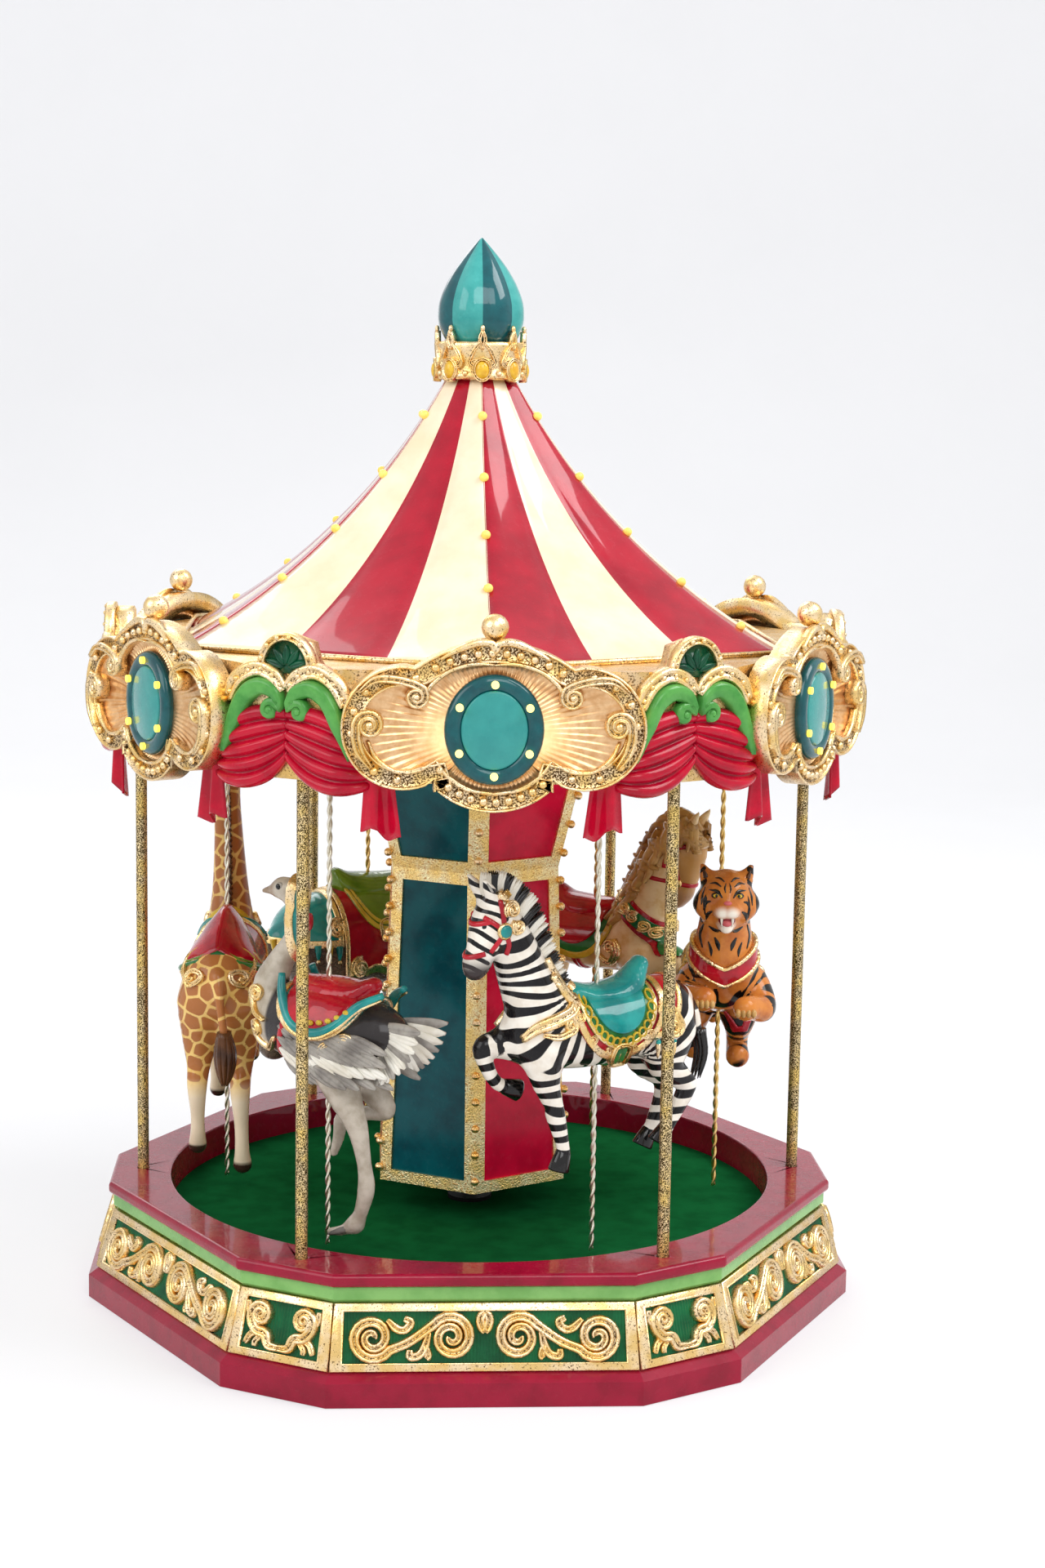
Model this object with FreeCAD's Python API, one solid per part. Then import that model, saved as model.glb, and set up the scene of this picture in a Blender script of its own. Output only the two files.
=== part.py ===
"""Carousel music box: a twelve-sided base, six brass columns and a striped roof, with a
hexagonal drum and six animals on twisted rods that a geared motor turns about the centre.

Frame: millimetres, +Z up, origin on the turning axis at the foot of the plinth, front towards -Y.
Azimuth runs from the front (-Y) towards the right (+X).
"""

import FreeCAD, Part
import math
import os

Vector = FreeCAD.Vector

# Twelve-sided outline: six long sides face azimuths 0, 60, ..., six short ones the azimuths between.
SHORT_SIDE_EXTRA = 8.9      # how much further out a short side lies than a long side
SIDE_STEP = 30.0            # degrees from one side to the next
SECTOR = 60.0               # degrees from one repeat of the design to the next

# Base, from the table upwards. Each apothem is that of the long sides.
PLINTH_APOTHEM = 136.8
PLINTH_SIDE_H = 8.6
PLINTH_TOP_Z = 11.4
PLINTH_WALL = 3.8
PLINTH_FLANGE_T = 2.2
CAVITY_WALL_H = 7.4
PLINTH_FLANGE_APOTHEM = 119.0
FRIEZE_FOOT_APOTHEM = 132.8
FRIEZE_HEAD_APOTHEM = 126.3
FRIEZE_TOP_Z = 33.7
FRIEZE_WALL = 4.5
MOULDING_APOTHEM = 127.4
MOULDING_COVE = 1.6
RIM_APOTHEM = 129.2
RIM_BOTTOM_Z = 39.8
RIM_TOP_Z = 44.5
RIM_EDGE = 1.0
RIM_SKIRT_T = 2.5
WELL_R = 115.5
FLOOR_TOP_Z = 32.5
FLOOR_T = 3.0
FLOOR_CLEAR = 0.2
LEDGE_T = 3.0
LEDGE_W = 5.0

# Cover, battery bay and works under the floor.
COVER_BOTTOM_Z = 1.5
COVER_T = 3.0
COVER_CLEAR = 0.4
BOSS_R = 4.0
BOSS_PITCH_R = 126.0
SCREW_R = 1.4
SCREW_HEAD_R = 2.6
SCREW_HEAD_T = 1.4
SCREW_L = 7.0
MODULE = 1.25
PINION_TEETH = 14
GEAR_TEETH = 56
GEAR_T = 5.0
GEAR_Z = 18.0
ADDENDUM = 0.8
DEDENDUM = 1.2
PRESSURE_ANGLE = math.radians(20)
BACKLASH = 0.36
CENTRE_EXTRA = 0.12
MOTOR_R = 12.5
MOTOR_FLANGE = (44.0, 16.0, 1.6)
MOTOR_FLANGE_Z = 13.6
MOTOR_POST_R = 3.2
MOTOR_POST_PITCH = 35.0
MOTOR_SHAFT_R = 1.5
CELL_R = 7.1
CELL_L = 50.0
CELL_NUB_R = 2.6
CELL_NUB_L = 1.2
CELL_GAP = 0.6
CELL_COUNT = 3
BAY_CENTRE = (-66.0, -22.0)
BAY_WALL = 1.6
BAY_CLEAR = 0.5
DOOR_T = 2.0
DOOR_CLEAR = 0.35
DOOR_TRAVEL = 9.0
BOARD = (52.0, 34.0, 1.6)
BOARD_CENTRE = (-60.0, 52.0)
BOARD_POST_H = 4.0
BOARD_POST_R = 2.0
SPEAKER_CENTRE = (62.0, -22.0)
SPEAKER_R = 26.0
SPEAKER_RIM_T = 1.5
SPEAKER_MAGNET_R = 13.0
SPEAKER_CONE_H = 7.0
SPEAKER_MAGNET_H = 6.0
GRILLE_HOLE_R = 2.0
GRILLE_PITCH = 7.0

# Controls on the back of the plinth.
SWITCH_X = 24.0
SWITCH_KNOB = (5.0, 2.4)
SWITCH_TRAVEL = 4.0
SWITCH_BODY = (16.0, 7.0, 5.0)
BUTTON_X = -24.0
BUTTON_R = 1.9
BUTTON_COLLAR_R = 2.5
BUTTON_COLLAR_T = 1.0
BUTTON_TRAVEL = 1.0
CONTROL_Z = 4.7
CONTROL_PROUD = 1.6
CONTROL_CLEAR = 0.35
CONTROL_BACK = 2.0          # wall left behind the knob's channel

# Turning shaft and its bushes.
SHAFT_R = 3.0
SHAFT_FOOT_Z = 6.2
SHAFT_HEAD_Z = 262.0
RUNNING_CLEAR = 0.05
BUSH_R = 6.0
BUSH_FLANGE_R = 8.5
BUSH_FLANGE_T = 1.5
LOWER_BOSS_R = 9.5
LOWER_BOSS_H = 8.0
THRUST_GAP = 0.1

# Columns and canopy.
COLUMN_R = 2.15
COLUMN_PITCH_R = 126.5
COLUMN_CLEAR = 0.05
COLUMN_SOCKET = 8.0
CANOPY_APOTHEM = 127.0
CANOPY_INNER_APOTHEM = 109.0
CANOPY_BOTTOM_Z = 214.0
CANOPY_TOP_Z = 252.0
DECK_T = 5.0
DECK_INNER_APOTHEM = 97.0
BRIDGE_R = 104.0
BRIDGE_T = 3.0
BRIDGE_ARM_W = 12.0
BRIDGE_HUB_R = 14.0
ROOF_RIDGE_R = 126.0
ROOF_NECK_R = 14.5
ROOF_NECK_Z = 349.0
ROOF_SAG = 11.0
ROOF_WALL = 3.0
BULB_R = 1.7
BULB_STEM = 2.2
BULBS_PER_RIDGE = 5
BULB_SPREAD = (0.14, 0.885)     # first and last bulb, as shares of the ridge's arc
CROWN_R = 15.6
CROWN_BORE_R = 9.0
CROWN_H = 13.0
DOME_R = 16.3
DOME_FOOT_R = 13.4
DOME_WIDE_H = 9.5
DOME_SHOULDER = 0.27        # how far up its taper the dome stays wide
DOME_TIP_R = 0.4
TIP_Z = 400.0
STUD_R = 2.5
STUD_IN_DOME = 12.0
STUD_NUT_H = 3.0

# Shields round the canopy.
MEDALLION_Z = 233.4
MEDALLION_BACK_T = 6.2
MEDALLION_FACE_T = 4.6
MEDALLION_POCKET = 3.0
MEDALLION_RIM_W = 7.0
LOBE_X = 50.6
NOTCH_TOP = (26.2, 20.4)
NOTCH_BOTTOM = (20.2, -19.0)
MEDALLION_UP = 28.9
MEDALLION_DOWN = -27.5
BALL_R = 4.2
BOSS_HALF_W = 16.4
BOSS_HALF_H = 18.2
BOSS_PROUD = 0.6
LAMP_R = 1.3
LAMP_H = 1.2
LAMPS_PER_MEDALLION = 6
LAMP_RING = (13.4, 15.2)
DRAPE_T = 4.6
DRAPE_HALF_W = 18.6
DRAPE_SWAG_Z = 212.8
DRAPE_JOIN_Z = 219.8
DRAPE_SIDE_Z = (221.0, 244.0)
DRAPE_HUMP_Z = 252.0
CREST_HALF_W = 8.6
CREST_TOP_Z = 263.0
TAIL_W = 7.0
TAIL_T = 4.0
TAIL_BOTTOM_Z = 197.0

# Turning set: carrier, drum, rods and animals.
CARRIER_R = 103.0
CARRIER_T = 3.0
CARRIER_Z = 222.0
CARRIER_HUB_R = 9.0
CARRIER_HUB_H = 10.0
ROD_PITCH_R = 95.0
ROD_R = 1.05
ROD_FOOT_Z = 39.0
ROD_ABOVE_CARRIER = 6.0
ROD_CLEAR = 0.05
COLLAR_R = 2.6
COLLAR_H = 3.0
RIDE_TURN = -5.0            # degrees the animals stand from the middles of the short sides
DRUM_FOOT_Z = 45.5
DRUM_FOOT_R = 40.5
DRUM_WAIST_Z = 166.5
DRUM_WAIST_R = 36.0
DRUM_HEAD_R = 50.0
DRUM_WALL = 3.0
DRUM_FLOOR_T = 3.0
DRUM_POST_W = 4.4
DRUM_BAND_H = 4.5
PANEL_T = 1.6
PANEL_RECESS = 0.9
LIMB_SHARE = 0.94           # thickness of a limb between two balls, as a share of theirs
BALL_AXIS = Vector(0.45, 0.33, 0.83)    # tilts each ball's seam away from the limbs

MOULDING_TOP_Z = RIM_BOTTOM_Z
COVER_TOP_Z = COVER_BOTTOM_Z + COVER_T
DOOR_TOP_Z = COVER_BOTTOM_Z + DOOR_T
CELL_CENTRE_Z = DOOR_TOP_Z + DOOR_CLEAR + CELL_R
CAVITY_TOP_Z = PLINTH_TOP_Z - PLINTH_FLANGE_T
COVER_APOTHEM = PLINTH_APOTHEM - PLINTH_WALL - COVER_CLEAR
GEAR_CENTRES = MODULE * (PINION_TEETH + GEAR_TEETH) / 2 + CENTRE_EXTRA
MOTOR_CENTRE = Vector(0, GEAR_CENTRES, 0)
MEDALLION_FACE_D = CANOPY_APOTHEM + MEDALLION_BACK_T + MEDALLION_FACE_T
CARRIER_TOP_Z = CARRIER_Z + CARRIER_T
BACK_FACE_Y = PLINTH_APOTHEM

# Animals: each chain is a run of (forward, outward, height, radius) balls joined by cones,
# measured from the rod's axis, heights from the table.
ZEBRA = [
    [(22, 0, 121, 13.5), (0, 0, 121, 12.5), (-25, 0, 124, 13.2)],
    [(23, 0, 128, 11.5), (31, 0, 146, 9), (39, 0, 163, 7.6)],
    [(42, 0, 168, 6.6), (47, 0, 158, 5.6), (51.5, 0, 145, 4.2)],
    [(43, 3, 173, 2.4), (47, 5, 178, 1.2)],
    [(43, -3, 173, 2.4), (47, -5, 178, 1.2)],
    [(25, 6, 116, 8), (24, 6.5, 104, 5), (21, 6.5, 91, 3.6), (17, 6.5, 78, 2.7), (17.5, 6.5, 73, 3.4)],
    [(27, -5, 117, 8), (45.5, -6, 113.5, 4.2), (40, -6, 101.5, 2.8), (33.5, -6, 98, 3.1)],
    [(-27, 5, 117, 10), (-25.5, 6, 107, 6.6), (-35, 6.5, 98, 4), (-27, 6.5, 85, 2.8), (-23, 6.5, 80, 3.2)],
    [(-26, -5, 117, 10), (-24, -6, 106, 6.6), (-33, -6.5, 96, 4), (-29, -6.5, 82, 2.8), (-26, -6.5, 76, 3.2)],
    [(-36, 0, 129, 2.6), (-43, 0, 116, 2.4), (-43.5, 0, 101, 1.8)],
    [(7, 0, 131, 6.5), (-9, 0, 131, 6.5), (-16, 0, 141, 3)],
]
OSTRICH = [
    [(16, 0, 118, 12.5), (0, 0, 119, 15), (-18, 0, 119, 12), (-32, 0, 121, 8), (-43, 0, 117, 4.5)],
    [(20, 0, 122, 7.5), (29, 0, 131, 6), (29, 0, 142, 4.6), (24, 0, 155, 3.4), (22, 0, 164, 3.2)],
    [(22.5, 0, 168, 5), (26, 0, 168, 3.6), (33.5, 0, 166.6, 1.2)],
    [(-5, 6, 108, 8), (-14, 7, 88, 4), (-18, 7, 65, 2.8), (-13.5, 7, 53, 2.8), (-3, 7, 47, 2)],
    [(-9, -6, 107, 7.5), (-21, -6.5, 90, 3.5), (-2, -6.5, 86, 2.4), (1, -6.5, 70, 2)],
    [(6, 0, 131, 7), (-9, 0, 130, 7), (-22, 0, 135, 3)],
]
GIRAFFE = [
    [(18, 0, 124, 13), (0, 0, 122, 13.4), (-20, 0, 120, 14.4)],
    [(21, 1, 132, 9.5), (28, 3, 155, 6.6), (31, 4, 180, 5.4), (33, 4, 190, 5)],
    [(34, 4, 194, 5.4), (42, 4, 190, 4), (48, 4, 187, 3)],
    [(-22, -6, 112, 10), (-20, -7.5, 92, 6), (-26, -8.5, 79, 3.7), (-24, -9, 57, 3), (-22.5, -9, 49, 3.6)],
    [(-20, 6, 112, 10), (-18, 8, 92, 5.6), (-22, 8.5, 79, 3.7), (-17, 9, 62, 2.9), (-14, 9.5, 55, 3.5)],
    [(18, 6, 114, 8), (20, 7, 92, 4.4), (22, 7, 72, 3), (25, 7, 66, 3.5)],
    [(18, -6, 114, 8), (29, -7, 98, 4.4), (24, -7, 86, 3), (19, -7, 82, 3.4)],
    [(-34, -1, 125, 2), (-38, -3, 110, 1.6), (-37.5, -5, 96, 3), (-37, -4.5, 84, 1.6)],
    [(7, 0, 133, 6.5), (-10, 0, 132, 6.5), (-18, 0, 137, 3)],
]
ELEPHANT = [
    [(20, 0, 118, 18.5), (0, 0, 118, 21), (-23, 0, 117.5, 19.6)],
    [(30, 0, 128, 15), (38, 0, 133, 13)],
    [(44, 0, 125, 7.5), (49, 0, 112, 5.4), (48, 0, 101, 4.2), (42, 0, 96, 3.4)],
    [(30, 14, 132, 4), (26, 18, 122, 2.6)],
    [(30, -14, 132, 4), (26, -18, 122, 2.6)],
    [(18, 9, 106, 10), (21, 9.5, 84, 7), (22, 9.5, 70, 7.2)],
    [(17, -9, 106, 10), (28, -9.5, 88, 7), (24, -9.5, 75, 6.8)],
    [(-21, 8.6, 106.5, 11), (-24, 9.5, 86, 7.4), (-38, 9.5, 73, 6.8)],
    [(-20, -8.6, 106, 11), (-22, -9.5, 84, 7.4), (-22, -9.5, 69, 7.2)],
    [(-41.5, 0, 121, 2.2), (-45.5, 0, 106, 1.6), (-45, 0, 95, 2)],
    [(9, 0, 137, 8), (-9, 0, 137, 8)],
]
HORSE = [
    [(20, 0, 120, 13.6), (0, 0, 119, 12.4), (-24, 0, 120, 13)],
    [(23, 0, 128, 12), (29, 0, 147, 10.2), (36, 0, 162, 8.4)],
    [(44, 0, 165, 6.4), (44, 0, 152, 5.8), (38, 0, 139, 4.2)],
    [(46, 3, 170, 2.2), (50, 4, 175, 1.2)],
    [(46, -3, 170, 2.2), (50, -4, 175, 1.2)],
    [(25, -7, 114, 8), (42, -8, 116, 4.6), (51, -8, 106, 2.9), (53, -8, 99.5, 3.3)],
    [(24, 7, 113, 8), (36, 7.5, 102, 4.6), (31, 7.5, 88, 2.9), (33, 7.5, 82, 3.3)],
    [(-25, 6, 114, 10), (-25, 6.5, 102, 6.4), (-36, 6.5, 92, 3.8), (-34, 6.5, 78, 2.8), (-31, 6.5, 72, 3.3)],
    [(-25, -6, 114, 10), (-24, -6.5, 101, 6.4), (-34, -6.5, 90, 3.8), (-30, -6.5, 76, 2.8),
     (-27, -6.5, 70, 3.3)],
    [(-36, 0, 126, 3.2), (-44, 0, 114, 4), (-44, 0, 98, 2.6)],
    [(7, 0, 131, 6.5), (-9, 0, 131, 6.5), (-16, 0, 139, 3)],
]
TIGER = [
    [(22, 0, 123, 14), (0, 0, 122, 13), (-24, 0, 121, 12.6)],
    [(29, 0, 134, 12.5), (37, 0, 151, 12), (47, 0, 147, 6.6)],
    [(35, 9, 161, 3.2), (35, 10.5, 165, 2)],
    [(35, -9, 161, 3.2), (35, -10.5, 165, 2)],
    [(23, 10, 118, 8), (29, 15, 108, 5.8), (40, 8.5, 105.5, 4.8)],
    [(23, -10, 118, 8), (31, -13.5, 113, 5.8), (41, -7, 113.5, 4.8)],
    [(-15, 8, 111, 9.5), (-7, 8.5, 103, 6.2), (-14, 8.5, 95, 4.4), (-8, 8.5, 89, 4.8)],
    [(-17, -8, 111, 9.5), (-11, -8.5, 104, 6.2), (-18, -8.5, 96, 4.4), (-13, -8.5, 91, 4.8)],
    [(-35, 0, 122, 2.8), (-40, 0, 110, 2.6), (-38, 0, 97, 2.4)],
    [(7, 0, 131, 6.5), (-9, 0, 131, 6.5)],
]
RIDERS = [("zebra", ZEBRA, 30), ("ostrich", OSTRICH, -30), ("giraffe", GIRAFFE, -90),
          ("elephant", ELEPHANT, -150), ("horse", HORSE, 150), ("tiger", TIGER, 90)]


def outward(azimuth):
    """Unit vector from the axis at an azimuth in degrees, 0 at the front."""
    angle = math.radians(azimuth)
    return Vector(math.sin(angle), -math.cos(angle), 0)


def sideways(azimuth):
    """Unit vector along a side that faces the azimuth, towards growing azimuth."""
    angle = math.radians(azimuth)
    return Vector(math.cos(angle), math.sin(angle), 0)


def on_side(azimuth, distance, along, z):
    """Point on a side: its distance from the axis, how far along the side, and its height."""
    return outward(azimuth) * distance + sideways(azimuth) * along + Vector(0, 0, z)


def twelve_sided(apothem, z):
    """Closed wire of the twelve-sided outline with that long-side apothem."""
    distance = [apothem, apothem + SHORT_SIDE_EXTRA]
    turn = math.radians(SIDE_STEP)
    corners = []
    for k in range(12):
        here, after = distance[k % 2], distance[(k + 1) % 2]
        along = (after - here * math.cos(turn)) / math.sin(turn)
        corners.append(on_side(k * SIDE_STEP, here, along, z))
    return Part.makePolygon(corners + corners[:1])


def prism(wire, height):
    """Solid that stands on a closed flat wire."""
    return Part.Face(wire).extrude(Vector(0, 0, height))


def tapered(lower, upper):
    """Solid with flat sides from one closed wire up to another."""
    return Part.makeLoft([lower, upper], True, True)


def upright(radius, z0, z1, at=Vector(0, 0, 0)):
    """Upright cylinder between two heights."""
    return Part.makeCylinder(radius, z1 - z0, at + Vector(0, 0, z0))


def block(size_x, size_y, z0, z1, centre):
    """Upright box about a centre point on the plan."""
    corner = Vector(centre[0] - size_x / 2, centre[1] - size_y / 2, z0)
    return Part.makeBox(size_x, size_y, z1 - z0, corner)


def revolved(edges):
    """Solid of revolution about the axis from profile edges in the XZ plane."""
    solid = Part.Face(Part.Wire(edges)).revolve(Vector(0, 0, 0), Vector(0, 0, 1), 360)
    if solid.Volume < 0:
        solid.reverse()
    return solid


def line(a, b):
    return Part.LineSegment(a, b).toShape()


def arc(a, middle, b):
    return Part.Arc(a, middle, b).toShape()


def bezier(poles):
    curve = Part.BezierCurve()
    curve.setPoles(poles)
    return curve.toShape()


def fuse_all(shapes):
    """One solid from shapes that touch or overlap."""
    return shapes[0].multiFuse(shapes[1:]).removeSplitter()


def around(shape, count=6):
    """Copies of a shape, one for each sector."""
    copies = []
    for k in range(count):
        copy = shape.copy()
        copy.rotate(Vector(0, 0, 0), Vector(0, 0, 1), k * SECTOR)
        copies.append(copy)
    return copies


# Base.
def make_plinth():
    """Lacquered foot of the base: side wall, sloping top, flange and cover bosses, open below."""
    side = prism(twelve_sided(PLINTH_APOTHEM, 0), PLINTH_SIDE_H)
    slope = tapered(twelve_sided(PLINTH_APOTHEM, PLINTH_SIDE_H),
                    twelve_sided(FRIEZE_FOOT_APOTHEM, PLINTH_TOP_Z))
    cavity = prism(twelve_sided(PLINTH_APOTHEM - PLINTH_WALL, 0), CAVITY_WALL_H)
    neck = tapered(twelve_sided(PLINTH_APOTHEM - PLINTH_WALL, CAVITY_WALL_H),
                   twelve_sided(FRIEZE_FOOT_APOTHEM - PLINTH_WALL, CAVITY_TOP_Z))
    opening = prism(twelve_sided(PLINTH_FLANGE_APOTHEM, 0), PLINTH_TOP_Z)
    shell = fuse_all([side, slope]).cut(fuse_all([cavity, neck, opening]))
    bosses = [upright(BOSS_R, COVER_TOP_Z, CAVITY_TOP_Z, at) for at in boss_points()]
    pilots = [upright(SCREW_R, 0, CAVITY_TOP_Z, at) for at in boss_points()]
    slot_w = SWITCH_KNOB[0] + SWITCH_TRAVEL + 2 * CONTROL_CLEAR
    slot_h = SWITCH_KNOB[1] + 2 * CONTROL_CLEAR
    slot = block(slot_w, 4 * PLINTH_WALL, CONTROL_Z - slot_h / 2, CONTROL_Z + slot_h / 2,
                 (SWITCH_X, BACK_FACE_Y))
    hole = Part.makeCylinder(BUTTON_R + CONTROL_CLEAR, 4 * PLINTH_WALL,
                             Vector(BUTTON_X, BACK_FACE_Y - 2 * PLINTH_WALL, CONTROL_Z), Vector(0, 1, 0))
    return fuse_all([shell] + bosses).cut(fuse_all(pilots + [slot, hole]))


def make_frieze_ring():
    """Sloping wall that carries the panels of scrollwork."""
    outer = tapered(twelve_sided(FRIEZE_FOOT_APOTHEM, PLINTH_TOP_Z),
                    twelve_sided(FRIEZE_HEAD_APOTHEM, FRIEZE_TOP_Z))
    inner = tapered(twelve_sided(FRIEZE_FOOT_APOTHEM - FRIEZE_WALL, PLINTH_TOP_Z),
                    twelve_sided(FRIEZE_HEAD_APOTHEM - FRIEZE_WALL, FRIEZE_TOP_Z))
    return outer.cut(inner)


def make_green_moulding():
    """Cove moulding between the frieze and the rim."""
    foot = tapered(twelve_sided(MOULDING_APOTHEM - MOULDING_COVE, FRIEZE_TOP_Z),
                   twelve_sided(MOULDING_APOTHEM, FRIEZE_TOP_Z + MOULDING_COVE))
    body = prism(twelve_sided(MOULDING_APOTHEM, FRIEZE_TOP_Z + MOULDING_COVE),
                 MOULDING_TOP_Z - FRIEZE_TOP_Z - MOULDING_COVE)
    skirt_r = WELL_R + RIM_SKIRT_T + FLOOR_CLEAR
    return fuse_all([foot, body]).cut(upright(skirt_r, FRIEZE_TOP_Z, MOULDING_TOP_Z))


def make_rim_ring():
    """Lacquered rim with a round well, a skirt below it and the ledge that the floor lies on."""
    low = RIM_BOTTOM_Z + RIM_EDGE
    high = RIM_TOP_Z - RIM_EDGE
    edge = RIM_APOTHEM - RIM_EDGE
    slab = fuse_all([tapered(twelve_sided(edge, RIM_BOTTOM_Z), twelve_sided(RIM_APOTHEM, low)),
                     prism(twelve_sided(RIM_APOTHEM, low), high - low),
                     tapered(twelve_sided(RIM_APOTHEM, high), twelve_sided(edge, RIM_TOP_Z))])
    ledge_z = FLOOR_TOP_Z - FLOOR_T
    skirt = upright(WELL_R + RIM_SKIRT_T, ledge_z - LEDGE_T, RIM_BOTTOM_Z)
    well = upright(WELL_R, ledge_z, RIM_TOP_Z)
    through = upright(WELL_R - LEDGE_W, ledge_z - LEDGE_T, RIM_TOP_Z)
    sockets = [upright(COLUMN_R + COLUMN_CLEAR, RIM_BOTTOM_Z, RIM_TOP_Z, foot) for foot in column_feet()]
    return fuse_all([slab, skirt]).cut(fuse_all([well, through])).cut(fuse_all(sockets))


def make_floor_disc():
    """Painted floor, laid on the rim's ledge, with a hole for the shaft's bush."""
    disc = upright(WELL_R - FLOOR_CLEAR, FLOOR_TOP_Z - FLOOR_T, FLOOR_TOP_Z)
    return disc.cut(upright(BUSH_R, FLOOR_TOP_Z - FLOOR_T, FLOOR_TOP_Z))


# Works under the floor.
def bay_size():
    """Plan size of the battery bay, inside its walls."""
    width = CELL_COUNT * 2 * CELL_R + (CELL_COUNT - 1) * CELL_GAP + 2 * BAY_CLEAR
    return width, CELL_L + CELL_NUB_L


def battery_bay():
    """Walls and roof of the battery bay, and the hollow to cut in the cover for the cells and the door."""
    width, length = bay_size()
    roof_z = CELL_CENTRE_Z + CELL_R + BAY_CLEAR
    walls = block(width + 2 * BAY_WALL, length + 2 * BAY_WALL, COVER_TOP_Z, roof_z + BAY_WALL, BAY_CENTRE)
    cells = block(width, length, COVER_BOTTOM_Z, roof_z, BAY_CENTRE)
    slide = block(width, length + DOOR_TRAVEL + DOOR_CLEAR, COVER_BOTTOM_Z, DOOR_TOP_Z + DOOR_CLEAR,
                  (BAY_CENTRE[0], BAY_CENTRE[1] - (DOOR_TRAVEL + DOOR_CLEAR) / 2))
    return walls, cells.fuse(slide)


def control_notches():
    """Room in the cover plate for the switches behind the plinth's back wall."""
    depth = SWITCH_BODY[1] + 2 * CONTROL_CLEAR
    y = control_wall_y() - depth / 2
    return [block(SWITCH_BODY[0] + 2 * CONTROL_CLEAR, depth, COVER_BOTTOM_Z, COVER_TOP_Z, (x, y))
            for x in (SWITCH_X, BUTTON_X)]


def make_bottom_cover():
    """Cover plate with the shaft's boss, motor posts, board posts, sound grille and battery bay."""
    plate = prism(twelve_sided(COVER_APOTHEM, COVER_BOTTOM_Z), COVER_T)
    boss = upright(LOWER_BOSS_R, COVER_TOP_Z, COVER_TOP_Z + LOWER_BOSS_H)
    post_offset = Vector(MOTOR_POST_PITCH / 2, 0, 0)
    posts = [upright(MOTOR_POST_R, COVER_TOP_Z, MOTOR_FLANGE_Z, MOTOR_CENTRE + post_offset * side)
             for side in (-1, 1)]
    board_z = COVER_TOP_Z + BOARD_POST_H
    board_posts = [upright(BOARD_POST_R, COVER_TOP_Z, board_z, at) for at in board_corners()]
    walls, hollow = battery_bay()
    body = fuse_all([plate, boss, walls] + posts + board_posts)
    bore = upright(BUSH_R, COVER_TOP_Z, COVER_TOP_Z + LOWER_BOSS_H)
    holes = [bore] + control_notches()
    for at in boss_points():
        holes.append(upright(SCREW_R, COVER_BOTTOM_Z, COVER_TOP_Z, at))
        holes.append(upright(SCREW_HEAD_R, COVER_BOTTOM_Z, COVER_BOTTOM_Z + SCREW_HEAD_T, at))
    holes += [upright(GRILLE_HOLE_R, COVER_BOTTOM_Z, COVER_TOP_Z, at) for at in grille_points()]
    return body.cut(hollow).cut(fuse_all(holes))


def boss_points():
    """Plan points of the six screws between the cover and the plinth."""
    return [outward(k * SECTOR) * BOSS_PITCH_R for k in range(6)]


def board_corners():
    """Places of the circuit board's four posts."""
    inset = 3.0
    half_x, half_y = BOARD[0] / 2 - inset, BOARD[1] / 2 - inset
    return [Vector(BOARD_CENTRE[0] + sx * half_x, BOARD_CENTRE[1] + sy * half_y, 0)
            for sx in (-1, 1) for sy in (-1, 1)]


def grille_points():
    """Sound holes under the speaker: one in the middle and two rings of six."""
    centre = Vector(SPEAKER_CENTRE[0], SPEAKER_CENTRE[1], 0)
    rings = [outward(k * SECTOR + ring * SIDE_STEP) * (ring + 1) * GRILLE_PITCH
             for ring in range(2) for k in range(6)]
    return [centre] + [centre + at for at in rings]


def make_cover_screws():
    """Six countersunk screws that hold the cover to the plinth's bosses."""
    screws = []
    for at in boss_points():
        head = upright(SCREW_HEAD_R, COVER_BOTTOM_Z, COVER_BOTTOM_Z + SCREW_HEAD_T, at)
        shank = upright(SCREW_R, COVER_BOTTOM_Z + SCREW_HEAD_T, COVER_BOTTOM_Z + SCREW_L, at)
        screws.append(head.fuse(shank).removeSplitter())
    return Part.makeCompound(screws)


def make_battery_door():
    """Door that slides forward under the battery bay."""
    width, length = bay_size()
    return block(width - 2 * DOOR_CLEAR, length - 2 * DOOR_CLEAR, COVER_BOTTOM_Z, DOOR_TOP_Z, BAY_CENTRE)


def make_battery_cells():
    """Three round cells, side by side and alternately turned, held between the bay's end walls."""
    half = bay_size()[1] / 2
    cells = []
    for k in range(CELL_COUNT):
        x = BAY_CENTRE[0] + (k - (CELL_COUNT - 1) / 2) * (2 * CELL_R + CELL_GAP)
        facing = Vector(0, 1 if k % 2 == 0 else -1, 0)
        back = Vector(x, BAY_CENTRE[1], CELL_CENTRE_Z) - facing * half
        body = Part.makeCylinder(CELL_R, CELL_L, back, facing)
        nub = Part.makeCylinder(CELL_NUB_R, CELL_NUB_L, back + facing * CELL_L, facing)
        cells.append(body.fuse(nub).removeSplitter())
    return Part.makeCompound(cells)


def make_motor():
    """Flat geared motor, hung by its flange on two posts."""
    width, depth, thickness = MOTOR_FLANGE
    flange = block(width, depth, MOTOR_FLANGE_Z, MOTOR_FLANGE_Z + thickness, MOTOR_CENTRE)
    can = upright(MOTOR_R, COVER_TOP_Z + 1.0, MOTOR_FLANGE_Z, MOTOR_CENTRE)
    bore = upright(MOTOR_SHAFT_R + RUNNING_CLEAR, COVER_TOP_Z + 3.0, GEAR_Z, MOTOR_CENTRE)
    return fuse_all([flange, can]).cut(bore)


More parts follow.
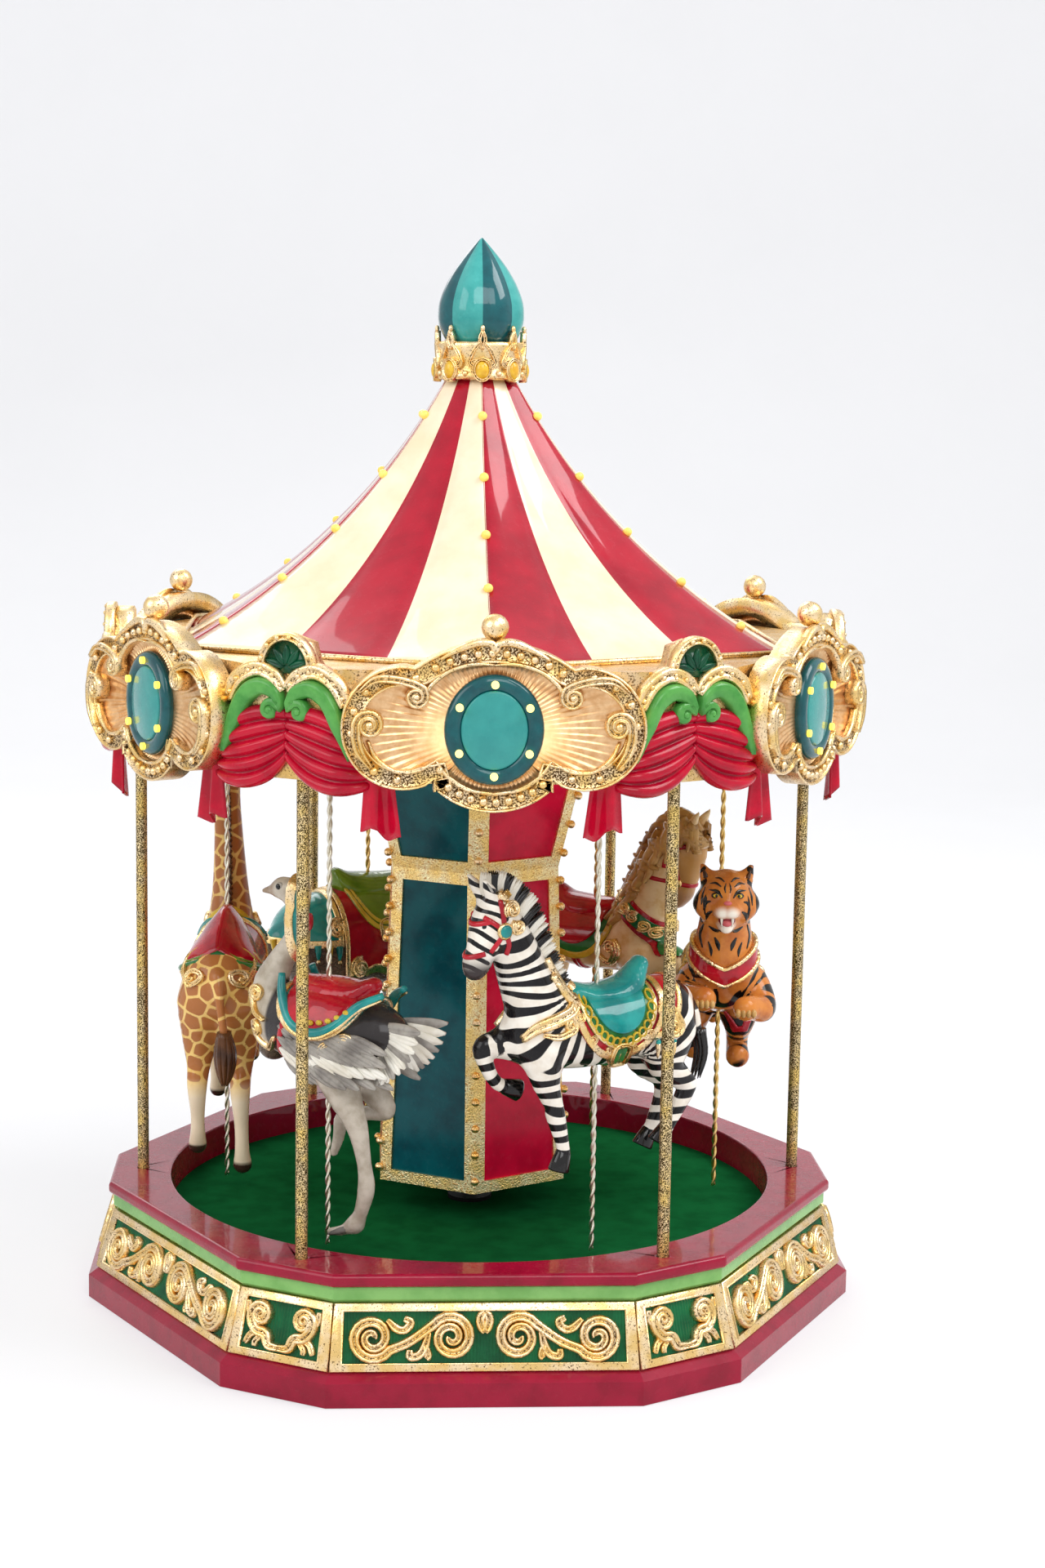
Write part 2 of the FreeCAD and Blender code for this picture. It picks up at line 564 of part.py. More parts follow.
def make_pinion():
    """Toothed pinion moulded on the motor's own shaft."""
    gear = spur_gear(PINION_TEETH, GEAR_T + 0.6)
    gear.rotate(Vector(0, 0, 0), Vector(0, 0, 1), -90 + 180 / PINION_TEETH)
    gear.translate(MOTOR_CENTRE + Vector(0, 0, GEAR_Z - 0.3))
    shaft = upright(MOTOR_SHAFT_R, COVER_TOP_Z + 3.0 + THRUST_GAP, GEAR_Z + GEAR_T, MOTOR_CENTRE)
    return gear.fuse(shaft).removeSplitter()


def make_drive_gear():
    """Spur gear pressed on the foot of the turning shaft."""
    gear = spur_gear(GEAR_TEETH, GEAR_T)
    gear.rotate(Vector(0, 0, 0), Vector(0, 0, 1), 90)
    gear.translate(Vector(0, 0, GEAR_Z))
    hub = upright(BUSH_R, GEAR_Z - 2.0, GEAR_Z + GEAR_T + 2.0)
    return gear.fuse(hub).removeSplitter().cut(upright(SHAFT_R, GEAR_Z - 2.0, GEAR_Z + GEAR_T + 2.0))


def spur_gear(teeth, width):
    """Involute spur gear about the origin, with a tooth centred on +X."""
    pitch_r = MODULE * teeth / 2
    base_r = pitch_r * math.cos(PRESSURE_ANGLE)
    tip_r = pitch_r + ADDENDUM * MODULE
    root_r = pitch_r - DEDENDUM * MODULE
    half_tooth = math.pi / (2 * teeth) - BACKLASH / (4 * pitch_r)
    flank_steps = 4

    def half_angle(radius):
        roll = math.acos(min(1.0, base_r / radius))
        start = math.tan(PRESSURE_ANGLE) - PRESSURE_ANGLE
        return half_tooth + start - (math.tan(roll) - roll)

    low = max(base_r, root_r)
    radii = [low + (tip_r - low) * k / flank_steps for k in range(flank_steps + 1)]
    flank = [(root_r, half_angle(low))] + [(r, half_angle(r)) for r in radii]
    corners = []
    for tooth in range(teeth):
        middle = 2 * math.pi * tooth / teeth
        for radius, half in flank:
            corners.append(Vector(radius * math.cos(middle - half), radius * math.sin(middle - half), 0))
        for radius, half in reversed(flank):
            corners.append(Vector(radius * math.cos(middle + half), radius * math.sin(middle + half), 0))
    return prism(Part.makePolygon(corners + corners[:1]), width)


def make_circuit_board():
    """Board with the sound chip, a capacitor and a connector, on four posts."""
    low = COVER_TOP_Z + BOARD_POST_H
    top = low + BOARD[2]
    board = block(BOARD[0], BOARD[1], low, top, BOARD_CENTRE)
    chip = block(10, 10, top, top + 1.6, (BOARD_CENTRE[0] - 8, BOARD_CENTRE[1] + 4))
    plug = block(12, 5, top, top + 5.0, (BOARD_CENTRE[0] + 14, BOARD_CENTRE[1] - 9))
    can = upright(3.2, top, top + 8.0, Vector(BOARD_CENTRE[0] + 14, BOARD_CENTRE[1] + 6, 0))
    return fuse_all([board, chip, plug, can])


def make_speaker():
    """Small loudspeaker, face down over the grille."""
    centre = Vector(SPEAKER_CENTRE[0], SPEAKER_CENTRE[1], COVER_TOP_Z)
    rim = Part.makeCylinder(SPEAKER_R, SPEAKER_RIM_T, centre)
    cone_at = centre + Vector(0, 0, SPEAKER_RIM_T)
    basket = Part.makeCone(SPEAKER_R - 2.0, SPEAKER_MAGNET_R, SPEAKER_CONE_H, cone_at)
    magnet = Part.makeCylinder(SPEAKER_MAGNET_R, SPEAKER_MAGNET_H, cone_at + Vector(0, 0, SPEAKER_CONE_H))
    hollow = Part.makeCone(SPEAKER_R - 4.0, SPEAKER_MAGNET_R - 4.0, SPEAKER_CONE_H, centre)
    return fuse_all([rim, basket, magnet]).cut(hollow)


def control_wall_y():
    """Inner face of the plinth's back wall, where the switches sit."""
    return BACK_FACE_Y - PLINTH_WALL


def make_control_switches():
    """Slide switch and push switch behind the plinth's back wall, each with a channel for its actuator."""
    width, depth, height = SWITCH_BODY
    low, high = CONTROL_Z - height / 2, CONTROL_Z + height / 2
    middle_y = control_wall_y() - depth / 2
    slide = block(width, depth, low, high, (SWITCH_X, middle_y))
    channel_w = SWITCH_KNOB[0] + SWITCH_TRAVEL + 2 * CONTROL_CLEAR
    channel_h = SWITCH_KNOB[1] + 2 * CONTROL_CLEAR
    channel = block(channel_w, depth, CONTROL_Z - channel_h / 2, CONTROL_Z + channel_h / 2,
                    (SWITCH_X, middle_y + CONTROL_BACK))
    push = block(width / 2, depth, low, high, (BUTTON_X, middle_y))
    pocket_w = 2 * (BUTTON_COLLAR_R + CONTROL_CLEAR)
    pocket_d = BUTTON_COLLAR_T + BUTTON_TRAVEL + 2 * CONTROL_CLEAR
    pocket = block(pocket_w, pocket_d, low, high, (BUTTON_X, control_wall_y() - pocket_d / 2))
    return Part.makeCompound([slide.cut(channel), push.cut(pocket)])


def make_switch_knob():
    """Knob of the slide switch, at the end of its travel nearest the middle."""
    depth = PLINTH_WALL + CONTROL_PROUD + SWITCH_BODY[1] - CONTROL_BACK - CONTROL_CLEAR
    y = BACK_FACE_Y + CONTROL_PROUD - depth / 2
    return block(SWITCH_KNOB[0], depth, CONTROL_Z - SWITCH_KNOB[1] / 2, CONTROL_Z + SWITCH_KNOB[1] / 2,
                 (SWITCH_X - SWITCH_TRAVEL / 2, y))


def make_tune_button():
    """Push button that chooses the tune, with a collar that keeps it in."""
    end = Vector(BUTTON_X, BACK_FACE_Y + CONTROL_PROUD, CONTROL_Z)
    collar_at = Vector(BUTTON_X, control_wall_y() - CONTROL_CLEAR, CONTROL_Z)
    collar = Part.makeCylinder(BUTTON_COLLAR_R, BUTTON_COLLAR_T, collar_at, Vector(0, -1, 0))
    stem = Part.makeCylinder(BUTTON_R, end.y - collar_at.y + BUTTON_COLLAR_T, end, Vector(0, -1, 0))
    return stem.fuse(collar).removeSplitter()


def bush(flange_z, bottom_z, top_z):
    """Flanged plain bush about the turning shaft."""
    sleeve = upright(BUSH_R, bottom_z, top_z)
    flange = upright(BUSH_FLANGE_R, flange_z, flange_z + BUSH_FLANGE_T)
    bore = upright(SHAFT_R + RUNNING_CLEAR, bottom_z, top_z + BUSH_FLANGE_T)
    return sleeve.fuse(flange).removeSplitter().cut(bore)


def make_lower_bush():
    """Bush in the cover's boss, closed below to carry the shaft's foot."""
    top = COVER_TOP_Z + LOWER_BOSS_H
    sleeve = upright(BUSH_R, COVER_TOP_Z, top)
    flange = upright(BUSH_FLANGE_R, top, top + BUSH_FLANGE_T)
    bore = upright(SHAFT_R + RUNNING_CLEAR, SHAFT_FOOT_Z - THRUST_GAP, top + BUSH_FLANGE_T)
    return sleeve.fuse(flange).removeSplitter().cut(bore)


def make_floor_bush():
    """Bush where the shaft comes up through the floor."""
    return bush(FLOOR_TOP_Z, FLOOR_TOP_Z - FLOOR_T, FLOOR_TOP_Z)


def make_top_bush():
    """Bush that steadies the shaft's head in the canopy's bridge."""
    return bush(CANOPY_TOP_Z + BRIDGE_T, CANOPY_TOP_Z, CANOPY_TOP_Z + BRIDGE_T)


# Columns and canopy.
def column_feet():
    """Plan points of the six columns, in the middles of the short sides."""
    return [outward(SIDE_STEP + k * SECTOR) * COLUMN_PITCH_R for k in range(6)]


def make_column(at):
    """Brass tube from the rim up into the canopy."""
    return upright(COLUMN_R, MOULDING_TOP_Z, CANOPY_BOTTOM_Z + COLUMN_SOCKET, at)


def make_canopy_ring():
    """Twelve-sided carcass that the shields hang on, with the deck that carries the roof."""
    height = CANOPY_TOP_Z - CANOPY_BOTTOM_Z
    outer = prism(twelve_sided(CANOPY_APOTHEM, CANOPY_BOTTOM_Z), height)
    hollow = prism(twelve_sided(CANOPY_INNER_APOTHEM, CANOPY_BOTTOM_Z), height - DECK_T)
    opening = prism(twelve_sided(DECK_INNER_APOTHEM, CANOPY_BOTTOM_Z), height)
    sockets = [upright(COLUMN_R + COLUMN_CLEAR, CANOPY_BOTTOM_Z, CANOPY_BOTTOM_Z + COLUMN_SOCKET, at)
               for at in column_feet()]
    return outer.cut(fuse_all([hollow, opening])).cut(fuse_all(sockets))


def make_top_bridge():
    """Three bars across the deck with a hub for the top bush."""
    bars = []
    for k in range(3):
        corner = Vector(-BRIDGE_R, -BRIDGE_ARM_W / 2, CANOPY_TOP_Z)
        bar = Part.makeBox(2 * BRIDGE_R, BRIDGE_ARM_W, BRIDGE_T, corner)
        bar.rotate(Vector(0, 0, 0), Vector(0, 0, 1), k * SECTOR + 90)
        bars.append(bar)
    hub = upright(BRIDGE_HUB_R, CANOPY_TOP_Z, CANOPY_TOP_Z + BRIDGE_T)
    return fuse_all(bars + [hub]).cut(upright(BUSH_R, CANOPY_TOP_Z, CANOPY_TOP_Z + BRIDGE_T))


def ridge_points(inset):
    """Foot, middle and head of a ridge's sagging arc, as (radius, height)."""
    foot = (ROOF_RIDGE_R - inset, CANOPY_TOP_Z)
    head = (ROOF_NECK_R - inset, ROOF_NECK_Z)
    run, rise = head[0] - foot[0], head[1] - foot[1]
    span = math.hypot(run, rise)
    middle_r = (foot[0] + head[0]) / 2 - rise / span * ROOF_SAG
    middle_z = (foot[1] + head[1]) / 2 + run / span * ROOF_SAG
    return foot, (middle_r, middle_z), head


def hex_roof(inset):
    """Six-sided solid with sagging ridges, pulled in by the inset."""
    ends = [(ridge_points(inset)[0], 0), (ridge_points(inset)[2], 2)]

    def ridge(k):
        return [outward(k * SECTOR) * r + Vector(0, 0, z) for r, z in ridge_points(inset)]

    arcs = [arc(*ridge(k)) for k in range(6)]
    faces = [Part.makeRuledSurface(arcs[k], arcs[(k + 1) % 6]) for k in range(6)]
    for (radius, z), which in ends:
        corners = [ridge(k)[which] for k in range(6)]
        faces.append(Part.Face(Part.makePolygon(corners + corners[:1])))
    shell = Part.makeShell(faces)
    shell.sewShape()
    solid = Part.makeSolid(shell)
    if solid.Volume < 0:
        solid.reverse()
    return solid


def make_roof_shell():
    """Tent-shaped roof: a six-sided shell with a hole for the finial's stud."""
    hollow = hex_roof(ROOF_WALL / math.cos(math.radians(SIDE_STEP)))
    below_cap = upright(ROOF_RIDGE_R, CANOPY_TOP_Z, ROOF_NECK_Z - ROOF_WALL)
    stud_hole = upright(STUD_R, ROOF_NECK_Z - ROOF_WALL, ROOF_NECK_Z)
    return hex_roof(0).cut(hollow.common(below_cap)).cut(stud_hole).cut(make_roof_bulbs())


def ridge_circle():
    """Centre and radius of a ridge's arc in its (radius, height) plane."""
    (ax, ay), (bx, by), (cx, cy) = ridge_points(0)
    d = 2 * (ax * (by - cy) + bx * (cy - ay) + cx * (ay - by))
    sa, sb, sc = ax * ax + ay * ay, bx * bx + by * by, cx * cx + cy * cy
    x = (sa * (by - cy) + sb * (cy - ay) + sc * (ay - by)) / d
    y = (sa * (cx - bx) + sb * (ax - cx) + sc * (bx - ax)) / d
    return x, y, math.hypot(ax - x, ay - y)


def bulb_stations():
    """Places of the bulbs on a ridge, as (radius, height), evenly spread along its arc."""
    x, y, radius = ridge_circle()
    foot, _, head = ridge_points(0)
    start = math.atan2(foot[1] - y, foot[0] - x)
    end = math.atan2(head[1] - y, head[0] - x)
    first, last = BULB_SPREAD
    shares = [first + (last - first) * k / (BULBS_PER_RIDGE - 1) for k in range(BULBS_PER_RIDGE)]
    angles = [start + (end - start) * share for share in shares]
    return [(x + radius * math.cos(angle), y + radius * math.sin(angle), angle) for angle in angles]


def make_roof_bulbs():
    """Small lamps pushed into the ridges: a dome on a stem."""
    bulbs = []
    for k in range(6):
        for r, z, angle in bulb_stations():
            normal = (outward(k * SECTOR) * -math.cos(angle) + Vector(0, 0, -math.sin(angle))).normalize()
            at = outward(k * SECTOR) * r + Vector(0, 0, z)
            stem = Part.makeCylinder(BULB_R * 0.6, BULB_STEM, at - normal * BULB_STEM, normal)
            bulbs.append(stem.fuse(Part.makeSphere(BULB_R, at, normal)).removeSplitter())
    return Part.makeCompound(bulbs)


def make_finial_crown():
    """Gilded collar on the roof's neck."""
    ring = upright(CROWN_R, ROOF_NECK_Z, ROOF_NECK_Z + CROWN_H)
    return ring.cut(upright(CROWN_BORE_R, ROOF_NECK_Z, ROOF_NECK_Z + CROWN_H))


def make_finial_dome():
    """Onion dome that ends in a point, screwed down on the stud."""
    foot = ROOF_NECK_Z + CROWN_H
    wide = Vector(DOME_R, 0, foot + DOME_WIDE_H)
    tip = Vector(DOME_TIP_R, 0, TIP_Z)
    shoulder = Vector(DOME_R, 0, wide.z + DOME_SHOULDER * (TIP_Z - wide.z))
    edges = [line(Vector(0, 0, foot), Vector(DOME_FOOT_R, 0, foot)),
             arc(Vector(DOME_FOOT_R, 0, foot), Vector(DOME_R - 0.8, 0, foot + DOME_WIDE_H / 2), wide),
             bezier([wide, shoulder, tip]),
             line(tip, Vector(0, 0, TIP_Z)),
             line(Vector(0, 0, TIP_Z), Vector(0, 0, foot))]
    return revolved(edges).cut(upright(STUD_R, foot, foot + STUD_IN_DOME))


def make_finial_stud():
    """Threaded stud through the roof's neck and the crown into the dome."""
    cap_z = ROOF_NECK_Z - ROOF_WALL
    nut = upright(2 * STUD_R, cap_z - STUD_NUT_H, cap_z)
    stud = upright(STUD_R, cap_z - 2 * STUD_NUT_H, ROOF_NECK_Z + CROWN_H + STUD_IN_DOME)
    return stud.fuse(nut).removeSplitter()


# Shields round the canopy.
def medallion_wire(scale, distance):
    """Four-lobed outline of a front medallion, drawn about its centre and stood on its plane."""
    def at(x, z):
        return on_side(0, distance, x * scale, MEDALLION_Z + z * scale)

    left_top, right_top = (-NOTCH_TOP[0], NOTCH_TOP[1]), NOTCH_TOP
    left_low, right_low = (-NOTCH_BOTTOM[0], NOTCH_BOTTOM[1]), NOTCH_BOTTOM
    return Part.Wire([arc(at(*left_low), at(0, MEDALLION_DOWN), at(*right_low)),
                      arc(at(*right_low), at(LOBE_X, 0.5), at(*right_top)),
                      arc(at(*right_top), at(0, MEDALLION_UP), at(*left_top)),
                      arc(at(*left_top), at(-LOBE_X, 0.5), at(*left_low))])


def plate_out(wire, thickness):
    """Plate that stands out of a flat wire towards the front."""
    return Part.Face(wire).extrude(outward(0) * thickness)


def ellipse_plate(half_w, half_h, distance, thickness):
    """Upright elliptical plate about the medallion's centre."""
    curve = Part.Ellipse(Vector(0, 0, 0), max(half_w, half_h), min(half_w, half_h)).toShape()
    curve.rotate(Vector(0, 0, 0), Vector(0, 0, 1), 90)
    curve.rotate(Vector(0, 0, 0), Vector(1, 0, 0), 90)
    curve.translate(on_side(0, distance, 0, MEDALLION_Z))
    return plate_out(Part.Wire([curve]), thickness)


def make_medallion():
    """Shield with a back layer, a scalloped frame round a pocket, an oval boss and a ball on top."""
    face_d = CANOPY_APOTHEM + MEDALLION_BACK_T
    back = plate_out(medallion_wire(0.96, CANOPY_APOTHEM), MEDALLION_BACK_T)
    face = plate_out(medallion_wire(1.0, face_d), MEDALLION_FACE_T)
    inner = 1 - MEDALLION_RIM_W / MEDALLION_UP
    pocket = plate_out(medallion_wire(inner, MEDALLION_FACE_D - MEDALLION_POCKET), MEDALLION_POCKET)
    boss = ellipse_plate(BOSS_HALF_W, BOSS_HALF_H, MEDALLION_FACE_D - MEDALLION_POCKET,
                         MEDALLION_POCKET + BOSS_PROUD)
    ball = Part.makeSphere(BALL_R, on_side(0, face_d, 0, MEDALLION_Z + MEDALLION_UP + 0.4 * BALL_R))
    return fuse_all([fuse_all([back, face]).cut(pocket), boss, ball])


def make_medallion_lamps():
    """Six lamps on the oval of each medallion."""
    first = []
    for k in range(LAMPS_PER_MEDALLION):
        angle = 2 * math.pi * k / LAMPS_PER_MEDALLION
        at = on_side(0, MEDALLION_FACE_D + BOSS_PROUD, LAMP_RING[0] * math.sin(angle),
                     MEDALLION_Z + LAMP_RING[1] * math.cos(angle))
        first.append(Part.makeCylinder(LAMP_R, LAMP_H, at, outward(0)))
    return Part.makeCompound([copy for lamp in first for copy in around(lamp)])


def make_drape():
    """Shield of a short side: two swags, a crest and a hanging tail at each end, facing the front."""
    distance = CANOPY_APOTHEM + SHORT_SIDE_EXTRA

    def at(x, z):
        return on_side(0, distance, x, z)

    half = DRAPE_HALF_W
    low, high = DRAPE_SIDE_Z
    crest, hump = CREST_HALF_W, DRAPE_HUMP_Z
    shoulder_x, shoulder_z = half * 0.72, hump - 1.6
    wire = Part.Wire([arc(at(-half, low), at(-half / 2, DRAPE_SWAG_Z), at(0, DRAPE_JOIN_Z)),
                      arc(at(0, DRAPE_JOIN_Z), at(half / 2, DRAPE_SWAG_Z), at(half, low)),
                      line(at(half, low), at(half, high)),
                      arc(at(half, high), at(shoulder_x, shoulder_z), at(crest, hump)),
                      arc(at(crest, hump), at(0, CREST_TOP_Z), at(-crest, hump)),
                      arc(at(-crest, hump), at(-shoulder_x, shoulder_z), at(-half, high)),
                      line(at(-half, high), at(-half, low))])
    plate = plate_out(wire, DRAPE_T)
    tails = []
    for side in (-1, 1):
        left = side * (half - TAIL_W / 2) - TAIL_W / 2
        corner = on_side(0, distance + TAIL_T, left, TAIL_BOTTOM_Z)
        tails.append(Part.makeBox(TAIL_W, TAIL_T, DRAPE_JOIN_Z + 1 - TAIL_BOTTOM_Z, corner))
    return fuse_all([plate] + tails)


# Turning set.
def make_main_shaft():
    """Steel shaft from the thrust bush to the canopy's bridge."""
    return upright(SHAFT_R, SHAFT_FOOT_Z, SHAFT_HEAD_Z)


def rod_points():
    """Plan points of the six rods."""
    return [outward(azimuth + RIDE_TURN) * ROD_PITCH_R for _, _, azimuth in RIDERS]


def make_rod_carrier():
    """Disc on the shaft, hidden in the canopy, that the rods hang from."""
    disc = upright(CARRIER_R, CARRIER_Z, CARRIER_TOP_Z)
    hub = upright(CARRIER_HUB_R, CARRIER_Z, CARRIER_Z + CARRIER_HUB_H)
    holes = [upright(ROD_R + ROD_CLEAR, CARRIER_Z, CARRIER_TOP_Z, at) for at in rod_points()]
    holes.append(upright(SHAFT_R, CARRIER_Z, CARRIER_Z + CARRIER_HUB_H))
    return disc.fuse(hub).removeSplitter().cut(fuse_all(holes))


def make_hanger_rods():
    """Six rods of twisted wire, each as a plain round of its outer size."""
    top = CARRIER_TOP_Z + ROD_ABOVE_CARRIER
    return Part.makeCompound([upright(ROD_R, ROD_FOOT_Z, top, at) for at in rod_points()])


def make_rod_collars():
    """Collars that clamp each rod above and below the carrier."""
    collars = []
    for at in rod_points():
        for z in (CARRIER_Z - COLLAR_H, CARRIER_TOP_Z):
            bore = upright(ROD_R + ROD_CLEAR, z, z + COLLAR_H, at)
            collars.append(upright(COLLAR_R, z, z + COLLAR_H, at).cut(bore))
    return Part.makeCompound(collars)


def hexagon(radius, z):
    """Closed wire of a hexagon with a corner at the front."""
    corners = [outward(k * SECTOR) * radius + Vector(0, 0, z) for k in range(6)]
    return Part.makePolygon(corners + corners[:1])


def drum_stage(stage):
    """(foot radius, foot height, head radius, head height) of the drum's lower or upper stage."""
    if stage == 0:
        return DRUM_FOOT_R, DRUM_FOOT_Z, DRUM_WAIST_R, DRUM_WAIST_Z
    return DRUM_WAIST_R, DRUM_WAIST_Z, DRUM_HEAD_R, CARRIER_Z


def drum_panel(stage, k, depth, thickness):
    """Flat panel of one face of the drum, lying that deep under the face."""
    r0, z0, r1, z1 = drum_stage(stage)
    corner = [outward(k * SECTOR), outward((k + 1) * SECTOR)]
    foot = [c * r0 + Vector(0, 0, z0) for c in corner]
    head = [c * r1 + Vector(0, 0, z1) for c in corner]
    along = (foot[1] - foot[0]).normalize()
    up = ((head[0] + head[1]) - (foot[0] + foot[1])).normalize()
    normal = along.cross(up)
    lean = DRUM_BAND_H * (r0 - r1) / 2 / (z1 - z0)
    rise = up * DRUM_BAND_H
    low, high = along * (DRUM_POST_W + lean), along * (DRUM_POST_W - lean)
    points = [foot[0] + low + rise, foot[1] - low + rise, head[1] - high - rise, head[0] + high - rise]
    face = Part.Face(Part.makePolygon(points + points[:1]))
    face.translate(normal * -(depth + thickness))
    return face.extrude(normal * thickness)


def make_drum_frame():
    """Gilded frame of the drum: posts and bands round twelve openings, with a floor on the shaft."""
    def stage_shell(stage, inset):
        r0, z0, r1, z1 = drum_stage(stage)
        return tapered(hexagon(r0 - inset, z0), hexagon(r1 - inset, z1))

    inset = DRUM_WALL / math.cos(math.radians(SIDE_STEP))
    outer = fuse_all([stage_shell(0, 0), stage_shell(1, 0)])
    inner = fuse_all([stage_shell(0, inset), stage_shell(1, inset)])
    windows = [drum_panel(stage, k, -1.0, DRUM_WALL + 4.0) for stage in (0, 1) for k in range(6)]
    floor = prism(hexagon(DRUM_FOOT_R - inset, DRUM_FOOT_Z), DRUM_FLOOR_T)
    shell = outer.cut(inner).cut(fuse_all(windows))
    return fuse_all([shell, floor]).cut(upright(SHAFT_R, DRUM_FOOT_Z, DRUM_FOOT_Z + DRUM_FLOOR_T))


def make_drum_panels(parity):
    """Painted panels of every other face, lower and upper."""
    return Part.makeCompound([drum_panel(stage, k, PANEL_RECESS, PANEL_T)
                              for stage in (0, 1) for k in range(6) if k % 2 == parity])


def limb(start, end):
    """Round bar between two balls, a little thinner than they are."""
    (a, ra), (b, rb) = start, end
    if abs(ra - rb) < 0.05:
        return Part.makeCylinder(ra * LIMB_SHARE, (b - a).Length, a, b - a)
    return Part.makeCone(ra * LIMB_SHARE, rb * LIMB_SHARE, (b - a).Length, a, b - a)


def make_animal(chains, azimuth):
    """Cast figure: balls and cones along each chain, bored for its rod and turned to its place."""
    runs = []
    for chain in chains:
        balls = [(Vector(x, y, z), r) for x, y, z, r in chain]
        solids = [Part.makeSphere(r, at, BALL_AXIS) for at, r in balls]
        runs.append(fuse_all(solids + [limb(a, b) for a, b in zip(balls, balls[1:])]))
    figure = fuse_all(runs).cut(upright(ROD_R + ROD_CLEAR, 0, CANOPY_BOTTOM_Z))
    place = azimuth + RIDE_TURN
    figure.rotate(Vector(0, 0, 0), Vector(0, 0, 1), place + 180)
    figure.translate(outward(place) * ROD_PITCH_R)
    return figure


def main():
    os.makedirs("parts", exist_ok=True)
    parts = {
        "plinth": make_plinth(),
        "frieze_ring": make_frieze_ring(),
        "green_moulding": make_green_moulding(),
        "rim_ring": make_rim_ring(),
        "floor_disc": make_floor_disc(),
        "bottom_cover": make_bottom_cover(),
        "cover_screws": make_cover_screws(),
        "battery_door": make_battery_door(),
        "battery_cells": make_battery_cells(),
        "motor": make_motor(),
        "pinion": make_pinion(),
        "drive_gear": make_drive_gear(),
        "circuit_board": make_circuit_board(),
        "speaker": make_speaker(),
        "control_switches": make_control_switches(),
        "switch_knob": make_switch_knob(),
        "tune_button": make_tune_button(),
        "lower_bush": make_lower_bush(),
        "floor_bush": make_floor_bush(),
        "top_bush": make_top_bush(),
        "canopy_ring": make_canopy_ring(),
        "top_bridge": make_top_bridge(),
        "roof_shell": make_roof_shell(),
        "roof_bulbs": make_roof_bulbs(),
        "finial_crown": make_finial_crown(),
        "finial_dome": make_finial_dome(),
        "finial_stud": make_finial_stud(),
        "medallion_lamps": make_medallion_lamps(),
        "main_shaft": make_main_shaft(),
        "rod_carrier": make_rod_carrier(),
        "hanger_rods": make_hanger_rods(),
        "rod_collars": make_rod_collars(),
        "drum_frame": make_drum_frame(),
        "teal_panels": make_drum_panels(1),
        "red_panels": make_drum_panels(0),
    }
    for k, foot in enumerate(column_feet()):
        parts[f"column_{k + 1}"] = make_column(foot)
    for k, shield in enumerate(around(make_medallion())):
        parts[f"medallion_{k + 1}"] = shield
    drape = make_drape()
    drape.rotate(Vector(0, 0, 0), Vector(0, 0, 1), SIDE_STEP)
    for k, shield in enumerate(around(drape)):
        parts[f"drape_{k + 1}"] = shield
    for name, chains, azimuth in RIDERS:
        parts[name] = make_animal(chains, azimuth)
    for name, shape in parts.items():
        shape.exportStep(f"parts/{name}.step")
        print(name, len(shape.Solids), shape.isValid(), round(shape.Volume, 1))


main()
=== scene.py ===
from math import asin, copysign, cos, hypot, pi, radians, sin, sqrt

import bmesh
import bpy
import numpy as np
from mathutils import Matrix, Vector
from mathutils.bvhtree import BVHTree


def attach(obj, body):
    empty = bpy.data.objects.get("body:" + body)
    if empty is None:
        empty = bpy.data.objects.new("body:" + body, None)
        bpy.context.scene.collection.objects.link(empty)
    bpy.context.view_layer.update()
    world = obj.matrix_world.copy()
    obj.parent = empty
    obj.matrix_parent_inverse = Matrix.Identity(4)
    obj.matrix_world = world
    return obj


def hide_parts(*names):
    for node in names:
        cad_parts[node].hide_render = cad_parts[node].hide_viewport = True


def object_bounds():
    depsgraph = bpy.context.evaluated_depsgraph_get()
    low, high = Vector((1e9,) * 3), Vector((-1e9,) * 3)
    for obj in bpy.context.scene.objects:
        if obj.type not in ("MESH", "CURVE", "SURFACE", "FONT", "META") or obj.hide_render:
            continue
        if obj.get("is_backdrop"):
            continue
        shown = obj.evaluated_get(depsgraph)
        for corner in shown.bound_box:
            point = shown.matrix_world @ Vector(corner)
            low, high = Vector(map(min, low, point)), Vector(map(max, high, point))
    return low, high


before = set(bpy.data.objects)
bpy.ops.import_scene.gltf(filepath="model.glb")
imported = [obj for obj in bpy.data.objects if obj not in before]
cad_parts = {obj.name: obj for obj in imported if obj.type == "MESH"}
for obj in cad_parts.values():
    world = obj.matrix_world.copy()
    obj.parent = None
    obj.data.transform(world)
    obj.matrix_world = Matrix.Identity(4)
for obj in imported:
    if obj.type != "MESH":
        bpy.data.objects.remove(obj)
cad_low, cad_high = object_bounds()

# Plinth and rim: burgundy lacquer over moulded resin, polished to a high gloss.
# Both are the constructed nodes, with their hard edges rounded a little.
MM = 0.001
CLEAR_COAT_IOR = 1.38


def rgb(red, green, blue):
    """Linear colour from 8-bit display values."""
    shares = [value / 255 for value in (red, green, blue)]
    return tuple(s / 12.92 if s < 0.04045 else ((s + 0.055) / 1.055) ** 2.4 for s in shares) + (1.0,)


def put(tree, kind, sockets={}, **settings):
    """New node: sockets maps an input's name or number to a value or to another node's output."""
    made = tree.nodes.new(kind if kind.startswith("GeometryNode") else "ShaderNode" + kind)
    for name, value in settings.items():
        setattr(made, name, value)
    for name, value in sockets.items():
        if isinstance(value, bpy.types.NodeSocket):
            tree.links.new(value, made.inputs[name])
        else:
            made.inputs[name].default_value = value
    return made


def reckon(tree, operation, *values):
    """Result of a maths node on values or on other nodes' outputs."""
    return put(tree, "Math", dict(enumerate(values)), operation=operation).outputs[0]


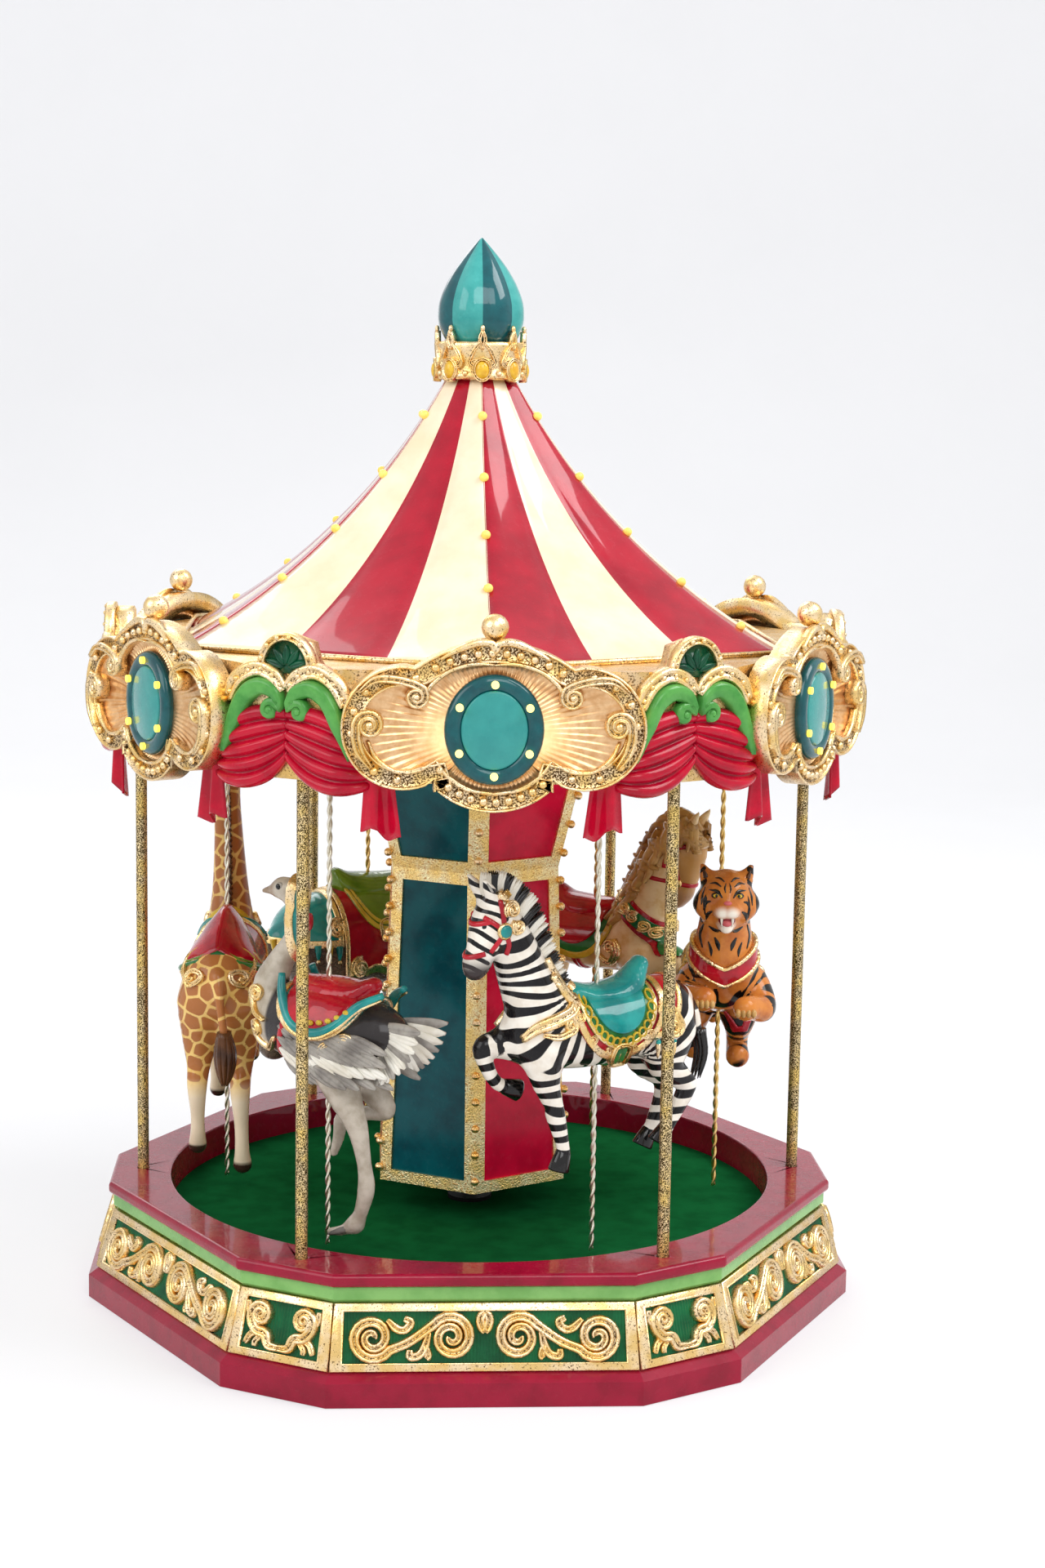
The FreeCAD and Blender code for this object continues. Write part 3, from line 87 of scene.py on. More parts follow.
def blend(tree, share, first, second):
    """Colour between two, by a share from 0 to 1."""
    return put(tree, "Mix", {0: share, 6: first, 7: second}, data_type="RGBA").outputs[2]


def ramp(tree, value, low, high, start=0.0, end=1.0):
    """Value taken from the range low to high onto start to end, smoothly and clamped."""
    sockets = {"Value": value, "From Min": low, "From Max": high, "To Min": start, "To Max": end}
    return put(tree, "MapRange", sockets, interpolation_type="SMOOTHSTEP").outputs[0]


def node_group(name, inputs, outputs, family="ShaderNodeTree"):
    """Empty node group with its sockets, each given as (name, kind)."""
    tree = bpy.data.node_groups.new(name, family)
    for label, kind in inputs:
        tree.interface.new_socket(label, in_out="INPUT", socket_type="NodeSocket" + kind)
    for label, kind in outputs:
        tree.interface.new_socket(label, in_out="OUTPUT", socket_type="NodeSocket" + kind)
    return tree, tree.nodes.new("NodeGroupInput").outputs, tree.nodes.new("NodeGroupOutput").inputs


def noise_at(tree, scale, detail=4.0, rough=0.55, stretch=None):
    """Noise fixed to the piece, scale in cells per metre."""
    place = put(tree, "TexCoord").outputs["Object"]
    if stretch:
        place = put(tree, "Mapping", {"Vector": place, "Scale": stretch}).outputs[0]
    sockets = {"Vector": place, "Scale": scale, "Detail": detail, "Roughness": rough}
    return put(tree, "TexNoise", sockets).outputs[0]


def material(name, base, rough=0.4, metal=0.0, coat=0.0, coat_rough=0.03, bump=None, glow=None,
             glow_power=0.0):
    """Principled material; each value may also be a function that gives a socket of the tree."""
    made = bpy.data.materials.new(name)
    made.use_nodes = True
    tree = made.node_tree
    shader = tree.nodes["Principled BSDF"]
    values = {"Base Color": base, "Roughness": rough, "Metallic": metal, "Coat Weight": coat,
              "Coat Roughness": coat_rough, "Coat IOR": CLEAR_COAT_IOR,
              "Specular IOR Level": 0.5 if metal else 0.1}
    if glow is not None:
        values["Emission Color"] = glow
        values["Emission Strength"] = glow_power
    if bump is not None:
        height, depth = bump
        sockets = {"Height": height(tree), "Distance": depth * MM, "Strength": 1.0}
        tree.links.new(put(tree, "Bump", sockets).outputs[0], shader.inputs["Normal"])
    for label, value in values.items():
        if callable(value):
            tree.links.new(value(tree), shader.inputs[label])
        else:
            shader.inputs[label].default_value = value
    return made


def grouped(group, output, inputs={}):
    """Function that drops a shader group into a material and gives one of its outputs."""
    def inside(tree):
        found = [n for n in tree.nodes if n.type == "GROUP" and n.node_tree == group]
        user = found[0] if found else put(tree, "Group", {}, node_tree=group)
        for label, value in inputs.items():
            if callable(value):
                tree.links.new(value(tree), user.inputs[label])
            else:
                user.inputs[label].default_value = value
        return user.outputs[output]

    return inside


# Shared effect: painted colour that drifts a little, with fine dust specks.
drift, drift_in, drift_out = node_group("Paint drift", [("Color", "Color"), ("Shade", "Color")],
                                          [("Color", "Color"), ("Roughness", "Float")])
cloud = ramp(drift, noise_at(drift, 90.0, 5.0), 0.35, 0.7)
dust = ramp(drift, noise_at(drift, 1900.0, 1.0), 0.74, 0.80)
toned = blend(drift, cloud, drift_in["Color"], drift_in["Shade"])
light = put(drift, "RGB").outputs[0]
light.default_value = rgb(225, 215, 205)
dust_share = reckon(drift, "MULTIPLY", dust, 0.025)
drift.links.new(blend(drift, dust_share, toned, light), drift_out["Color"])
drift.links.new(ramp(drift, noise_at(drift, 300.0), 0.3, 0.8, 0.18, 0.34), drift_out["Roughness"])


def paint(name, colour, shade, coat=0.6, coat_rough=0.05):
    """Hand paint under a clear coat, its colours given as display values."""
    wanted = {"Color": rgb(*colour), "Shade": rgb(*shade)}
    return material(name, grouped(drift, "Color", wanted), grouped(drift, "Roughness"), 0.0, coat,
                    coat_rough)


def dress(names, made, edge=0.0, smooth=False):
    """Puts a material on constructed nodes, with edges rounded to a width in millimetres."""
    for name in names:
        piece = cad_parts[name]
        piece.data.materials.clear()
        piece.data.materials.append(made)
        if edge:
            piece.modifiers.new("Weld", "WELD").merge_threshold = 0.00001
            rounding = piece.modifiers.new("Edges", "BEVEL")
            rounding.width = edge * MM
            rounding.segments = 3
            rounding.limit_method = "ANGLE"
            rounding.angle_limit = radians(25)
            rounding.harden_normals = True
        if smooth:
            piece.data.shade_smooth()


burgundy = paint("Burgundy lacquer", (150, 10, 46), (132, 6, 38), 0.6, 0.03)
dress(["plinth", "rim_ring"], burgundy, edge=0.7)

# Green moulding and floor: satin paint on moulded resin. The moulding is part of the base casting, and the
# floor is a painted disc laid on the rim's ledge. Both are the constructed nodes.
dress(["green_moulding"], paint("Light green paint", (132, 184, 104), (112, 166, 88), 0.5, 0.15), edge=0.4)
floor_paint = paint("Floor green", (20, 92, 48), (16, 78, 40), 0.0)
floor_paint.node_tree.nodes["Principled BSDF"].inputs["Specular IOR Level"].default_value = 0.0
dress(["floor_disc"], floor_paint)

# Columns: gilded brass tubes with a leaf-like grain of bright flecks and dark patina, let into the rim below
# and the canopy ring above. They are the constructed nodes.
gilding, gild_in, gild_out = node_group(
    "Gilding", [("Color", "Color"), ("Patina", "Color"), ("Wear", "Float"), ("Grain", "Float"),
                ("Flecks", "Float")],
    [("Color", "Color"), ("Roughness", "Float"), ("Height", "Float")])
patch = noise_at(gilding, 140.0, 3.0, 0.5)
fleck = noise_at(gilding, gild_in["Flecks"], 2.0, 0.65)
worn = reckon(gilding, "MULTIPLY_ADD", patch, 0.22, reckon(gilding, "ADD", fleck, gild_in["Wear"]))
dark = ramp(gilding, worn, 0.70, 0.86)
pale = ramp(gilding, patch, 0.35, 0.65)
tint = put(gilding, "HueSaturation", {"Color": gild_in["Color"], "Saturation": 0.7,
                                      "Value": 1.12}).outputs[0]
base = blend(gilding, pale, gild_in["Color"], tint)
gilding.links.new(blend(gilding, dark, base, gild_in["Patina"]), gild_out["Color"])
gilding.links.new(ramp(gilding, worn, 0.4, 0.9, 0.2, 0.48), gild_out["Roughness"])
gilding.links.new(reckon(gilding, "MULTIPLY", fleck, gild_in["Grain"]), gild_out["Height"])


def gilt(name, colour, patina, wear, grain, depth=0.12, hollow_wear=0.0, flecks=1500.0):
    """Gilded finish: leaf with patina where the wear is high, and more of it in hollows."""
    def wear_at(tree):
        pointed = put(tree, "NewGeometry").outputs["Pointiness"]
        return ramp(tree, pointed, 0.43, 0.52, wear + hollow_wear, wear)

    wanted = {"Color": rgb(*colour), "Patina": rgb(*patina), "Wear": wear_at if hollow_wear else wear,
              "Grain": grain, "Flecks": flecks}
    return material(name, grouped(gilding, "Color", wanted), grouped(gilding, "Roughness"), 1.0,
                    bump=(grouped(gilding, "Height"), depth))


leaf_gold = gilt("Leaf gold", (216, 178, 108), (88, 60, 26), 0.05, 1.0)
speckled_gold = gilt("Speckled gold", (240, 208, 126), (62, 46, 16), 0.18, 1.8, 0.14, flecks=2300.0)
dress([f"column_{k}" for k in range(1, 7)], speckled_gold, smooth=True)

# Frieze: cast resin wall with a gilded frame on each of the twelve sides. Inside each frame the ground is
# ribbed and painted green, and gilded scrolls lie on it, made in one casting with the wall.
FRIEZE_FOOT = 132.8
FRIEZE_HEAD = 126.3
FRIEZE_FOOT_Z = 11.4
FRIEZE_HEAD_Z = 33.7
SHORT_SIDE_EXTRA = 8.9
FRIEZE_SLOPE_H = hypot(FRIEZE_FOOT - FRIEZE_HEAD, FRIEZE_HEAD_Z - FRIEZE_FOOT_Z)
FRAME_BAR = 2.9
FRAME_END = 3.4
RIB_PITCH = 1.2
BAND_SECTION = [(-1, -0.5), (-1, 0.25), (-0.86, 0.72), (-0.55, 1), (-0.25, 0.8), (0, 0.5),
                (0.25, 0.8), (0.55, 1), (0.86, 0.72), (1, 0.25), (1, -0.5)]
LEAF_SECTION = [(-1, -0.5), (-1, 0.1), (-0.6, 0.75), (-0.12, 1), (0, 0.6), (0.12, 1), (0.6, 0.75), (1, 0.1),
                (1, -0.5)]
ROUND_SECTION = [(-1, -0.5), (-0.92, 0.4), (-0.6, 0.8), (0, 1), (0.6, 0.8), (0.92, 0.4), (1, -0.5)]


class Mesh:
    """Mesh in the making, in millimetres: points, faces, and for each face a tone and its paint pot."""

    def __init__(self):
        self.points = []
        self.faces = []
        self.tones = []
        self.paints = []

    def add(self, shape, tone=1.0, pot=0):
        """A shape given by its points and faces."""
        points, faces = shape
        start = len(self.points)
        self.points.extend(np.asarray(points, float).tolist())
        self.faces.extend([[start + i for i in face] for face in faces])
        self.tones.extend([tone] * len(faces))
        self.paints.extend([pot] * len(faces))

    def add_both(self, shape):
        """A shape and its mirror image."""
        self.add(shape)
        self.add(mirrored(shape))

    def blender_mesh(self, name, *paints):
        """The finished mesh in metres, smooth, with its paints in the order of the pots."""
        mesh = bpy.data.meshes.new(name)
        mesh.from_pydata((np.array(self.points) * MM).tolist(), [], self.faces)
        for made in paints:
            mesh.materials.append(made)
        mesh.polygons.foreach_set("material_index", self.paints)
        mesh.attributes.new("tone", "FLOAT", "FACE").data.foreach_set("value", self.tones)
        turn_out(mesh)
        mesh.shade_smooth()
        return mesh


def turn_out(mesh, merge=0.0, fill=False):
    """Turns the faces of a mesh outwards, after its doubles are merged and its holes filled where asked."""
    work = bmesh.new()
    work.from_mesh(mesh)
    if merge:
        bmesh.ops.remove_doubles(work, verts=work.verts, dist=merge * MM)
    if fill:
        bmesh.ops.holes_fill(work, edges=work.edges)
    bmesh.ops.recalc_face_normals(work, faces=work.faces)
    work.to_mesh(mesh)
    work.free()


def loft(rings, closed_path=False, caps=True):
    """Skin over rings of points, each a closed loop of the same length."""
    rings = np.asarray(rings, float)
    count, size = rings.shape[:2]
    faces = []
    for i in range(count if closed_path else count - 1):
        here, there = i * size, (i + 1) % count * size
        faces += [[here + j, here + (j + 1) % size, there + (j + 1) % size, there + j] for j in range(size)]
    if caps and not closed_path:
        faces += [list(range(size))[::-1], list(range((count - 1) * size, count * size))]
    return rings.reshape(-1, 3), faces


def headings(path, closed):
    """Way along a path at each of its points."""
    ahead = np.roll(path, -1, 0) - np.roll(path, 1, 0)
    if not closed:
        ahead[0] = path[1] - path[0]
        ahead[-1] = path[-1] - path[-2]
    return ahead


def units(vectors, least=0.0):
    """Each vector brought to unit length."""
    return vectors / np.maximum(np.linalg.norm(vectors, axis=1), least)[:, None]


def leftward(path, closed):
    """Unit way to the left of a flat path at each of its points."""
    ahead = units(headings(path, closed))
    return np.stack([-ahead[:, 1], ahead[:, 0]], 1)


def ribbon(path, half_width, height, section=BAND_SECTION, closed=False):
    """Raised band along a flat path (u, v): the section is given as shares of half width and height."""
    path = np.asarray(path, float)
    across = leftward(path, closed)
    widths = np.broadcast_to(half_width, len(path))
    heights = np.broadcast_to(height, len(path))
    rings = []
    for p, a, w, h in zip(path, across, widths, heights):
        rings.append([(*(p + s * w * a), n * h) for s, n in section])
    return loft(rings, closed)


def curve(points, steps=10):
    """Smooth flat or solid path through the points."""
    points = np.asarray(points, float)
    padded = np.vstack([2 * points[0] - points[1], points, 2 * points[-1] - points[-2]])
    out = []
    for a, b, c, d in zip(padded, padded[1:], padded[2:], padded[3:]):
        for t in np.arange(steps) / steps:
            bend = (2 * a - 5 * b + 4 * c - d) * t**2
            out.append(0.5 * (2 * b + (c - a) * t + bend + (3 * b - a - 3 * c + d) * t**3))
    return np.array(out + [points[-1]])


def spiral(centre, start, turns, outer, inner, steps=14, bow=0.8):
    """Flat spiral from outside in, from an angle in degrees; a bow above 1 keeps it wide."""
    count = max(4, int(abs(turns) * steps) + 1)
    share = np.linspace(0, 1, count)
    angle = np.radians(start) + 2 * np.pi * turns * share
    radius = outer + (inner - outer) * share**bow
    return np.stack([centre[0] + radius * np.cos(angle), centre[1] + radius * np.sin(angle)], 1)


def crook(stem, steps, *curl):
    """Flat path along a stem that runs on into a curl, given as for a spiral."""
    return np.vstack([curve(stem, steps)[:-1], spiral(*curl)])


def taper(path, middle, first, last, share=0.2):
    """Half widths along a band that thins towards both ends."""
    t = np.linspace(0, 1, len(path))
    return middle * np.interp(t, [0, share, 1 - share, 1], [first, 1, 1, last])


def knob(centre, radii, rings=5, sides=10):
    """Rounded boss or bead, as a closed ball stretched along each axis."""
    heights = np.cos(np.pi * (np.arange(rings) + 0.5) / rings)
    turn = 2 * np.pi * np.arange(sides) / sides
    shape = []
    for h in heights:
        wide = sqrt(1 - h * h)
        shape.append([(cos(a) * wide * radii[0], sin(a) * wide * radii[1], h * radii[2]) for a in turn])
    points, faces = loft(shape)
    return points + np.asarray(centre, float), faces


def mirrored(shape):
    """The same shape on the other hand."""
    points, faces = shape
    return points * (-1, 1, 1), faces


def frame_ring(outer, inner, section, lift=0.0):
    """Mitred frame between two outlines of the same number of corners."""
    rings = []
    for a, b in zip(np.asarray(outer, float), np.asarray(inner, float)):
        rings.append([(*(a + (b - a) * (s + 1) / 2), lift + n) for s, n in section])
    return loft(rings, True)


round_tree, source, last = node_group("Round the axis", [("Geometry", "Geometry"), ("Count", "Int"),
                                                         ("Finish", "Material")],
                                      [("Geometry", "Geometry")], "GeometryNodeTree")
spots = put(round_tree, "GeometryNodeMeshLine", {"Count": source["Count"], "Offset": (0, 0, 0)})
step = reckon(round_tree, "DIVIDE", 2 * pi, source["Count"])
angle = reckon(round_tree, "MULTIPLY", put(round_tree, "GeometryNodeInputIndex").outputs[0], step)
turn = put(round_tree, "CombineXYZ", {"Z": angle})
copies = put(round_tree, "GeometryNodeInstanceOnPoints",
             {"Points": spots.outputs[0], "Instance": source["Geometry"],
              "Rotation": turn.outputs[0]})
real = put(round_tree, "GeometryNodeRealizeInstances", {0: copies.outputs[0]})
coated = put(round_tree, "GeometryNodeSetMaterial",
             {"Geometry": real.outputs[0], "Material": source["Finish"]})
round_tree.links.new(coated.outputs[0], last[0])


scene = bpy.context.scene


def repeat_round(name, mesh, made, count, body="base", replaces=()):
    """Copies of a mesh round the upright axis, made by geometry nodes, as one piece on a body."""
    return grown(name, mesh, round_tree, {"Count": count, "Finish": made}, body, replaces)


def grown(name, mesh, tree, inputs, body, replaces=()):
    """Runs a geometry-nodes tree on a mesh and keeps the result as a plain piece."""
    source = bpy.data.objects.new(name + "_source", mesh)
    scene.collection.objects.link(source)
    modifier = source.modifiers.new("Repeat", "NODES")
    modifier.node_group = tree
    for item in tree.interface.items_tree:
        if item.in_out == "INPUT" and item.name in inputs:
            modifier[item.identifier] = inputs[item.name]
    result = bpy.data.meshes.new_from_object(source.evaluated_get(bpy.context.evaluated_depsgraph_get()))
    source.modifiers.clear()
    bpy.data.objects.remove(source)
    return placed(name, result, body, replaces)


def placed(name, mesh, body, replaces=()):
    """Finished piece: object at the origin, riding on its body."""
    mesh.name = name
    piece = bpy.data.objects.new(name, mesh)
    scene.collection.objects.link(piece)
    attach(piece, body)
    if replaces:
        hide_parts(*replaces)
    return piece


def outward(azimuth):
    """Direction away from the axis, from 0 at the front towards the right."""
    return np.array([sin(radians(azimuth)), -cos(radians(azimuth)), 0.0])


def sideways(azimuth):
    """Direction to the right of the one away from the axis."""
    return np.array([cos(radians(azimuth)), sin(radians(azimuth)), 0.0])


def on_frieze(shape, azimuth, extra):
    """Flat shape laid on one side of the frieze, from the middle of its lower edge."""
    points, faces = shape
    lean = (FRIEZE_FOOT - FRIEZE_HEAD) / FRIEZE_SLOPE_H
    rise = (FRIEZE_HEAD_Z - FRIEZE_FOOT_Z) / FRIEZE_SLOPE_H
    out, side, up = outward(azimuth), sideways(azimuth), np.array([0, 0, 1.0])
    slope = up * rise - out * lean
    normal = out * rise + up * lean
    foot = out * (FRIEZE_FOOT + extra) + up * FRIEZE_FOOT_Z
    return foot + points[:, :1] * side + points[:, 1:2] * slope + points[:, 2:] * normal, faces


def side_half_width(apothem, short):
    """Half the length of a side of the twelve-sided plan."""
    near, far = (apothem + SHORT_SIDE_EXTRA, apothem) if short else (apothem, apothem + SHORT_SIDE_EXTRA)
    return (far - near * cos(radians(30))) / sin(radians(30))


def grid_faces(rows, columns):
    """Quads of a grid of points with one more point than columns in each row."""
    wide = columns + 1
    return [[r * wide + c, r * wide + c + 1, (r + 1) * wide + c + 1, (r + 1) * wide + c]
            for r in range(rows - 1) for c in range(columns)]


def frieze_panel(short):
    """Frame, ribbed ground and scrolls of one side, flat: gilded shapes and the ground."""
    gilded, ground = Mesh(), Mesh()
    foot = side_half_width(FRIEZE_FOOT, short)
    head = side_half_width(FRIEZE_HEAD, short)
    outer = [(-foot, 0), (foot, 0), (head, FRIEZE_SLOPE_H), (-head, FRIEZE_SLOPE_H)]
    inner_half = head - FRAME_END
    top = FRIEZE_SLOPE_H - FRAME_BAR
    inner = [(-inner_half - 0.6, FRAME_BAR), (inner_half + 0.6, FRAME_BAR), (inner_half, top),
             (-inner_half, top)]
    bar = [(-1, -0.3), (-1, 1.0), (-0.8, 1.4), (0.5, 1.2), (0.62, 1.7), (0.92, 1.6), (1, 0.3), (1, -0.3)]
    gilded.add(frame_ring(outer, inner, bar))
    count = int(2 * (inner_half + 1) / RIB_PITCH) * 4
    across = np.linspace(-inner_half - 1, inner_half + 1, count + 1)
    wave = 0.18 + 0.17 * np.cos(2 * np.pi * across / RIB_PITCH)
    rows = np.array([[(u, v, n) for u, n in zip(across, wave)] for v in (FRAME_BAR - 0.5, top + 0.5)])
    ground.add((rows.reshape(-1, 3), grid_faces(2, count)))
    for path, width, height in short_scrolls() if short else long_scrolls():
        widths = taper(path, width, 0.6, 0.75) if np.isscalar(width) else width
        gilded.add_both(ribbon(path, widths, height))
    return gilded, ground


def long_scrolls():
    """Left half of a long side: a running scroll of two fat curls, with small ball-ended sprays between."""
    first = spiral((-38.6, 11.6), -35, -1.9, 7.4, 0.6, 18, 1.15)[::-1]
    second = spiral((-11.6, 11.6), 145, -1.9, 7.4, 0.6, 18, 1.15)
    scroll = np.vstack([first, curve([first[-1], (-25.5, 10.4), second[0]], 8)[1:-1], second])
    width = np.interp(np.linspace(0, 1, len(scroll)), [0, 0.3, 0.46, 0.54, 0.7, 1],
                      [1.2, 2.0, 1.8, 1.8, 2.0, 1.2])
    return [(scroll, width, 3.2),
            (curve([(-33.4, 17.6), (-30.4, 14.6), (-27.4, 14.2), (-25.4, 16.6), (-27.6, 18.0)], 5), 1.6,
             2.6),
            (curve([(-19.2, 13.2), (-20.6, 8.4), (-22.6, 5.6), (-25.6, 5.2), (-25.8, 7.4)], 5), 1.6, 2.6),
            (curve([(-20.6, 9.0), (-19.4, 5.6), (-20.2, 4.4)], 5), 1.4, 2.2),
            (curve([(0, 20.0), (-1.5, 18.0), (-1.2, 15.4), (0, 13.2)], 5), 1.7, 2.6)]


def short_scrolls():
    """Left half of a short side: a leafy scroll that curls in at the top and joins a bow below."""
    stem = [(0, 4.8), (-4.0, 5.4), (-5.8, 8.8), (-9.4, 9.6), (-12.0, 12.4)]
    return [(crook(stem, 6, (-8.6, 15.2), 205, -1.4, 3.9, 0.7), 2.1, 3.2),
            (curve([(-9.6, 9.0), (-12.0, 7.6), (-13.6, 4.6)], 5), 1.3, 2.1),
            (curve([(-7.6, 8.0), (-9.6, 5.8), (-9.8, 4.0)], 5), 1.2, 2.0),
            (curve([(-11.8, 13), (-13.8, 15.8), (-14.0, 19.2)], 5), 1.2, 2.0)]


antique_gold = gilt("Antique gold", (234, 198, 128), (78, 52, 24), 0.03, 1.0, 0.08, 0.15)
ribbed_green = paint("Ribbed green", (18, 104, 60), (8, 74, 42), 0.4, 0.2)
frieze_gold, frieze_ground = Mesh(), Mesh()
for short, azimuth, extra in ((False, 0.0, 0.0), (True, 30.0, SHORT_SIDE_EXTRA)):
    gilded, ground = frieze_panel(short)
    for part, whole in ((gilded, frieze_gold), (ground, frieze_ground)):
        whole.add(on_frieze((np.array(part.points), part.faces), azimuth, extra))
repeat_round("frieze_scrolls", frieze_gold.blender_mesh("frieze_unit", antique_gold), antique_gold, 6)
repeat_round("frieze_ground", frieze_ground.blender_mesh("ground_unit", ribbed_green), ribbed_green, 6)
dress(["frieze_ring"], antique_gold)

# Canopy ring and top bridge: cast resin carcass that stands on the columns and carries the roof, gilded
# where it shows. Both are the constructed nodes.
dress(["canopy_ring", "top_bridge"], leaf_gold)

# Roof: pressed shell lacquered in eighteen stripes, red and cream, each a little pillowed between fine
# seams. It sits on the canopy ring inside a rolled lip.
RIDGE_FOOT = (126.0, 252.0)
RIDGE_HEAD = (14.5, 349.0)
RIDGE_SAG = 11.0
STRIPES_PER_SIDE = 3
ROOF_ROWS = 30
STRIPE_COLUMNS = 8
STRIPE_PILLOW = 1.1
ROOF_WALL = 1.6
LIP_R = 1.1
SEAM_MERGE = 0.02


def ridge(share):
    """Radius and height on a ridge, from foot (0) to neck (1): an arc that sags below its chord."""
    foot, head = np.array(RIDGE_FOOT), np.array(RIDGE_HEAD)
    chord = head - foot
    length = np.linalg.norm(chord)
    along = chord / length
    inward = np.array([-along[1], along[0]])
    radius = (length**2 / 4 + RIDGE_SAG**2) / (2 * RIDGE_SAG)
    half = asin(length / 2 / radius)
    angle = half * (2 * np.asarray(share) - 1)
    x = length / 2 + radius * np.sin(angle)
    drop = radius * np.cos(angle) - radius * cos(half)
    return foot + x[..., None] * along + drop[..., None] * inward


def roof_sheet():
    """All stripes of the roof as one sheet, each face toned 0 for red and 1 for cream."""
    roof = Mesh()
    line = ridge(np.linspace(0, 1, ROOF_ROWS))
    for side in range(6):
        start, end = outward(60 * side), outward(60 * side + 60)
        slope = outward(60 * side + 30) * 0.65 + (0, 0, 0.75)
        for stripe in range(STRIPES_PER_SIDE):
            grid = []
            for radius, height in line:
                for column in range(STRIPE_COLUMNS + 1):
                    share = column / STRIPE_COLUMNS
                    across = (stripe + share) / STRIPES_PER_SIDE
                    swell = STRIPE_PILLOW * (1 - (2 * share - 1) ** 4) * min(1.0, radius / 60)
                    point = (start * (1 - across) + end * across) * radius
                    grid.append(point + (0, 0, height) + slope * (swell - STRIPE_PILLOW / 2))
            tone = float((STRIPES_PER_SIDE * side + stripe) % 2)
            roof.add((grid, grid_faces(ROOF_ROWS, STRIPE_COLUMNS)), tone)
    return roof


def field(tree, name):
    """Value stored on the faces or points of a mesh."""
    return put(tree, "Attribute", {}, attribute_name=name).outputs["Fac"]


def two_tone(scale, first, second, low=0.3, high=0.75):
    """Function that gives faces of tone 0 the first two colours and of tone 1 the second two, drifting."""
    def inside(tree):
        share = ramp(tree, noise_at(tree, scale), low, high)
        tone = field(tree, "tone")
        halves = [blend(tree, share, rgb(*colour), rgb(*other)) for colour, other in (first, second)]
        return blend(tree, tone, *halves)

    return inside


stripe_colour = two_tone(60.0, ((178, 8, 40), (152, 6, 34)), ((246, 230, 202), (238, 216, 180)))
striped = material("Roof lacquer", stripe_colour, grouped(drift, "Roughness"), 0.0, 0.8, 0.04)
roof = placed("roof_stripes", roof_sheet().blender_mesh("roof_stripes", striped), "base",
              ["roof_shell"])
turn_out(roof.data, SEAM_MERGE)
wall = roof.modifiers.new("Wall", "SOLIDIFY")
wall.thickness = ROOF_WALL * MM
wall.offset = -1.0


def sweep(path, radius, sides=8, closed=False):
    """Round bar along a path in space."""
    path = np.asarray(path, float)
    ahead = units(headings(path, closed))
    guide = np.array([0, 0, 1.0]) if np.abs(ahead[:, 2]).max() < 0.95 else np.array([0.31, 0.95, 0.02])
    across = units(np.cross(ahead, guide))
    over = np.cross(across, ahead)
    radii = np.broadcast_to(radius, len(path))
    turn = 2 * np.pi * np.arange(sides) / sides
    rings = []
    for p, a, o, r in zip(path, across, over, radii):
        rings.append([p + r * (cos(t) * a + sin(t) * o) for t in turn])
    return loft(rings, closed)


lip = Mesh()
lip.add(sweep([outward(60 * k) * (RIDGE_FOOT[0] + 0.6) + (0, 0, RIDGE_FOOT[1] + 0.9) for k in range(6)],
              LIP_R, 8, True))
placed("roof_lip", lip.blender_mesh("roof_lip", leaf_gold), "base")

# Ridge lamps and medallion lamps: small yellow lamp caps pressed into their holders; those of the front
# medallion are lit brightest. They are the constructed nodes.


def lamp_glow(tree):
    """Light of the lamps, paler on the front medallion."""
    place = put(tree, "SeparateXYZ", {0: put(tree, "TexCoord").outputs["Object"]}).outputs[1]
    return blend(tree, ramp(tree, place, -0.136, -0.120), rgb(255, 236, 140), rgb(226, 196, 60))


def drifting(scale, colour, other):
    """Function that lets one colour drift into another over the piece."""
    def inside(tree):
        return blend(tree, ramp(tree, noise_at(tree, scale), 0.3, 0.7), rgb(*colour), rgb(*other))

    return inside


lamp_colour = drifting(500.0, (252, 224, 120), (244, 206, 96))
ridge_lamp = material("Ridge lamp", lamp_colour, 0.2, coat=0.6, glow=lamp_colour, glow_power=0.25)
lit_lamp = material("Lit lamp", lamp_colour, 0.2, glow=lamp_glow, glow_power=1.6)
dress(["roof_bulbs"], ridge_lamp, smooth=True)
dress(["medallion_lamps"], lit_lamp, smooth=True)

# Medallions: cast cartouches, gilded, with a beaded rim, curled straps, a fluted copper dish and an
# enamelled boss. Each is screwed to a long side of the canopy ring. The dish of the front one carries a
# painted glow to the left and right of its boss.
MEDALLION_Z = 233.4
MEDALLION_FACE = 137.0
DISH_N = -2.6
FLUTES = 84
TOP_CIRCLE = (0.0, -15.7, 44.6)
LOBE_CIRCLE = (30.0, 0.4, 20.6)
FOOT_CIRCLE = (0.0, 0.75, 28.25)
NOTCH_ANGLE = 37.9
CUSP_ANGLE = -43.2
RIM_INSET = 3.4
RIM_HALF = 3.4
RIM_BEAD_R = 1.45


def reach(angle):
    """Distance from the middle of the cartouche to its edge, in a direction given in degrees."""
    angle = (angle + 180) % 360 - 180
    side = angle if abs(angle) <= 90 else copysign(180, angle) - angle
    direction = np.array([cos(radians(side)), sin(radians(side))])
    circle = TOP_CIRCLE if side > NOTCH_ANGLE else LOBE_CIRCLE if side > CUSP_ANGLE else FOOT_CIRCLE
    centre = np.array(circle[:2])
    along = direction @ centre
    return along + sqrt(max(0.0, along**2 - centre @ centre + circle[2] ** 2))


def edge_point(angle):
    """Point on the edge of the cartouche."""
    return reach(angle) * np.array([cos(radians(angle)), sin(radians(angle))])


def inset(path, distance):
    """Closed flat path moved inwards, the path going anticlockwise."""
    return path + distance * leftward(path, True)


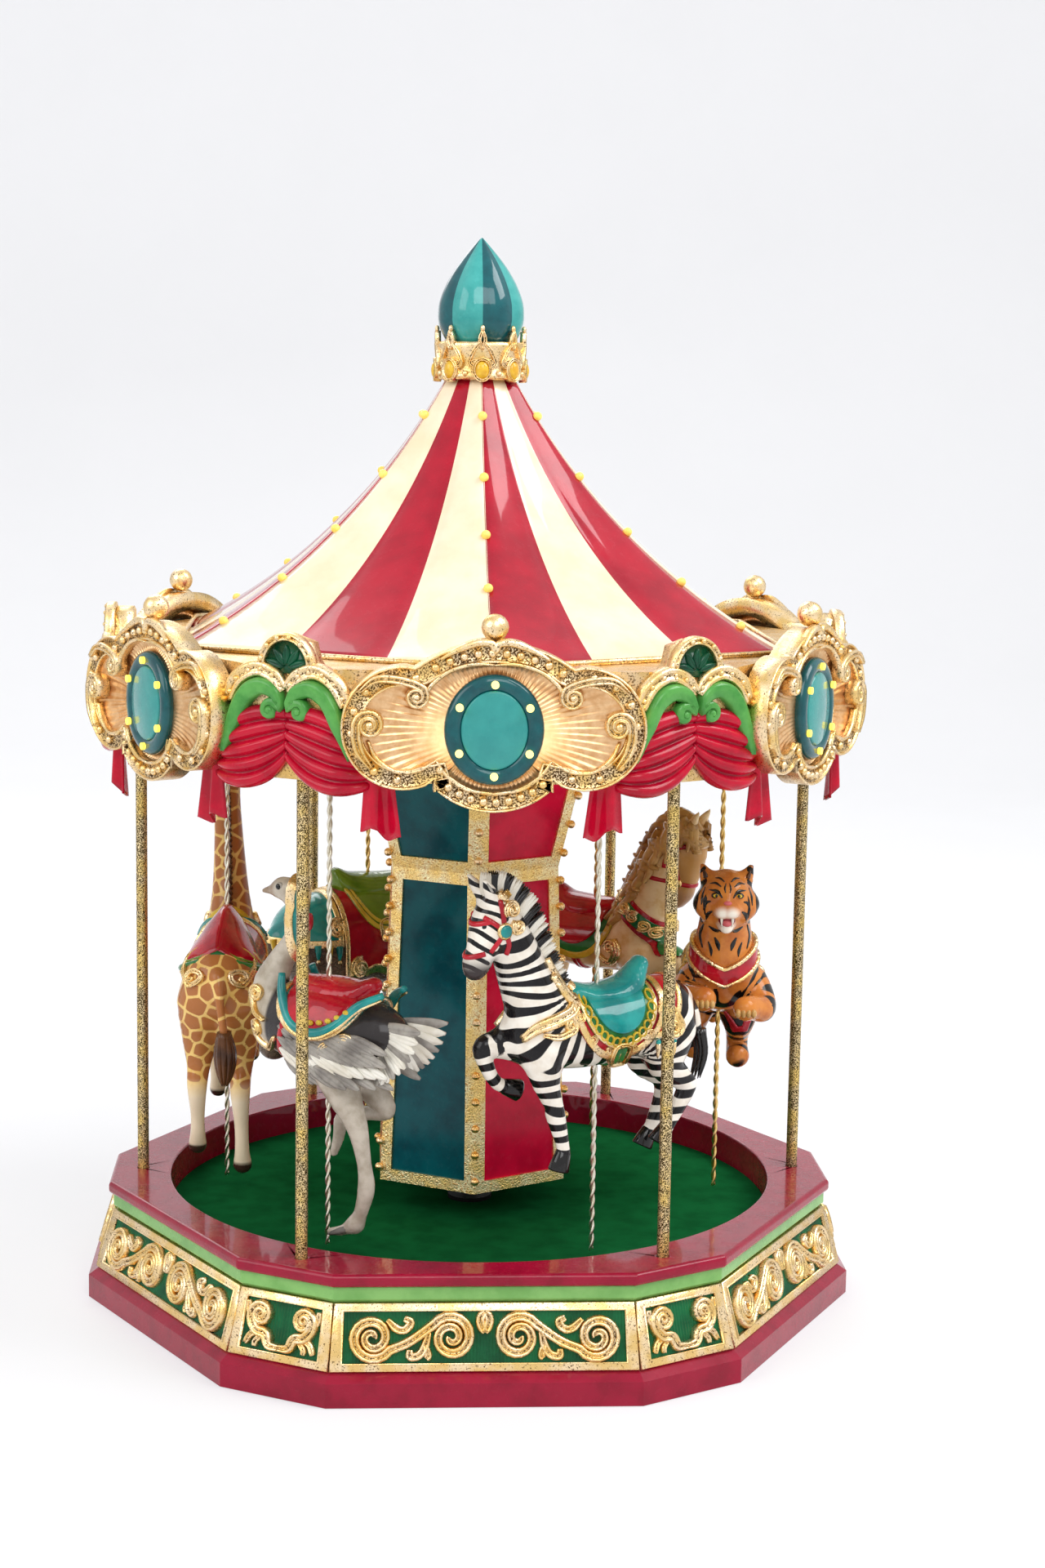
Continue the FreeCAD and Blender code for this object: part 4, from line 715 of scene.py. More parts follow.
def upright(shape, azimuth, distance, height):
    """Flat shape (u, v, n) stood upright on a side of the canopy."""
    points, faces = shape
    points = np.asarray(points, float)
    out, side = outward(azimuth), sideways(azimuth)
    place = points[:, :1] * side + (distance + points[:, 2:]) * out
    place[:, 2] = height + points[:, 1]
    return place, faces


bead_tree, source, last = node_group("Bead row", [("Geometry", "Geometry"), ("Radius", "Float"),
                                                  ("Finish", "Material")],
                                     [("Geometry", "Geometry")], "GeometryNodeTree")
ball = put(bead_tree, "GeometryNodeMeshIcoSphere", {"Radius": source["Radius"], "Subdivisions": 2})
copies = put(bead_tree, "GeometryNodeInstanceOnPoints",
             {"Points": source["Geometry"], "Instance": ball.outputs[0]})
real = put(bead_tree, "GeometryNodeRealizeInstances", {0: copies.outputs[0]})
soft = put(bead_tree, "GeometryNodeSetShadeSmooth", {"Geometry": real.outputs[0]})
coated = put(bead_tree, "GeometryNodeSetMaterial",
             {"Geometry": soft.outputs[0], "Material": source["Finish"]})
bead_tree.links.new(coated.outputs[0], last[0])


def beads(name, centres, size, made, body="base"):
    """Small beads at the given points, made by geometry nodes, as one piece on a body."""
    mesh = bpy.data.meshes.new(name + "_spots")
    mesh.from_pydata((np.asarray(centres, float) * MM).tolist(), [], [])
    return grown(name, mesh, bead_tree, {"Radius": size * MM, "Finish": made}, body)


def round_beads(name, flat, azimuth, distance, height, size):
    """Gilded beads at flat points (u, v, n) on each of six sides of the canopy."""
    sides = [upright((flat, None), azimuth + 60 * side, distance, height)[0] for side in range(6)]
    beads(name, np.vstack(sides), size, antique_gold)


edge = np.array([edge_point(a) for a in np.arange(0, 360, 2.0)])
rim_path = inset(edge, RIM_INSET)
RIM_SECTION = [(-1, -8.5), (-1, 0.3), (-0.94, 0.7), (-0.82, 0.7), (-0.74, 0.0), (-0.66, -0.3), (0.62, -0.3),
               (0.72, 0.3), (0.86, 0.8), (0.97, 0.4), (1, -0.6), (1, -8.5)]

gold_work, dish, enamel = Mesh(), Mesh(), Mesh()
gold_work.add(ribbon(rim_path, RIM_HALF, 1.0, RIM_SECTION, True))
top_curl = crook([(-44.4, 12.6), (-39.4, 16.4), (-33, 16.6), (-27, 15.2), (-23, 13.2)], 6, (-25.8, 10.8), 40,
                 -1.5, 3.3, 0.6)
side_curl = crook([(-40.6, -12.6), (-44.2, -7.6), (-45.8, -2.0)], 6, (-41.2, 1.4), 200, -1.6, 4.7, 0.7)
arch = curve([(0, 21.6), (-7, 21.8), (-15, 19.4), (-21, 14.6), (-22.4, 11.0)], 7)
foot_arch = curve([(0, -21.0), (-9, -19.8), (-15.4, -15.4), (-19.0, -10.4)], 7)
lobe_foot = curve([(-19.2, -10.2), (-25.4, -13.8), (-32.8, -13.8), (-38.8, -9.6), (-41.4, -4.0)], 7)
for path, width, height in ((top_curl, 1.6, 3.2), (side_curl, 1.9, 3.4), (arch, 0.9, 2.0),
                            (foot_arch, 0.8, 1.6), (lobe_foot, 0.8, 1.6)):
    strap = ribbon(path, taper(path, width, 0.4, 0.6), height,
                   ROUND_SECTION if width < 1.5 else BAND_SECTION)
    gold_work.add_both((strap[0] + (0, 0, -0.7), strap[1]))
for u, v, size in ((-25.8, 10.8, 1.2), (-41.2, 1.4, 1.5)):
    gold_work.add_both(knob((u, v, 1.6), (size, size, size), 6, 10))
crest = curve([(-18, 23.4), (-12, 26.6), (-6, 28.8), (-1.4, 28.6), (0, 26.4), (1.4, 28.6), (6, 28.8),
               (12, 26.6), (18, 23.4)], 6)
gold_work.add(ribbon(crest, taper(crest, 1.4, 0.4, 0.4), 2.0, ROUND_SECTION))
gold_work.add(knob((0, 33.6, -3.5), (4.6, 4.6, 4.6), 9, 16))

angles = np.linspace(0, 360, FLUTES * 4, endpoint=False)
rings = []
for share in np.linspace(0, 1, 9):
    ring = []
    for a in angles:
        c, s = cos(radians(a)), sin(radians(a))
        near = 1 / hypot(c / 15.4, s / 17.2)
        far = max(near + 0.6, reach(a) - RIM_INSET - 2.0)
        r = near + (far - near) * share
        hollow = DISH_N * sin(pi * min(1.0, share * 0.9 + 0.1)) - 0.9
        flute = 0.34 * cos(radians(FLUTES * a)) * sin(pi * share)
        ring.append((r * c, r * s, hollow + flute))
    rings.append(ring)
dish.add(loft(rings, caps=False))


def whole_turn(count):
    """Angles spaced evenly round a whole turn."""
    return np.linspace(0, 2 * pi, count, endpoint=False)


def boss_ring(half_u, half_v, height):
    """Oval of the boss at one height."""
    return [(half_u * cos(t), half_v * sin(t), height) for t in whole_turn(48)]


enamel.add(loft([boss_ring(16.6, 18.4, -2.5), boss_ring(16.6, 18.4, -0.6), boss_ring(16.1, 17.9, 0.5),
                 boss_ring(14.9, 16.7, 1.3),
                 boss_ring(13.0, 15.0, 1.4), boss_ring(11.5, 13.6, 0.9), boss_ring(10.9, 13.0, 0.0)]), 0.0)
enamel.add(loft([boss_ring(11.1, 13.2, -0.6), boss_ring(11.0, 13.1, 0.9), boss_ring(10.4, 12.5, 1.2),
                 boss_ring(2.0, 2.4, 1.35)]), 1.0)

enamel_colour = two_tone(200.0, ((8, 86, 90), (6, 68, 74)), ((52, 148, 142), (44, 138, 134)))
copper_colour = drifting(350.0, (236, 196, 148), (214, 164, 112))
teal_enamel = material("Teal enamel", enamel_colour, grouped(drift, "Roughness"), 0.0, 1.0, 0.04)


def painted_dish_glow(tree):
    """Painted glow on the dish of the front medallion, to the left and right of its boss: emission that
    stands in for light leaking from behind the boss.
    """
    place = put(tree, "SeparateXYZ", {0: put(tree, "TexCoord").outputs["Object"]}).outputs
    near = ramp(tree, reckon(tree, "ABSOLUTE", place[0]), 0.015, 0.030, 1.0, 0.0)
    above = reckon(tree, "ADD", place[2], -MEDALLION_Z * MM + 0.003)
    level = ramp(tree, reckon(tree, "ABSOLUTE", above), 0.002, 0.014, 1.0, 0.0)
    front = ramp(tree, place[1], -0.129, -0.127, 1.0, 0.0)
    share = reckon(tree, "MULTIPLY", reckon(tree, "MULTIPLY", near, level), front)
    return blend(tree, share, (0, 0, 0, 1), rgb(255, 226, 160))


# The copper dish glows with the painted glow above, though it is no lamp.
copper = material("Fluted copper with painted glow", copper_colour, grouped(gilding, "Roughness"), 0.85, glow=painted_dish_glow,
                  glow_power=0.7)
medallions = [f"medallion_{k}" for k in range(1, 7)]


def six_round(name, part, flat, azimuth, distance, height, made, stands_for=()):
    """A part, given by its flat points, stood on each of six sides of the canopy."""
    part.points = upright((flat, None), azimuth, distance, height)[0].tolist()
    repeat_round(name, part.blender_mesh(name, made), made, 6, "base", stands_for)


medallion_parts = [("medallion_gold", gold_work, antique_gold, "antique_gold", medallions),
                   ("medallion_dishes", dish, copper, "antique_gold", ()),
                   ("medallion_bosses", enamel, teal_enamel, "teal_gloss", ())]
for name, part, made, finish, stands_for in medallion_parts:
    six_round(name, part, part.points, 0, MEDALLION_FACE, MEDALLION_Z, made, stands_for)
round_beads("medallion_beads", [(*p, 0.1) for p in rim_path[1::5]], 0, MEDALLION_FACE, MEDALLION_Z,
            RIM_BEAD_R)

# Draped shields: cast plaques on the short sides, each with gilded humps and crest, green leaves, folded
# crimson swags and two pleated ribbon tails, all one casting painted by hand.
DRAPE_FACE = 136.6
DRAPE_Z = 237.0
SHIELD = [(0, -9), (-9, -9), (-18.6, -8), (-18.6, 7), (-11, 14), (-8.6, 17), (-7, 23), (0, 25),
          (7, 23), (8.6, 17), (11, 14), (18.6, 7), (18.6, -8), (9, -9)]
BEND_FROM = 18.0
BEND_TO = 26.0
CREST_BEAD_R = 1.0
SWAG_FOLDS = 5
LEAF_ROUND = [(-1, -0.5), (-1, 0.2), (-0.8, 0.75), (-0.45, 1), (0.1, 0.78), (0.6, 0.82), (0.9, 0.55),
              (1, 0.1), (1, -0.5)]


def held(value):
    """Value held between 0 and 1."""
    return np.clip(value, 0, 1)


def round_corner(points):
    """Flat drape (u, v, n) bent round the corners of its short side, so its ends lie on the long sides."""
    table = np.linspace(0, 60, 601)
    lean = np.radians(30) * held((table - BEND_FROM) / (BEND_TO - BEND_FROM))
    along = np.concatenate([[0], np.cumsum(np.cos(lean[:-1]) * 0.1)])
    back = np.concatenate([[0], np.cumsum(np.sin(lean[:-1]) * 0.1)])
    points = np.asarray(points, float).copy()
    side, far = np.sign(points[:, 0]), np.abs(points[:, 0])
    angle = np.interp(far, table, lean)
    lift = points[:, 2].copy()
    points[:, 0] = side * (np.interp(far, table, along) + lift * np.sin(angle))
    points[:, 2] = lift * np.cos(angle) - np.interp(far, table, back)
    return points


def cloth_sheet(front, thick):
    """Closed cloth from a grid of front points (u, v, n)."""
    front = np.asarray(front, float)
    rings = []
    for row in front:
        rings.append(np.vstack([row, (row - (0, 0, thick))[::-1]]))
    return loft(rings)


def swag():
    """Left swag: folds that fan from the middle to the outer lower corner, where the tail hangs."""
    rows = []
    steps = np.linspace(0, 1, 17)
    for share in np.linspace(0, 1, 8 * SWAG_FOLDS + 1):
        start = np.array([0.5, 0.5 - 16.5 * share])
        middle = np.array([-14.0 + 3.5 * share, 5.5 - 38.0 * share])
        end = np.array([-30.0, -8.0 - 17.0 * share])
        fold = 2.4 * abs(sin(pi * SWAG_FOLDS * share)) ** 0.7
        line = [(1 - t) ** 2 * start + 2 * t * (1 - t) * middle + t * t * end for t in steps]
        lifts = [0.4 + fold * (0.45 + 0.75 * sin(pi * (0.1 + 0.8 * t))) for t in steps]
        rows.append([(*p, lift) for p, lift in zip(line, lifts)])
    return cloth_sheet(rows, 1.6)


def tail():
    """Left ribbon tail: broad strip that widens downwards, folded twice, with a slanting hem."""
    rows = []
    for drop in np.linspace(0, 1, 12):
        row = []
        for share in np.linspace(-1, 1, 25):
            fold = cos(pi * 1.5 * (share + 1))
            low = -18 - 20.0 * drop - 1.6 * drop * (1 - fold) + 2.2 * drop * share
            place = -33.2 - 0.8 * drop + (4.6 + 2.2 * drop) * share
            row.append((place, low, 1.6 + (0.6 + 1.3 * drop) * fold))
        rows.append(row)
    return cloth_sheet(rows, 0.9)


cloth, gilt_parts, leaves = Mesh(), Mesh(), Mesh()
for part in (swag(), tail()):
    cloth.add_both(part)
plaque = [(u, v, -8.0) for u, v in SHIELD]
gilt_parts.add(loft([plaque, [(u, v, -1.6) for u, v in SHIELD],
                     [(u * 0.93, v * 0.93, -1.0) for u, v in SHIELD]]))
hump = curve([(-22.6, 3.0), (-19.0, 10.0), (-11.8, 13.8), (-5.0, 12.0), (-0.4, 7.4)], 6)
hump_section = [(s, n * 0.9 + 0.1) for s, n in BAND_SECTION]
gilt_parts.add_both(ribbon(hump, taper(hump, 2.9, 0.8, 0.7), 3.0, hump_section))
fan_turns = np.linspace(radians(-12), radians(192), 30)
half_disc = np.array([(9.6 * cos(t), 14.6 + 10.4 * sin(t)) for t in fan_turns])
gilt_parts.add(ribbon(half_disc, 1.5, 2.6, BAND_SECTION))
ground = [(0.92 * u, 14.6 + 0.92 * (v - 14.6), 0.6) for u, v in half_disc]
leaves.add(loft([[(u, v, -1.0) for u, v, _ in ground], ground]), 0.0)
for petal in (-72, -36, 0, 36, 72):
    a = radians(90 - petal)
    way = np.array((cos(a), sin(a)))
    path = np.linspace((0, 14.4) + 1.4 * way, (0, 14.4) + (8.0, 7.8) * way, 9)
    leaves.add(ribbon(path, 1.7 * np.sin(np.linspace(0.3, 2.9, 9)) + 0.1, 1.9, LEAF_SECTION), 0.0)
leaf_stem = curve([(-2.0, 3.0), (-4.6, 6.6), (-10.2, 8.0), (-16.0, 4.4), (-20.2, -4.4), (-23.6, -15)], 7)
leaf = np.vstack([spiral((-5.6, 0.2), 15, 1.45, 3.6, 0.5)[::-1], leaf_stem])
leaf_width = np.interp(np.linspace(0, 1, len(leaf)), [0, 0.3, 0.5, 0.7, 0.85, 1],
                       [1.0, 1.5, 2.8, 3.5, 2.8, 0.3])
green_leaf = ribbon(leaf, leaf_width, 4.2, LEAF_ROUND)
eye = knob((-5.6, 0.2, 2.6), (1.7, 1.7, 1.7), 6, 10)
for part in (green_leaf, eye):
    leaves.add_both(part)

leaf_colour = two_tone(160.0, ((10, 84, 54), (6, 58, 38)), ((92, 164, 78), (62, 136, 58)))
crimson = paint("Drape crimson", (192, 8, 44), (160, 6, 36), 0.6, 0.08)
leaf_green = material("Leaf green", leaf_colour, grouped(drift, "Roughness"), 0.0, 0.6, 0.08)
drapes = [f"drape_{k}" for k in range(1, 7)]
drape_parts = [("drape_cloth", cloth, crimson, "drape_crimson", drapes),
               ("drape_gold", gilt_parts, antique_gold, "antique_gold", ()),
               ("drape_leaves", leaves, leaf_green, "light_green_paint", ())]
for name, part, made, finish, stands_for in drape_parts:
    six_round(name, part, round_corner(part.points), 30, DRAPE_FACE, DRAPE_Z, made, stands_for)
crest_beads = [(*p, 2.2) for p in half_disc[1::4]]
crest_beads += [(side * u, v, 1.9) for u, v in hump[2:-2:4] for side in (-1, 1)]
round_beads("drape_beads", round_corner(crest_beads), 30, DRAPE_FACE, DRAPE_Z, CREST_BEAD_R)

# Crown under the finial: gilded casting with eight settings that hold yellow enamel drops, and scrolls with
# small spikes between them. It drops over the neck of the roof.
CROWN_R = 15.6
CROWN_FOOT_Z = 349.0
CROWN_PARTS = 8


def wrapped(shape):
    """Flat shape (u, v, n) wrapped round the crown."""
    points, faces = shape
    turn = points[:, 0] / CROWN_R
    out = CROWN_R + points[:, 2]
    return np.stack([np.sin(turn) * out, -np.cos(turn) * out, CROWN_FOOT_Z + points[:, 1]], 1), faces


def lathe(profile, sides=48):
    """Solid turned about the upright axis from a profile of (radius, height)."""
    turn = 2 * np.pi * np.arange(sides) / sides
    return loft([[(r * sin(t), -r * cos(t), z) for t in turn] for r, z in profile])


crown_band, crown_unit, drops = Mesh(), Mesh(), Mesh()
crown_band.add(lathe([(14.2, 347.6), (16.2, 348.0), (16.6, 349.4), (15.7, 350.4), (15.3, 353), (15.6, 358),
                      (16.3, 360.2), (15.8, 361.6), (13.2, 361.8), (13.0, 348)]))
pitch = 2 * pi * CROWN_R / CROWN_PARTS
crown_scrolls = [(crook([(-0.6, 12.2), (-2.8, 9.6), (-4.6, 6.0)], 4, (-2.9, 4.8), 170, 1.2, 2.0, 0.4), 0.7,
                  1.6),
                 (curve([(0, 9.6), (-1.0, 13.0), (-0.2, 16.6)], 4), 0.7, 1.5)]
for path, width, height in crown_scrolls:
    part = ribbon(path, taper(path, width, 0.6, 0.5), height)
    crown_unit.add(wrapped(part))
    crown_unit.add(wrapped(mirrored(part)))
setting = np.array([(2.9 * cos(t), 2.4 + 3.9 * sin(t)) for t in whole_turn(22)])
crown_unit.add(wrapped(ribbon(setting, 0.7, 2.0, BAND_SECTION, True)))
drops.add(wrapped(knob((0, 2.2, 0.9), (2.5, 3.5, 1.9), 8, 14)))
crown_unit.add(wrapped(knob((pitch / 2, 1.0, 0.6), (1.2, 1.2, 1.2), 6, 10)))
crown_unit.add(wrapped(knob((0, 17.4, 0.6), (0.9, 1.3, 0.9), 6, 10)))
placed("crown_band", crown_band.blender_mesh("crown_band", antique_gold), "base",
       ["finial_crown"])
repeat_round("crown_scrolls", crown_unit.blender_mesh("crown_unit", antique_gold), antique_gold, CROWN_PARTS)

amber = material("Yellow enamel", drifting(300.0, (238, 196, 60), (214, 158, 34)), 0.15, 0.0, 1.0, 0.03)
repeat_round("crown_drops", drops.blender_mesh("crown_drop", amber), amber, CROWN_PARTS)

# Finial: onion dome of gored enamel, light and dark teal by turns, cast hollow in eight gores and held by a
# stud through the crown.
DOME_PROFILE = [(12.8, 361.2), (14.6, 364.4), (16.0, 368.2), (16.3, 371.8), (15.8, 376.4), (13.7, 382.0),
                (10.5, 387.6),
                (7.0, 392.3), (3.4, 396.5), (0.4, 399.8)]
DOME_GORES = 8
GORE_COLUMNS = 6


def dome():
    """Gores of the dome, each face toned 0 and 1 by turns."""
    made = Mesh()
    line = curve(DOME_PROFILE, 5)
    for gore in range(DOME_GORES):
        grid = []
        for r, z in line:
            for share in np.arange(GORE_COLUMNS + 1) / GORE_COLUMNS:
                turn = 2 * pi * (gore + share) / DOME_GORES
                wide = r * (0.955 + 0.06 * sin(pi * share))
                grid.append((wide * sin(turn), -wide * cos(turn), z))
        made.add((grid, grid_faces(len(line), GORE_COLUMNS)), float(gore % 2))
    return made


dome_colour = two_tone(120.0, ((10, 92, 98), (8, 70, 78)), ((70, 168, 162), (44, 146, 142)))
dome_enamel = material("Dome enamel", dome_colour, grouped(drift, "Roughness"), 0.0, 1.0, 0.03)
dome_mesh = dome().blender_mesh("finial_gores", dome_enamel)
turn_out(dome_mesh, SEAM_MERGE, True)
placed("finial_gores", dome_mesh, "base", ["finial_dome"])

# Drum: gilded six-sided frame round the main shaft with glossy red and teal panels let into it, and a row of
# gilded beads down each corner post. It turns with the rods.
DRUM_LEVELS = [(40.5, 45.5), (36.0, 166.5), (50.0, 222.0)]
DRUM_BEAD_R = 1.6
DRUM_BEAD_PITCH = 9.6
sparkle_gold = gilt("Sparkle gold", (255, 220, 138), (206, 150, 72), 0.06, 1.3, 0.3)
dress(["drum_frame", "rod_carrier"], sparkle_gold)
dress(["red_panels"], paint("Panel red", (228, 14, 62), (200, 10, 52), 0.3, 0.1))
dress(["teal_panels"], paint("Panel teal", (10, 92, 100), (8, 70, 80), 0.3, 0.1))
post_beads = []
for corner in range(6):
    for (r0, z0), (r1, z1) in zip(DRUM_LEVELS, DRUM_LEVELS[1:]):
        count = int(hypot(r1 - r0, z1 - z0) / DRUM_BEAD_PITCH)
        for share in (np.arange(count) + 0.5) / count:
            radius = r0 + (r1 - r0) * share + 0.8
            post_beads.append(outward(60 * corner) * radius + (0, 0, z0 + (z1 - z0) * share))
bead_gold = gilt("Bead gold", (252, 196, 108), (214, 146, 70), 0.02, 0.5, 0.0)
beads("drum_beads", post_beads, DRUM_BEAD_R, bead_gold, "turning_set")

# Hanger rods: two brass wires twisted together, gilt, hung from the carrier disc through collars. Three of
# them are paler than the others.
ROD_PITCH_R = 95.0
ROD_SPAN = (39.0, 231.0)
WIRE_R = 0.56
WIRE_OFFSET = 0.5
TWIST_PITCH = 9.6
TWIST_STEPS = 12
RIDE_TURN = -5.0
RIDER_AZIMUTHS = {"zebra": 30, "ostrich": -30, "giraffe": -90, "elephant": -150, "horse": 150, "tiger": 90}

pale_brass = two_tone(420.0, ((232, 228, 214), (206, 196, 170)), ((240, 210, 140), (214, 176, 100)),
                      0.35, 0.65)
champagne = material("Pale brass", pale_brass, grouped(gilding, "Roughness"), 1.0)
twisted = Mesh()
steps = int((ROD_SPAN[1] - ROD_SPAN[0]) / TWIST_PITCH * TWIST_STEPS)
heights = np.linspace(*ROD_SPAN, steps + 1)
for rider, azimuth in RIDER_AZIMUTHS.items():
    tone = 0.0 if rider in ("zebra", "ostrich", "giraffe") else 1.0
    centre = outward(azimuth + RIDE_TURN) * ROD_PITCH_R
    for half in (0, pi):
        turn = 2 * pi * heights / TWIST_PITCH + half
        across, over = WIRE_OFFSET * np.cos(turn), WIRE_OFFSET * np.sin(turn)
        wire = np.stack([centre[0] + across, centre[1] + over, heights], 1)
        twisted.add(sweep(wire, WIRE_R, 7), tone)
placed("twisted_rods", twisted.blender_mesh("twisted_rods", champagne), "turning_set",
       ["hanger_rods"])

# Works, cover and controls: moulded black plastic, plated steel, brass and a green board, mostly hidden in
# the base. All are the constructed nodes.


def plain(name, colour, other, rough, metal=0.0):
    """Moulded or plated finish with a fine drift of tone."""
    return material(name, drifting(400.0, colour, other), rough, metal)


black_plastic = plain("Black plastic", (34, 32, 32), (26, 25, 25), 0.55)
steel = plain("Plated steel", (196, 196, 192), (170, 170, 168), 0.3, 1.0)
brass = plain("Turned brass", (214, 178, 96), (190, 150, 74), 0.28, 1.0)
dress(["bottom_cover", "battery_door", "speaker", "control_switches", "switch_knob", "tune_button",
       "floor_bush"], black_plastic)
dress(["cover_screws", "motor", "main_shaft", "finial_stud"], steel)
dress(["lower_bush", "top_bush", "rod_collars", "pinion"], brass)
dress(["drive_gear"], plain("White gear plastic", (228, 226, 218), (214, 212, 202), 0.45))
dress(["battery_cells"], plain("Cell jacket", (60, 66, 76), (44, 50, 58), 0.35, 0.4))
dress(["circuit_board"], plain("Board green", (20, 92, 52), (14, 74, 42), 0.4))

# Zebra: cast resin figure on its rod, painted in black and white stripes, with a brush mane, red bridle,
# turquoise saddle over a red blanket, and gilded breast scrolls, all painted by hand.
GRID_STEP = 0.8
MISS_REACH = 50.0
FLANK_REACH = 60.0
GIRTH_REACH = 40.0
CLOTH_SLOPE = 9.0
OFF_CLOTH = 50.0
RED, GOLD, GREEN, TEAL, YELLOW, BLACK, WHITE, PINK, GREY, TAN, BROWN, MOUTH, OLIVE = range(13)


def limb_distance(grid, start, end):
    """Distance to a limb between two balls (forward, outward, height, radius)."""
    axis = (end - start)[:3]
    share = held(((grid - start[:3]) @ axis) / max(axis @ axis, 1e-6))
    away = np.linalg.norm(grid - start[:3] - share[..., None] * axis, axis=-1)
    return away - (start[3] + (end[3] - start[3]) * share), share


def cast(chains, soft=3.5, step=GRID_STEP, widen=1.0):
    """Skin over chains of balls that run smoothly into each other, in the figure's own frame."""
    chains = [curve(chain, 4) for chain in chains]
    every = np.vstack(chains)
    low = (every[:, :3] - every[:, 3:]).min(0) - 3
    high = (every[:, :3] + every[:, 3:]).max(0) + 3
    counts = np.ceil((high - low) / step).astype(int) + 1
    field = np.full(counts, 6.0)
    for chain in chains:
        first = np.floor(((chain[:, :3] - chain[:, 3:]).min(0) - 4 - soft - low) / step).astype(int).clip(0)
        beyond = (chain[:, :3] + chain[:, 3:]).max(0) + 4 + soft
        last = np.minimum(np.ceil((beyond - low) / step).astype(int), counts)
        axes = [low[k] + step * np.arange(first[k], last[k]) for k in range(3)]
        grid = np.stack(np.meshgrid(*axes, indexing="ij"), -1)
        near = np.full(grid.shape[:3], 9.0)
        for start, end in zip(chain, chain[1:]):
            near = np.minimum(near, limb_distance(grid, start, end)[0])
        window = tuple(slice(a, b) for a, b in zip(first, last))
        held = field[window]
        merge = np.clip(soft - np.abs(held - near), 0, None) / soft
        field[window] = np.minimum(held, near) - merge**2 * soft / 4
    points, faces = net(field, low, step)
    return points * (1, widen, 1), faces


def net(field, low, step):
    """Quads over the zero level of a field on a grid, with one point in each cell it crosses."""
    inside = field < 0
    size = np.array(field.shape) - 1
    total = np.zeros((*size, 3))
    hits = np.zeros(size)
    crossings = []
    for axis in range(3):
        lower = tuple(slice(0, -1) if k == axis else slice(None) for k in range(3))
        upper = tuple(slice(1, None) if k == axis else slice(None) for k in range(3))
        crossing = inside[lower] != inside[upper]
        crossings.append((crossing, inside[lower]))
        share = np.where(crossing, field[lower] / np.where(crossing, field[lower] - field[upper], 1), 0)
        first, second = [k for k in range(3) if k != axis]
        for p in (0, 1):
            for q in (0, 1):
                cut = [slice(None)] * 3
                cut[first] = slice(p, p + size[first])
                cut[second] = slice(q, q + size[second])
                hit = crossing[tuple(cut)]
                hits += hit
                total[..., axis] += share[tuple(cut)]
                total[..., first] += hit * p
                total[..., second] += hit * q
    cells = np.argwhere(hits > 0)
    number = np.zeros(size, int)
    number[tuple(cells.T)] = np.arange(len(cells))
    spot = tuple(cells.T)
    points = low + step * (cells + total[spot] / hits[spot][:, None])
    faces = []
    for axis in range(3):
        crossing, starts_inside = crossings[axis]
        u, v = (axis + 1) % 3, (axis + 2) % 3
        edges = np.argwhere(crossing)
        keep = (edges[:, u] > 0) & (edges[:, v] > 0) & (edges[:, u] < size[u]) & (edges[:, v] < size[v])
        edges = edges[keep]
        quads = []
        for du, dv in ((-1, -1), (0, -1), (0, 0), (-1, 0)):
            cell = edges.copy()
            cell[:, u] += du
            cell[:, v] += dv
            quads.append(number[tuple(cell.T)])
        quads = np.stack(quads, 1)
        turned = ~starts_inside[tuple(edges.T)]
        quads[turned] = quads[turned][:, ::-1]
        faces += quads.tolist()
    return points, faces


def skin_normals(points, faces):
    """Direction out of the skin at each point."""
    quads = np.array(faces)
    turned = np.cross(points[quads[:, 2]] - points[quads[:, 0]], points[quads[:, 3]] - points[quads[:, 1]])
    normals = np.zeros_like(points)
    for corner in range(4):
        np.add.at(normals, quads[:, corner], turned)
    return units(normals, 1e-9)


def pair(chain):
    """A chain and its mirror image on the other flank."""
    return [chain, [(x, -y, z, radius) for x, y, z, radius in chain]]


